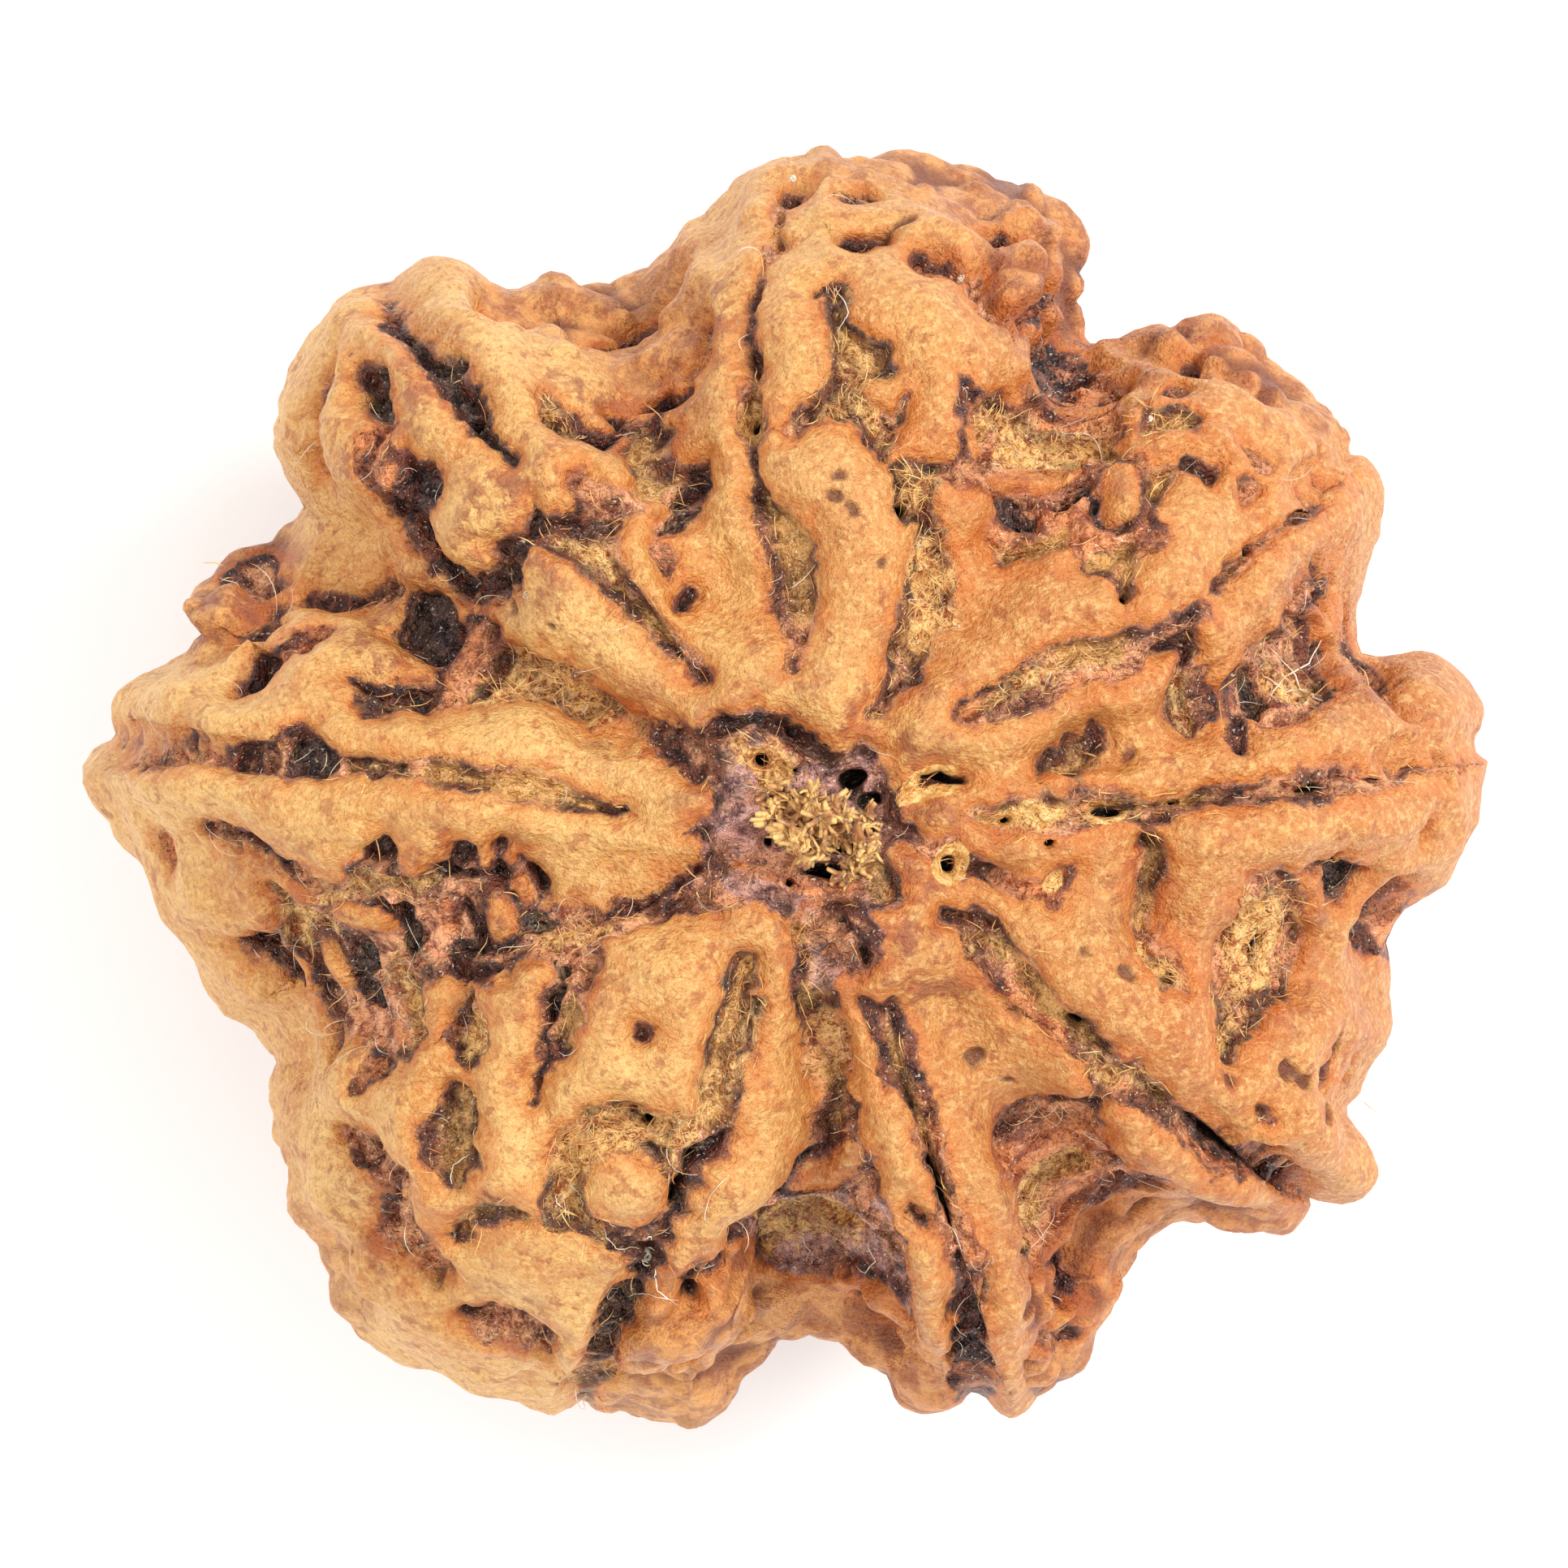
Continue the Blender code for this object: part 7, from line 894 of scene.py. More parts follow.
# Name, place in metres, width in metres, power in watts
LAMPS = (
    ("key", (0.26, 0.12, 0.4), 0.25, 4.5),
    ("fill", (-0.2, -0.1, 0.4), 0.35, 0.6),
)
FLOOR_CORNERS = np.array([(-0.8, -0.8, 0.0), (0.8, -0.8, 0.0), (0.8, 0.8, 0.0), (-0.8, 0.8, 0.0)])


def smooth(value, low, high):
    """0 below low, 1 above high, and an even S between them."""
    part = np.clip((value - low) / (high - low), 0.0, 1.0)
    return part * part * (3.0 - 2.0 * part)


def outline_radii():
    """The outline's radius round the pole at each whole degree, as read and evened out over each lobe."""
    corners = np.array(OUTLINE) - POLE
    ways = np.degrees(np.arctan2(corners[:, 1], corners[:, 0])) % 360.0
    order = np.argsort(ways)
    degrees = np.arange(360.0)
    sharp = np.interp(degrees, ways[order], np.hypot(*corners.T)[order], period=360.0)
    gap = (degrees + 180.0) % 360.0 - 180.0
    weight = np.exp(-((gap / LOBE_EVENING) ** 2))
    even = np.real(np.fft.ifft(np.fft.fft(sharp) * np.fft.fft(weight / weight.sum())))
    return degrees, sharp, even


DEGREES, SHARP_RADII, EVEN_RADII = outline_radii()


def base_surface(tilt, way):
    """Points of the lobed ball before its relief. tilt is from the top pole and way round it, in radians."""
    turn = np.degrees(way) % 360.0
    sharp = np.interp(turn, DEGREES, SHARP_RADII, period=360.0)
    even = np.interp(turn, DEGREES, EVEN_RADII, period=360.0)
    lean = np.degrees(tilt)
    at_rim = smooth(lean, *RIM_SHAPE_IN) * (1.0 - RIM_SHAPE_LOST * smooth(lean, *RIM_SHAPE_OUT))
    reach = even + (sharp - even) * at_rim
    above = np.cos(tilt) >= 0.0
    height = np.where(above, HEIGHT_ABOVE, HEIGHT_BELOW)
    power = np.where(above, FULLNESS_ABOVE, FULLNESS_BELOW)
    across = (np.sin(tilt) / reach) ** power
    upright = (np.abs(np.cos(tilt)) / height) ** power
    radius = (across + upright) ** (-1.0 / power)
    flat_radius = radius * np.sin(tilt)
    open_valley = smooth(lean, *VALLEY_IN) * (1.0 - smooth(lean, *VALLEY_OUT))
    open_valley *= 1.0 - VALLEY_LOST_AT_RIM * np.exp(-(((lean - 90.0) / VALLEY_RIM_LEAN) ** 2))
    for valley_way, depth, half_width in VALLEYS:
        turned = (turn - valley_way + 180.0) % 360.0 - 180.0
        aside = np.radians(turned) * flat_radius
        radius = radius - depth * open_valley * np.exp(-np.abs(aside / half_width) ** VALLEY_PROFILE)
    radius = radius - HOLLOW_DEPTH * above * np.exp(-((flat_radius / HOLLOW_RADIUS) ** 2))
    return np.stack(
        [
            POLE[0] + radius * np.sin(tilt) * np.cos(way),
            POLE[1] + radius * np.sin(tilt) * np.sin(way),
            radius * np.cos(tilt),
        ],
        axis=-1,
    )


def lay_on_top(points):
    """Points (x, y, half width) seen from above, laid on the upper surface as (x, y, z, half width).

    A recess that runs round the rim looks narrower from above than it is, so its width is stretched back."""
    points = np.array(points, float).reshape(-1, 3)
    offset = points[:, :2] - POLE
    way = np.arctan2(offset[:, 1], offset[:, 0])
    reach = np.hypot(*offset.T)
    low = np.zeros(len(points))
    high = np.full(len(points), math.radians(90.0))
    for _ in range(30):
        middle = (low + high) / 2
        found = np.hypot(*(base_surface(middle, way)[:, :2] - POLE).T)
        low = np.where(found < reach, middle, low)
        high = np.where(found < reach, high, middle)
    laid = base_surface((low + high) / 2, way)
    if len(points) > 1:
        along = np.gradient(points[:, :2], axis=0)
        along /= np.maximum(np.hypot(*along.T), 1e-6)[:, None]
        outward = offset / np.maximum(reach, 1e-6)[:, None]
        round_rim = np.abs(along[:, 0] * outward[:, 1] - along[:, 1] * outward[:, 0])
    else:
        round_rim = np.full(1, 0.5)
    steepness = 1.0 / np.maximum(np.sin(np.arctan2(laid[:, 2] * STEEPENING, reach)), 1.0 / WIDEST_STRETCH)
    width = points[:, 2] * (1.0 + (steepness - 1.0) * round_rim)
    return np.column_stack([laid, np.maximum(width, SLIMMEST)])


def reach_of(places, stroke, margin):
    """Indexes of the places near a stroke, and their signed distance to its edge: below 0 inside it."""
    widest = stroke[:, 3].max() + margin
    low = stroke[:, :3].min(axis=0) - widest
    high = stroke[:, :3].max(axis=0) + widest
    near = np.flatnonzero(np.all((places > low) & (places < high), axis=1))
    if not len(near):
        return near, np.zeros(0)
    spots = places[near]
    best = np.full(len(near), 9.0)
    starts = stroke[:-1] if len(stroke) > 1 else stroke
    ends = stroke[1:] if len(stroke) > 1 else stroke
    for start, end in zip(starts, ends):
        run = end[:3] - start[:3]
        share = np.clip((spots - start[:3]) @ run / max(run @ run, 1e-9), 0.0, 1.0)
        away = np.linalg.norm(spots - start[:3] - share[:, None] * run, axis=1)
        best = np.minimum(best, away - (start[3] + (end[3] - start[3]) * share))
    return near, best


def edge_distances(places, strokes, margin=EDGE_REACH):
    """The signed distance from each place to the nearest stroke's edge."""
    nearest = np.full(len(places), margin)
    for stroke in strokes:
        near, best = reach_of(places, stroke, margin)
        nearest[near] = np.minimum(nearest[near], best)
    return nearest


def area_distances(places, areas, margin=EDGE_REACH):
    """The signed distance, as seen from above, from each place to the nearest area's edge."""
    nearest = np.full(len(places), margin)
    for outline in areas:
        corners = np.array(outline)
        low = corners.min(axis=0) - margin
        high = corners.max(axis=0) + margin
        near = np.flatnonzero(np.all((places[:, :2] > low) & (places[:, :2] < high), axis=1))
        spots = places[near, :2]
        best = np.full(len(near), margin)
        inside = np.zeros(len(near), bool)
        for start, end in zip(corners, np.roll(corners, -1, axis=0)):
            run = end - start
            share = np.clip((spots - start) @ run / max(run @ run, 1e-9), 0.0, 1.0)
            best = np.minimum(best, np.hypot(*(spots - start - share[:, None] * run).T))
            crossed = (start[1] > spots[:, 1]) != (end[1] > spots[:, 1])
            across = start[0] + (spots[:, 1] - start[1]) * run[0] / (run[1] or 1e-9)
            inside ^= crossed & (spots[:, 0] < across)
        nearest[near] = np.minimum(nearest[near], np.where(inside, -best, best))
    return nearest


def waves(places, sizes, seed):
    """Smooth uneven heights, from waves in seeded directions: sizes holds (length, height) pairs."""
    rng = np.random.default_rng(seed)
    total = np.zeros(len(places))
    for size, height in sizes:
        for _ in range(WAVES_PER_SIZE):
            way = rng.normal(size=3)
            way *= 2.0 * math.pi / (size * np.linalg.norm(way))
            total += height / math.sqrt(WAVES_PER_SIZE) * np.sin(places @ way + rng.uniform(0.0, 6.28))
    return total


def pattern_place(tilt, way, places):
    """Where on the upper side each place's pattern is read: there itself, or for the lower side above it."""
    below = smooth(np.degrees(tilt), *BEND_LEAN)
    bends = [np.radians(waves(places, BENDS, seed)) * below for seed in BEND_SEEDS]
    above = np.clip(np.minimum(tilt, math.pi - tilt) + bends[0], 0.0, math.pi / 2)
    return base_surface(above, way + bends[1])


def recess(edge, floor):
    """How far the surface is sunk at a signed distance from a recess's edge: shoulders, then a steep wall."""
    share = np.minimum(floor, 1.0)
    sunk = np.zeros(len(edge))
    for width, drop in SHOULDERS:
        sunk += drop * share * np.clip(1.0 - np.maximum(edge, 0.0) / width, 0.0, 1.0) ** 2
    whole_drop = sum(drop for _, drop in SHOULDERS) * share
    return sunk + smooth(-edge, 0.0, WALL_WIDTH) * (floor - whole_drop)


def nearness_of(edges, deepest, blend=KIND_BLEND):
    """How near each kind of recess is: the nearest, and inside several the deepest in, counts most."""
    return {kind: np.exp(-np.clip(edge, -deepest, EDGE_REACH) / blend) for kind, edge in edges.items()}


def sunk_by(edges, depths, island, deepest):
    """How far strokes or beds sink the surface, from the distance to each kind's edge."""
    nearness = nearness_of(edges, deepest)
    floor = sum(nearness[kind] * depths[kind] for kind in edges) / sum(nearness.values())
    return recess(np.maximum(np.minimum.reduce(list(edges.values())), -island), floor)


def knob_shares(places):
    """How high each place stands on the small knobs of the rear and the rim: 0 between them, 1 on top."""
    rng = np.random.default_rng(KNOB_SEED)
    tilts = np.arccos(rng.uniform(0.0, math.cos(math.radians(KNOBS_FROM)), KNOB_COUNT))
    centres = base_surface(tilts, rng.uniform(-math.pi, math.pi, KNOB_COUNT))
    order = np.argsort(places[:, 0])
    across = places[order, 0]
    shares = np.zeros(len(places))
    for centre, reach, height in zip(
        centres, rng.uniform(*KNOB_REACH, KNOB_COUNT), rng.uniform(*KNOB_STANDING, KNOB_COUNT)
    ):
        first, last = np.searchsorted(across, (centre[0] - reach, centre[0] + reach))
        near = order[first:last]
        away = np.sum((places[near] - centre) ** 2, axis=1) / reach**2
        shares[near] = np.maximum(shares[near], height * np.maximum(1.0 - away, 0.0))
    return shares


def inside_share(places, runs, span, wobble=0.0):
    """How far inside the nearest run of points each place is, from 0 to 1 over a span of millimetres."""
    return smooth(-edge_distances(places, [lay_on_top(points) for points in runs]) - wobble, *span)


def relief(places, lean):
    """How far each place of the lobed ball is sunk, in millimetres, and what its colour needs to know."""
    strokes = {kind: [] for kind in FLOOR_DEPTH}
    for group in UPPER_RECESSES:
        for kind, *points in group:
            strokes[kind].append(lay_on_top(points))
    areas = {kind: [] for kind in BED_DEPTH}
    for kind, *corners in HOLLOWS:
        areas[kind].append(corners)
    wobble = waves(places, EDGE_WOBBLE, EDGE_SEED)
    island = edge_distances(places, [lay_on_top(points) for points in ISLANDS])
    stroke_edges = {kind: edge_distances(places, runs) + wobble for kind, runs in strokes.items()}
    bed_edges = {kind: area_distances(places, beds) + wobble for kind, beds in areas.items()}
    sunk = np.maximum(
        sunk_by(stroke_edges, FLOOR_DEPTH, island, DEEPEST_EDGE),
        sunk_by(bed_edges, BED_DEPTH, island, 0.0),
    )
    pit_edge = np.maximum(np.minimum.reduce(list(stroke_edges.values())), -island)
    bed_edge = np.maximum(np.minimum.reduce(list(bed_edges.values())), -island)
    edge = np.minimum(pit_edge, bed_edge)
    groove = smooth(waves(places, FOOT_WAVES, FOOT_SEED), *GROOVED)
    sunk += FOOT_GROOVE * groove * np.exp(-(((edge - FOOT_GROOVE_AT) / FOOT_GROOVE_WIDTH) ** 2))
    nearness = nearness_of(stroke_edges, DEEPEST_EDGE, COLOUR_BLEND)
    for kind, near in nearness_of(bed_edges, 0.0, COLOUR_BLEND).items():
        nearness[kind] = nearness[kind] + near
    total = sum(nearness.values())
    facts = {kind: near / total for kind, near in nearness.items()}
    rough = sum(facts[kind] * height for kind, height in FLOOR_ROUGHNESS.items())
    sunk += smooth(-edge, *ROUGHNESS_IN) * rough * waves(places, FLOOR_WAVES, FLOOR_SEED)
    hole = inside_share(places, PORES, HOLE_IN, HOLE_WOBBLE * wobble)
    sunk += HOLE_DEPTH * hole
    step = smooth(-area_distances(places, REAR_STEPS), -STEP_SLOPE / 2, STEP_SLOPE / 2)
    sunk += step * (STEP_DEPTH - STEP_LUMP_HEIGHT * inside_share(places, STEP_LUMPS, STEP_LUMP_IN))
    sunk -= ROPE_HEIGHT * inside_share(places, ROPES, ROPE_IN)
    plug = inside_share(places, PLUG, PLUG_IN)
    sunk -= plug * (PLUG_HEIGHT + waves(places, PLUG_WAVES, PLUG_SEED))
    dot = inside_share(places, DOTS, DOT_IN, wobble)
    sunk += DOT_DEPTH * dot
    sunk *= 1.0 - RIM_FADE * np.exp(-(((lean - 90.0) / RIM_FADE_LEAN) ** 2))
    rear = np.maximum(step, RIM_KNOBS * smooth(np.minimum(lean, 180.0 - lean), *RIM_KNOBS_IN))
    knob = knob_shares(places)
    sunk -= KNOB_HEIGHT * rear * (knob - KNOB_LEVEL) * (1.0 - smooth(-edge, *KNOBS_OUT))
    facts.update(edge=edge, pit_edge=pit_edge, step=step, plug=plug, dot=dot, hole=hole)
    facts["golden"] = inside_share(places, GOLDEN, GOLDEN_IN)
    facts["stain"] = inside_share(places, STAINS, STAIN_IN)
    # where painted shade goes: the hollows between the knobs of the rear steps and the rim
    facts["crease_shade"] = rear * (1.0 - knob)
    return sunk, facts


def even_ball(count):
    """Corners and square faces of a cube's surface blown up to a ball, count squares along each edge."""
    across = np.arange(count + 1)
    first, second = np.meshgrid(across, across, indexing="ij")
    sides = []
    for axis in range(3):
        for level in (0, count):
            corners = np.empty((count + 1, count + 1, 3), int)
            corners[..., axis] = level
            corners[..., (axis + 1) % 3] = first if level else second
            corners[..., (axis + 2) % 3] = second if level else first
            sides.append(corners)
    corners = np.array(sides).reshape(-1, 3)
    keys = (corners[:, 0] * (count + 1) + corners[:, 1]) * (count + 1) + corners[:, 2]
    _, firsts, index = np.unique(keys, return_index=True, return_inverse=True)
    index = index.reshape(6, count + 1, count + 1)
    faces = np.stack([index[:, :-1, :-1], index[:, 1:, :-1], index[:, 1:, 1:], index[:, :-1, 1:]], axis=-1)
    cube = np.tan((corners[firsts] / count * 2.0 - 1.0) * math.pi / 4)
    return cube / np.linalg.norm(cube, axis=1)[:, None], faces.reshape(-1, 4)


def mesh_of(name, places, faces):
    """A mesh from arrays of points and of faces that all have as many corners."""
    mesh = bpy.data.meshes.new(name)
    corners = faces.shape[1]
    mesh.vertices.add(len(places))
    mesh.vertices.foreach_set("co", np.ascontiguousarray(places, np.float32).ravel())
    mesh.loops.add(faces.size)
    mesh.loops.foreach_set("vertex_index", np.ascontiguousarray(faces, np.int32).ravel())
    mesh.polygons.add(len(faces))
    mesh.polygons.foreach_set("loop_start", np.arange(0, faces.size, corners, dtype=np.int32))
    mesh.update(calc_edges=True)
    mesh.validate()
    mesh.shade_smooth()
    return mesh


def coordinates(mesh):
    found = np.empty(len(mesh.vertices) * 3)
    mesh.vertices.foreach_get("co", found)
    return found.reshape(-1, 3)


def set_coordinates(mesh, places):
    mesh.vertices.foreach_set("co", np.ascontiguousarray(places, np.float32).ravel())
    mesh.update()


def vertex_normals(mesh):
    found = np.empty(len(mesh.vertices) * 3)
    mesh.vertex_normals.foreach_get("vector", found)
    return found.reshape(-1, 3)


def give_facts(mesh, facts):
    for name, values in facts.items():
        layer = mesh.attributes.new(name, "FLOAT", "POINT")
        layer.data.foreach_set("value", values.astype(np.float32))


def fact(mesh, name):
    found = np.empty(len(mesh.vertices), np.float32)
    mesh.attributes[name].data.foreach_get("value", found)
    return found


def add_piece(name, mesh, material):
    """An object for a mesh, riding on the seed."""
    piece = bpy.data.objects.new(name, mesh)
    bpy.context.scene.collection.objects.link(piece)
    mesh.materials.append(material)
    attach(piece, "root")
    return piece


def thin_faces(mesh, wanted):
    """The mesh with no more triangles than wanted, kept where the form needs them, and more of them above."""
    helper = bpy.data.objects.new("thinning", mesh)
    bpy.context.scene.collection.objects.link(helper)
    below = coordinates(mesh)[:, 2] < 0.0
    ease = helper.vertex_groups.new(name="ease")
    for side, freedom in ((below, 1.0), (~below, TOP_FREEDOM)):
        ease.add(np.flatnonzero(side).tolist(), freedom, "REPLACE")
    thin = helper.modifiers.new("fewer faces", "DECIMATE")
    thin.ratio = min(1.0, wanted / (2.0 * len(mesh.polygons)))
    thin.vertex_group = ease.name
    thin.vertex_group_factor = TOP_KEPT_FINE
    graph = bpy.context.evaluated_depsgraph_get()
    thinned = bpy.data.meshes.new_from_object(helper.evaluated_get(graph))
    bpy.data.objects.remove(helper)
    bpy.data.meshes.remove(mesh)
    thinned.shade_smooth()
    return thinned


def seed_mesh():
    """The fine form of the seed in millimetres, with the facts that its colour needs."""
    ways, faces = even_ball(GRID)
    tilt = np.arccos(np.clip(ways[:, 2], -1.0, 1.0))
    tilt = tilt - TOP_CROWDING * np.sin(tilt)
    way = np.arctan2(ways[:, 1], ways[:, 0])
    places = base_surface(tilt, way)
    mesh = mesh_of("fine_seed", places, faces)
    normals = vertex_normals(mesh)
    lean = np.degrees(tilt)
    upright = STRAIGHT_DOWN * (1.0 - smooth(lean, *STRAIGHT_DOWN_OUT))[:, None]
    sink_way = normals * (1.0 - upright) + np.array([0.0, 0.0, 1.0]) * upright
    sink_way /= np.linalg.norm(sink_way, axis=1)[:, None]
    shown = (1.0 - smooth(lean, *SMOOTH_BELOW))[:, None]
    sunk, facts = relief(pattern_place(tilt, way, places), lean)
    facts["east"] = smooth(places[:, 0], *EAST_TONE)
    facts["plug"] = facts["plug"] * (lean < 90.0)
    lumps = waves(places, LUMPS, LUMP_SEED)[:, None]
    places = places + shown * (normals * lumps - sink_way * sunk[:, None])
    set_coordinates(mesh, places)
    give_facts(mesh, facts)
    if 2 * len(faces) > FACES_WANTED:
        mesh = thin_faces(mesh, FACES_WANTED)
    places = coordinates(mesh)
    places[:, 2] = np.maximum(places[:, 2], places[:, 2].min() + FLAT_CUT)
    set_coordinates(mesh, places)
    return mesh


def fit_of(mesh):
    """The scale and shift that set the seed's millimetres in the CAD box, in metres."""
    places = coordinates(mesh)
    low, high = places.min(axis=0), places.max(axis=0)
    cad_low, cad_high = np.array(CAD_BOX)
    scale = (cad_high[0] - cad_low[0]) / (high[0] - low[0])
    shift = (cad_low + cad_high) / 2 - scale * (low + high) / 2
    shift[2] = cad_low[2] - scale * low[2]
    return scale, shift


def fit_to_frame(mesh, scale, shift):
    set_coordinates(mesh, coordinates(mesh) * scale + shift)


def unit(vectors):
    return vectors / np.maximum(np.linalg.norm(vectors, axis=-1, keepdims=True), 1e-9)


def tubes(paths, radii, sides, flatness):
    """Points and triangles of thin fibres closed at both ends.

    paths is (fibre, step, xyz) and radii (fibre, step)."""
    runs = unit(np.gradient(paths, axis=1))
    aside = unit(np.cross(runs, (0.31, 0.17, 0.93)))
    over = np.cross(runs, aside)
    turns = (np.arange(sides) * 2.0 * math.pi / sides)[:, None]
    out = np.cos(turns) * aside[:, :, None] + flatness * np.sin(turns) * over[:, :, None]
    points = paths[:, :, None] + radii[:, :, None, None] * out
    index = np.arange(points.size // 3).reshape(points.shape[:3])
    near, far = index[:, :-1], index[:, 1:]
    near_next, far_next = np.roll(near, -1, axis=2), np.roll(far, -1, axis=2)
    faces = [np.stack([near, near_next, far_next], axis=-1), np.stack([near, far_next, far], axis=-1)]
    for side in range(1, sides - 1):
        faces.append(index[:, 0][:, [0, side + 1, side]])
        faces.append(index[:, -1][:, [0, side, side + 1]])
    return points.reshape(-1, 3), np.concatenate([part.reshape(-1, 3) for part in faces])


def fibre_piece(name, paths, radius, sides, rng, material, flatness=1.0, bluntness=0.0):
    """A piece of thin fibres, each thicker in its middle the less blunt it is.

    radius is the least and the most."""
    count, steps = paths.shape[:2]
    taper = np.sin(np.linspace(0.5, 2.75, steps)) ** (1.0 - bluntness)
    radii = rng.uniform(*radius, count)[:, None] * taper
    return add_piece(name, mesh_of(name, *tubes(paths, radii, sides, flatness)), material)


def grown_fibres(rng, mesh, weights, part, count, length, lift, curl, steps=5, outward=0.0, combed=0.0):
    """Paths of part of count fibres rooted where weights is high: each runs along the surface and curls.

    outward is the share of the run's direction that points away from the top pole, or back to it, and combed
    the share in which neighbours run alike."""
    places, normals = coordinates(mesh), vertex_normals(mesh)
    count = int(count * part)
    chosen = rng.choice(len(places), size=count, p=weights / weights.sum())
    roots, normal = places[chosen], normals[chosen]
    out = unit((roots - (*POLE, 0.0)) * (1.0, 1.0, 0.0)) * rng.choice((-1.0, 1.0), count)[:, None]
    comb = unit(np.column_stack([waves(roots, ((COMB_SIZE, 1.0),), seed) for seed in COMB_SEEDS]))
    along = unit(rng.normal(size=(count, 3))) * (1.0 - outward - combed) + out * outward + comb * combed
    along = unit(along - np.sum(along * normal, axis=1)[:, None] * normal)
    side = np.cross(normal, along)
    share = np.linspace(0.0, 1.0, steps)
    angle = rng.uniform(-curl, curl, count)[:, None] * share
    size = rng.uniform(*length, count)[:, None]
    forward = np.cumsum(np.cos(angle), axis=1) * size / steps
    sideways = np.cumsum(np.sin(angle), axis=1) * size / steps
    rise = rng.uniform(*lift, count)[:, None] * share * (1.4 - share) * 2.0 * size
    rise += 0.08 * size * np.sin(share * 5.0 + rng.uniform(0.0, 6.28, count)[:, None]) * share - 0.03
    return (
        roots[:, None]
        + forward[:, :, None] * along[:, None]
        + sideways[:, :, None] * side[:, None]
        + rise[:, :, None] * normal[:, None]
    )


def top_of(tree, x, y):
    """The height of the seed's surface as seen from above, or of its rim beside it."""
    return (tree.ray_cast((x, y, 30.0), (0.0, 0.0, -1.0))[0] or (x, y, 0.0))[2]


def laid_hairs(rng, tree, runs, steps=14):
    """Paths of hairs that lie on the seed along runs of points (x, y) seen from above."""
    paths = []
    for run in runs:
        corners = np.array(run)
        along = np.concatenate([[0.0], np.cumsum(np.hypot(*np.diff(corners, axis=0).T))])
        even = np.linspace(0.0, along[-1], steps)
        across = np.column_stack([np.interp(even, along, corners[:, axis]) for axis in range(2)])
        across += np.cumsum(rng.normal(0.0, 0.02, across.shape), axis=0)
        heights = np.array([top_of(tree, x, y) for x, y in across])
        level = np.convolve(np.pad(heights, 3, mode="edge"), np.ones(7) / 7.0, mode="valid")
        paths.append(np.column_stack([across, np.maximum(level, heights) + 0.04]))
    return np.array(paths)


def fluff(rng, tree, spots):
    """Paths of the short curled hairs that make each speck of fluff."""
    paths = []
    for x, y, size in spots:
        top = top_of(tree, x, y)
        for _ in range(FLUFF_HAIRS):
            turns = np.linspace(0.0, rng.uniform(2.0, 5.0), 8) + rng.uniform(0.0, 6.28)
            middle = np.array([x, y, top + size * 0.5]) + rng.normal(0.0, size * 0.4, 3)
            reach = size * rng.uniform(0.3, 0.8)
            paths.append(
                middle
                + np.column_stack([np.cos(turns), np.sin(turns), np.cos(turns * 0.7 + 1.0) * 0.5]) * reach
            )
    return np.array(paths)


def linear(red, green, blue):
    """A colour as seen on a screen, 0 to 255, as the light that a surface gives back."""
    return tuple((part / 255.0) ** 2.2 for part in (red, green, blue)) + (1.0,)


def colour_of(name):
    return linear(*COLOURS[name])


class Nodes:
    """Short calls that add and join a material's nodes."""

    def __init__(self, name):
        self.material = bpy.data.materials.new(name)
        self.material.use_nodes = True
        self.tree = self.material.node_tree
        self.shader = self.tree.nodes["Principled BSDF"]
        self.spots = self.tree.nodes.new("ShaderNodeTexCoord").outputs["Object"]

    def add(self, kind, **inputs):
        node = self.tree.nodes.new(kind)
        for name, value in inputs.items():
            self.join(node.inputs[name.replace("_", " ")], value)
        return node

    def join(self, socket, value):
        if isinstance(value, bpy.types.NodeSocket):
            self.tree.links.new(value, socket)
        else:
            socket.default_value = value

    def fact(self, name):
        node = self.tree.nodes.new("ShaderNodeAttribute")
        node.attribute_name = name
        return node.outputs["Fac"]

    def noise(self, per_mm, detail=3.0, rough=0.55, stretch=0.0):
        node = self.add("ShaderNodeTexNoise", Vector=self.spots, Scale=per_mm / MM, Detail=detail)
        node.inputs["Roughness"].default_value = rough
        node.inputs["Distortion"].default_value = stretch
        return node.outputs["Fac"]

    def span(self, value, low, high, to_low=0.0, to_high=1.0):
        """value from low to high, as a smooth run from to_low to to_high."""
        node = self.tree.nodes.new("ShaderNodeMapRange")
        node.interpolation_type = "SMOOTHSTEP"
        self.join(node.inputs["Value"], value)
        for name, number in (("From Min", low), ("From Max", high), ("To Min", to_low), ("To Max", to_high)):
            node.inputs[name].default_value = number
        return node.outputs["Result"]

    def math(self, operation, first, second=0.0):
        node = self.tree.nodes.new("ShaderNodeMath")
        node.operation = operation
        self.join(node.inputs[0], first)
        self.join(node.inputs[1], second)
        return node.outputs[0]

    def mix(self, share, first, second, most=1.0):
        """first where share is 0, and second, or as much of it as most says, where share is 1."""
        node = self.tree.nodes.new("ShaderNodeMix")
        node.data_type = "RGBA"
        self.join(node.inputs["Factor"], self.math("MULTIPLY", share, most) if most != 1.0 else share)
        self.join(node.inputs["A"], first)
        self.join(node.inputs["B"], second)
        return node.outputs["Result"]

    def patchwork(self, noise, low, high, first, second):
        """One named colour where the noise is low and another where it is high."""
        return self.mix(self.span(noise, low, high), colour_of(first), colour_of(second))

    def bump(self, height, strength, distance_mm, normal=None):
        node = self.add("ShaderNodeBump", Height=height, Strength=strength, Distance=distance_mm * MM)
        if normal is not None:
            self.join(node.inputs["Normal"], normal)
        return node.outputs["Normal"]

    def finish(self, colour, roughness, normal):
        self.join(self.shader.inputs["Base Color"], colour)
        self.join(self.shader.inputs["Roughness"], roughness)
        self.join(self.shader.inputs["Normal"], normal)
        return self.material


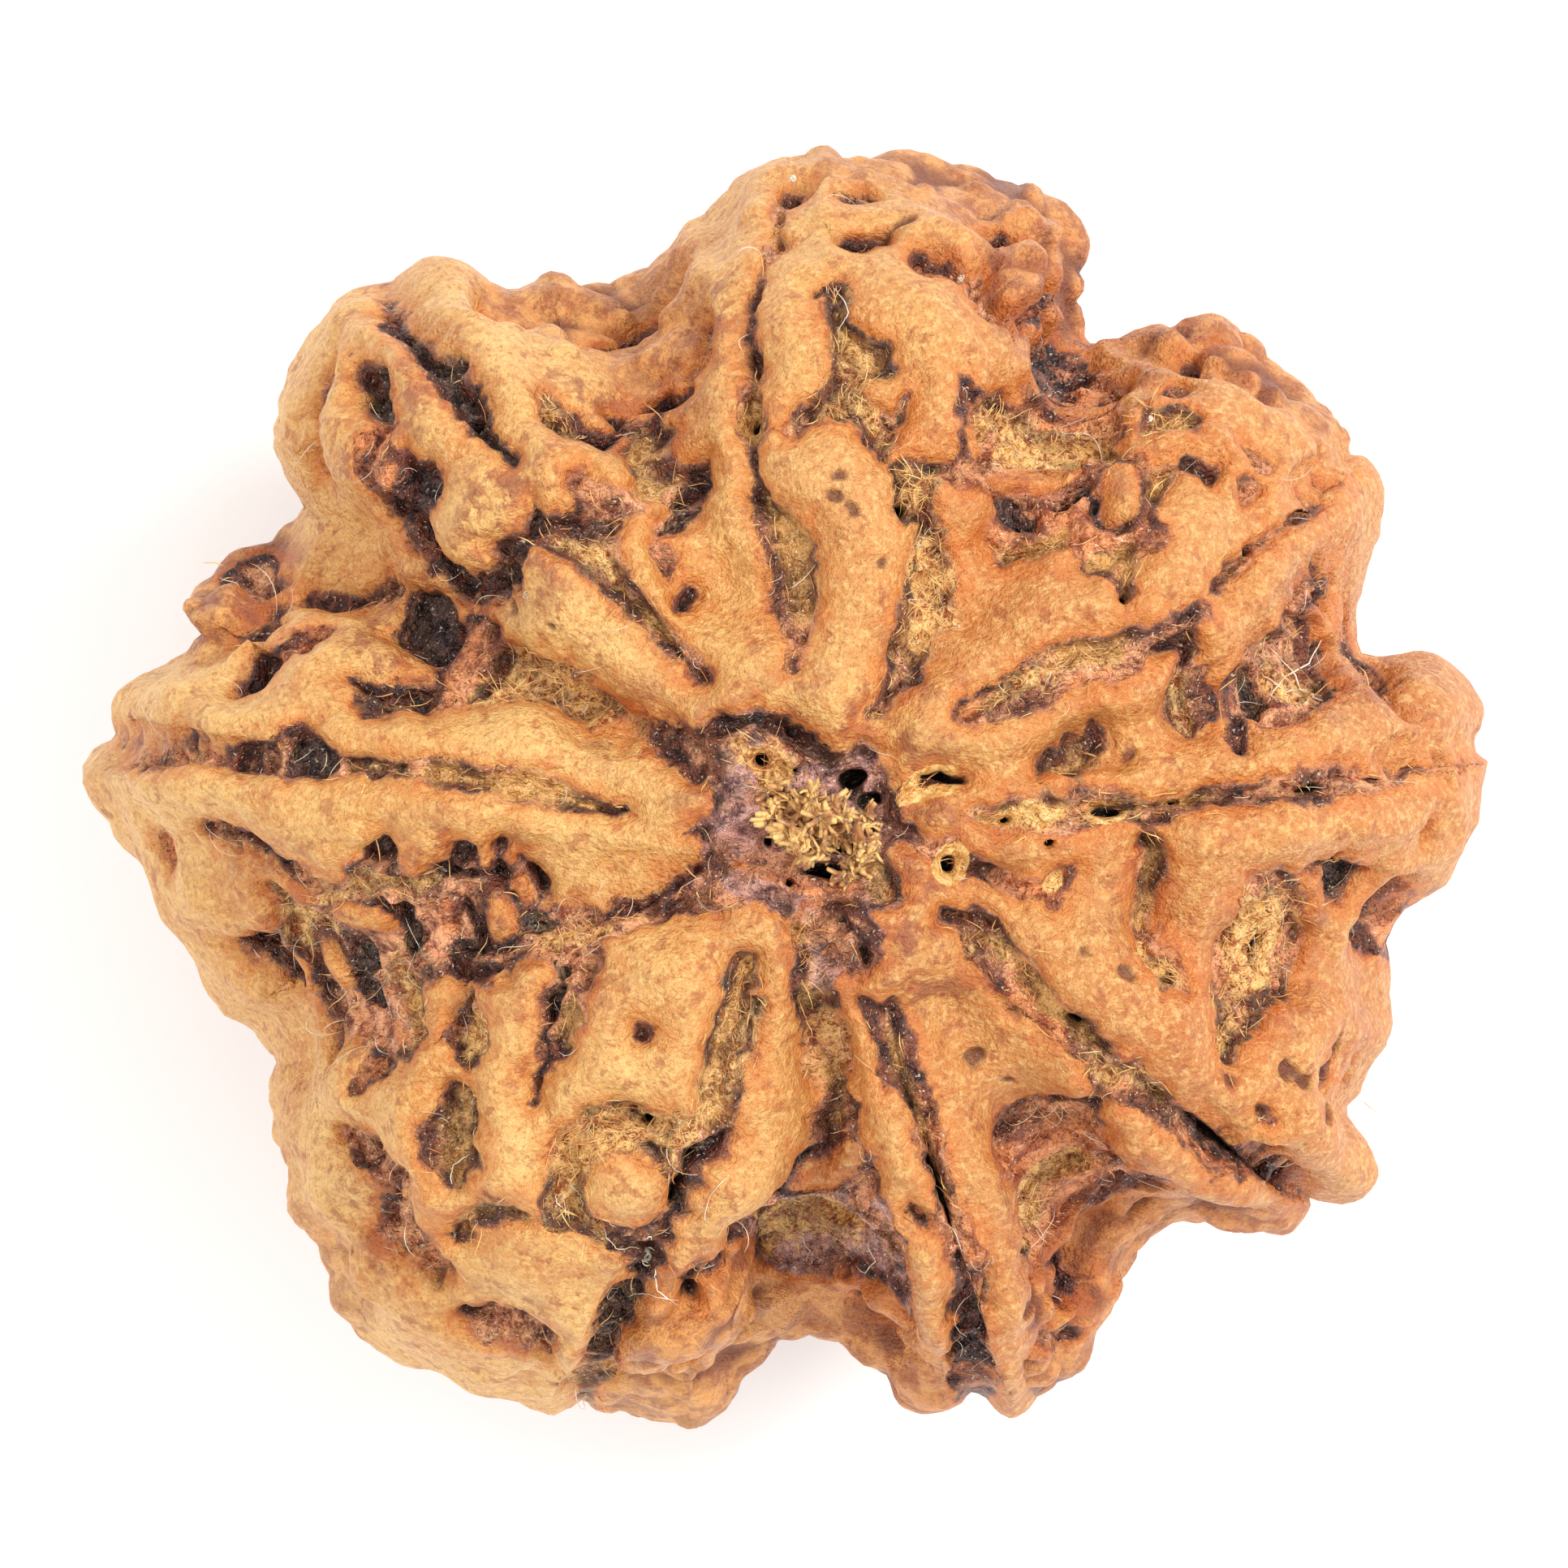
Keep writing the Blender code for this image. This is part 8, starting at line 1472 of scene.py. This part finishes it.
def skin_colour(nodes):
    """The dry orange skin: light and deep orange in patches, red-brown mottling, and a pale suede grain."""
    west = nodes.patchwork(nodes.noise(0.2, 3.0), 0.36, 0.64, "western light", "western deep")
    east = nodes.patchwork(nodes.noise(0.25, 3.0), 0.36, 0.64, "eastern light", "eastern deep")
    colour = nodes.mix(nodes.fact("east"), west, east)
    for per_mm, detail, rough, low, high, name, most in MOTTLING:
        shown = nodes.span(nodes.noise(per_mm, detail, rough), low, high)
        colour = nodes.mix(shown, colour, colour_of(name), most)
    rear = nodes.patchwork(nodes.noise(1.6, 4.0, 0.7), 0.42, 0.58, "rear light", "rear dark")
    colour = nodes.mix(nodes.fact("step"), colour, rear, 0.6)
    # painted shade, red-brown, in the hollows between the knobs
    colour = nodes.mix(nodes.span(nodes.fact("crease_shade"), 0.4, 0.85), colour, colour_of("shade between knobs"), 0.8)
    stained = nodes.math("MULTIPLY", nodes.fact("stain"), nodes.span(nodes.noise(1.4, 4.0, 0.75), 0.44, 0.58))
    return nodes.mix(stained, colour, colour_of("stain"), 0.8)


def threads(nodes, per_mm, width):
    """Thin threads that wander over the surface: 1 on them and 0 between."""
    away = nodes.math("ABSOLUTE", nodes.math("SUBTRACT", nodes.noise(per_mm, 2.0, 0.5, 0.8), 0.5))
    return nodes.span(away, width, width * 0.3)


def seed_material():
    nodes = Nodes("seed_shell_fine")
    coarse, fine = (nodes.math("SUBTRACT", nodes.noise(per_mm, 4.0, 0.72), 0.5) for per_mm in (1.1, 2.7))

    def torn(value, by_coarse, by_fine):
        """value made uneven by noise, so that where it crosses a limit is ragged."""
        value = nodes.math("ADD", value, nodes.math("MULTIPLY", coarse, by_coarse))
        return nodes.math("ADD", value, nodes.math("MULTIPLY", fine, by_fine))

    patches = nodes.span(nodes.noise(2.3, 4.0, 0.75), 0.38, 0.62)
    grains = nodes.span(nodes.noise(4.0, 3.0, 0.75), 0.38, 0.62)
    web = nodes.math("MAXIMUM", threads(nodes, 1.5, 0.03), threads(nodes, 2.6, 0.04))

    def floor_colour(kind):
        dark, light = FLOORS[kind]
        return nodes.mix(grains if kind in ("gold", "plug") else patches, linear(*dark), linear(*light))

    edge = nodes.fact("edge")
    colour = skin_colour(nodes)
    # deep orange and red-brown bands along the edges: partly the skin's own colour, partly painted shade
    for name, by_coarse, by_fine, low, high, most in EDGE_BANDS:
        shown = nodes.span(torn(edge, by_coarse, by_fine), low, high)
        colour = nodes.mix(shown, colour, colour_of(name), most)
    colour = nodes.mix(nodes.fact("dot"), colour, colour_of("dot"), 0.85)
    floor = floor_colour("plum")
    for kind, way in FLOOR_ORDER:
        share = nodes.span(torn(nodes.fact(kind), 0.7 * way, -0.9 * way), 0.4, 0.58)
        floor = nodes.mix(share, floor, floor_colour(kind))
    golden = nodes.fact("gold")
    for kind, part in GOLDEN_THREADS.items():
        golden = nodes.math("ADD", golden, nodes.math("MULTIPLY", nodes.fact(kind), part))
    floor = nodes.mix(nodes.math("MULTIPLY", golden, web), floor, colour_of("thread"), 0.8)
    charred = nodes.math("MULTIPLY", nodes.fact("slate"), nodes.span(coarse, 0.0, 0.1))
    floor = nodes.mix(charred, floor, colour_of("charred"), 0.6)
    colour = nodes.mix(nodes.span(torn(edge, 0.3, 0.3), 0.06, -0.12), colour, floor)
    # painted shade down the walls just inside each recess's edge, torn by noise and broken into streaks
    crease_shade = nodes.mix(patches, colour_of("crease dark"), colour_of("crease light"))
    streaks = nodes.span(nodes.noise(0.6, 3.0), 0.4, 0.55)
    for name, most in CREASE_SHADES:
        near = nodes.span(torn(nodes.fact(name), 0.3, 0.25), 0.06, -0.08)
        near = nodes.math("MULTIPLY", near, nodes.span(torn(nodes.fact(name), 0.5, 0.3), -0.38, -0.12))
        colour = nodes.mix(nodes.math("MULTIPLY", near, streaks), colour, crease_shade, most)
    lips = nodes.span(torn(nodes.fact("golden"), 0.0, 0.8), 0.4, 0.6)
    colour = nodes.mix(lips, colour, nodes.mix(grains, colour_of("lip dark"), colour_of("lip light")))
    colour = nodes.mix(nodes.span(torn(nodes.fact("plug"), 0.2, 1.0), 0.3, 0.6), colour, floor_colour("plug"))
    # the holes painted near black: painted shade in place of their depth
    colour = nodes.mix(nodes.span(torn(nodes.fact("hole"), 0.0, 0.4), 0.3, 0.6), colour, colour_of("hole"))
    inside = nodes.span(edge, 0.05, -0.1)
    # pale specks inside the recesses: painted glints
    painted_glints = nodes.math("MULTIPLY", nodes.span(nodes.noise(13.0, 1.0), 0.66, 0.72), inside)
    colour = nodes.mix(painted_glints, colour, colour_of("painted glint"), 0.6)
    roughness = nodes.span(nodes.fact("black"), 0.3, 0.8, 0.5, 0.36)
    grain = nodes.bump(nodes.noise(8.0, 2.0, 0.7), 0.9, 0.13)
    wrinkles = nodes.math("MULTIPLY", nodes.noise(2.7, 3.0, 0.72), inside)
    grain = nodes.bump(wrinkles, 0.7, 0.35, grain)
    return nodes.finish(colour, roughness, nodes.bump(nodes.noise(1.8, 2.0), 0.25, 0.2, grain))


def fibre_material(name, dark, light, roughness):
    nodes = Nodes(name)
    colour = nodes.mix(nodes.span(nodes.noise(2.6, 3.0), 0.38, 0.6), linear(*dark), linear(*light))
    nodes.shader.inputs["Sheen Weight"].default_value = 0.2
    return nodes.finish(colour, roughness, nodes.bump(nodes.noise(14.0, 2.0), 0.2, 0.03))


def floor_material():
    nodes = Nodes("studio_floor")
    colour = nodes.mix(nodes.noise(0.02, 2.0), (0.95, 0.95, 0.95, 1.0), (0.97, 0.97, 0.97, 1.0))
    nodes.shader.inputs["Emission Color"].default_value = (1.0, 1.0, 1.0, 1.0)
    nodes.shader.inputs["Emission Strength"].default_value = FLOOR_GLOW
    return nodes.finish(colour, 0.9, nodes.bump(nodes.noise(0.5, 2.0), 0.02, 0.05))


def make_camera(scale, shift):
    data = bpy.data.cameras.new("camera")
    data.lens = LENS_MM
    data.sensor_width = SENSOR_MM
    camera = bpy.data.objects.new("camera", data)
    bpy.context.scene.collection.objects.link(camera)
    away = PICTURE_WIDTH_MM * MM * LENS_MM / SENSOR_MM
    camera.location = (
        PICTURE_CENTRE[0] * scale + shift[0],
        PICTURE_CENTRE[1] * scale + shift[1],
        RIM_HEIGHT_MM * MM + away,
    )
    data.clip_end = 10.0
    bpy.context.scene.camera = camera


def make_studio():
    world = bpy.data.worlds.new("studio")
    bpy.context.scene.world = world
    world.use_nodes = True
    sky = world.node_tree.nodes["Background"]
    sky.inputs["Color"].default_value = (1.0, 1.0, 1.0, 1.0)
    sky.inputs["Strength"].default_value = SKY_STRENGTH
    for name, place, size, power in LAMPS:
        data = bpy.data.lights.new(name, "AREA")
        data.energy = power
        data.shape = "DISK"
        data.size = size
        lamp = bpy.data.objects.new(name, data)
        bpy.context.scene.collection.objects.link(lamp)
        lamp.location = place
        aim = -np.array(place) / np.linalg.norm(place)
        lamp.rotation_euler = (math.acos(-aim[2]), 0.0, math.atan2(-aim[0], aim[1]) + math.pi)
    floor_mesh = mesh_of("studio_floor", FLOOR_CORNERS, np.array([[0, 1, 2, 3]]))
    floor = bpy.data.objects.new("studio_floor", floor_mesh)
    bpy.context.scene.collection.objects.link(floor)
    floor_mesh.materials.append(floor_material())
    bpy.context.scene.view_settings.view_transform = "Standard"


def main():
    mesh = seed_mesh()
    scale, shift = fit_of(mesh)
    places, faces = coordinates(mesh), [tuple(face.vertices) for face in mesh.polygons]
    tree = BVHTree.FromPolygons(places.tolist(), faces)
    height = places[:, 2]
    hairy = np.where(height > 0.0, 1.0, HAIRS_BELOW) * (height > BARE_UP_TO)
    inside = (fact(mesh, "edge") < 0.0) * hairy
    gold, olive, plum, black, rust = (
        fact(mesh, name) * inside for name in ("gold", "olive", "plum", "black", "rust")
    )
    plug = fact(mesh, "plug")
    golden = fibre_material("golden_fibre", (206, 128, 58), (255, 206, 124), 0.62)
    straw = fibre_material("straw_splinter", (166, 104, 48), (248, 198, 118), 0.6)
    pale = fibre_material("pale_hair", (216, 190, 150), (248, 238, 218), 0.5)
    share = 1.0
    rng = np.random.default_rng(FIBRE_SEED)
    line_weights = gold**2 + 0.4 * olive * (fact(mesh, "edge") > LIP_OF_OLIVE) + 0.1 * plum
    hair_weights = plum + 0.6 * black + 0.6 * gold + 0.4 * rust + ANYWHERE * hairy
    heap_weights = (plug > HEAP_FROM) + 1e-9
    line_paths = grown_fibres(rng, mesh, line_weights, share, **LINE_FIBRES)
    plug_paths = grown_fibres(rng, mesh, heap_weights, 1.0, **PLUG_FIBRES)
    hair_paths = grown_fibres(rng, mesh, hair_weights, share, **LOOSE_HAIRS)
    pieces = [
        fibre_piece("line_fibres", line_paths, (0.006, 0.016), 3, rng, golden),
        fibre_piece("plug_fibres", plug_paths, (0.016, 0.07), 4, rng, straw, 0.5, 0.75),
        fibre_piece("pale_hairs", hair_paths, (0.005, 0.01), 3, rng, pale),
        fibre_piece("laid_hairs", laid_hairs(rng, tree, HAIRS), (0.01, 0.02), 5, rng, pale),
        fibre_piece("fluff", fluff(rng, tree, FLUFF), (0.01, 0.02), 3, rng, pale),
    ]
    for piece in pieces:
        fit_to_frame(piece.data, scale, shift)
    fit_to_frame(mesh, scale, shift)
    seed = add_piece("seed_stone", mesh, seed_material())
    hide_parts(NODE)
    make_camera(scale, shift)
    make_studio()


main()
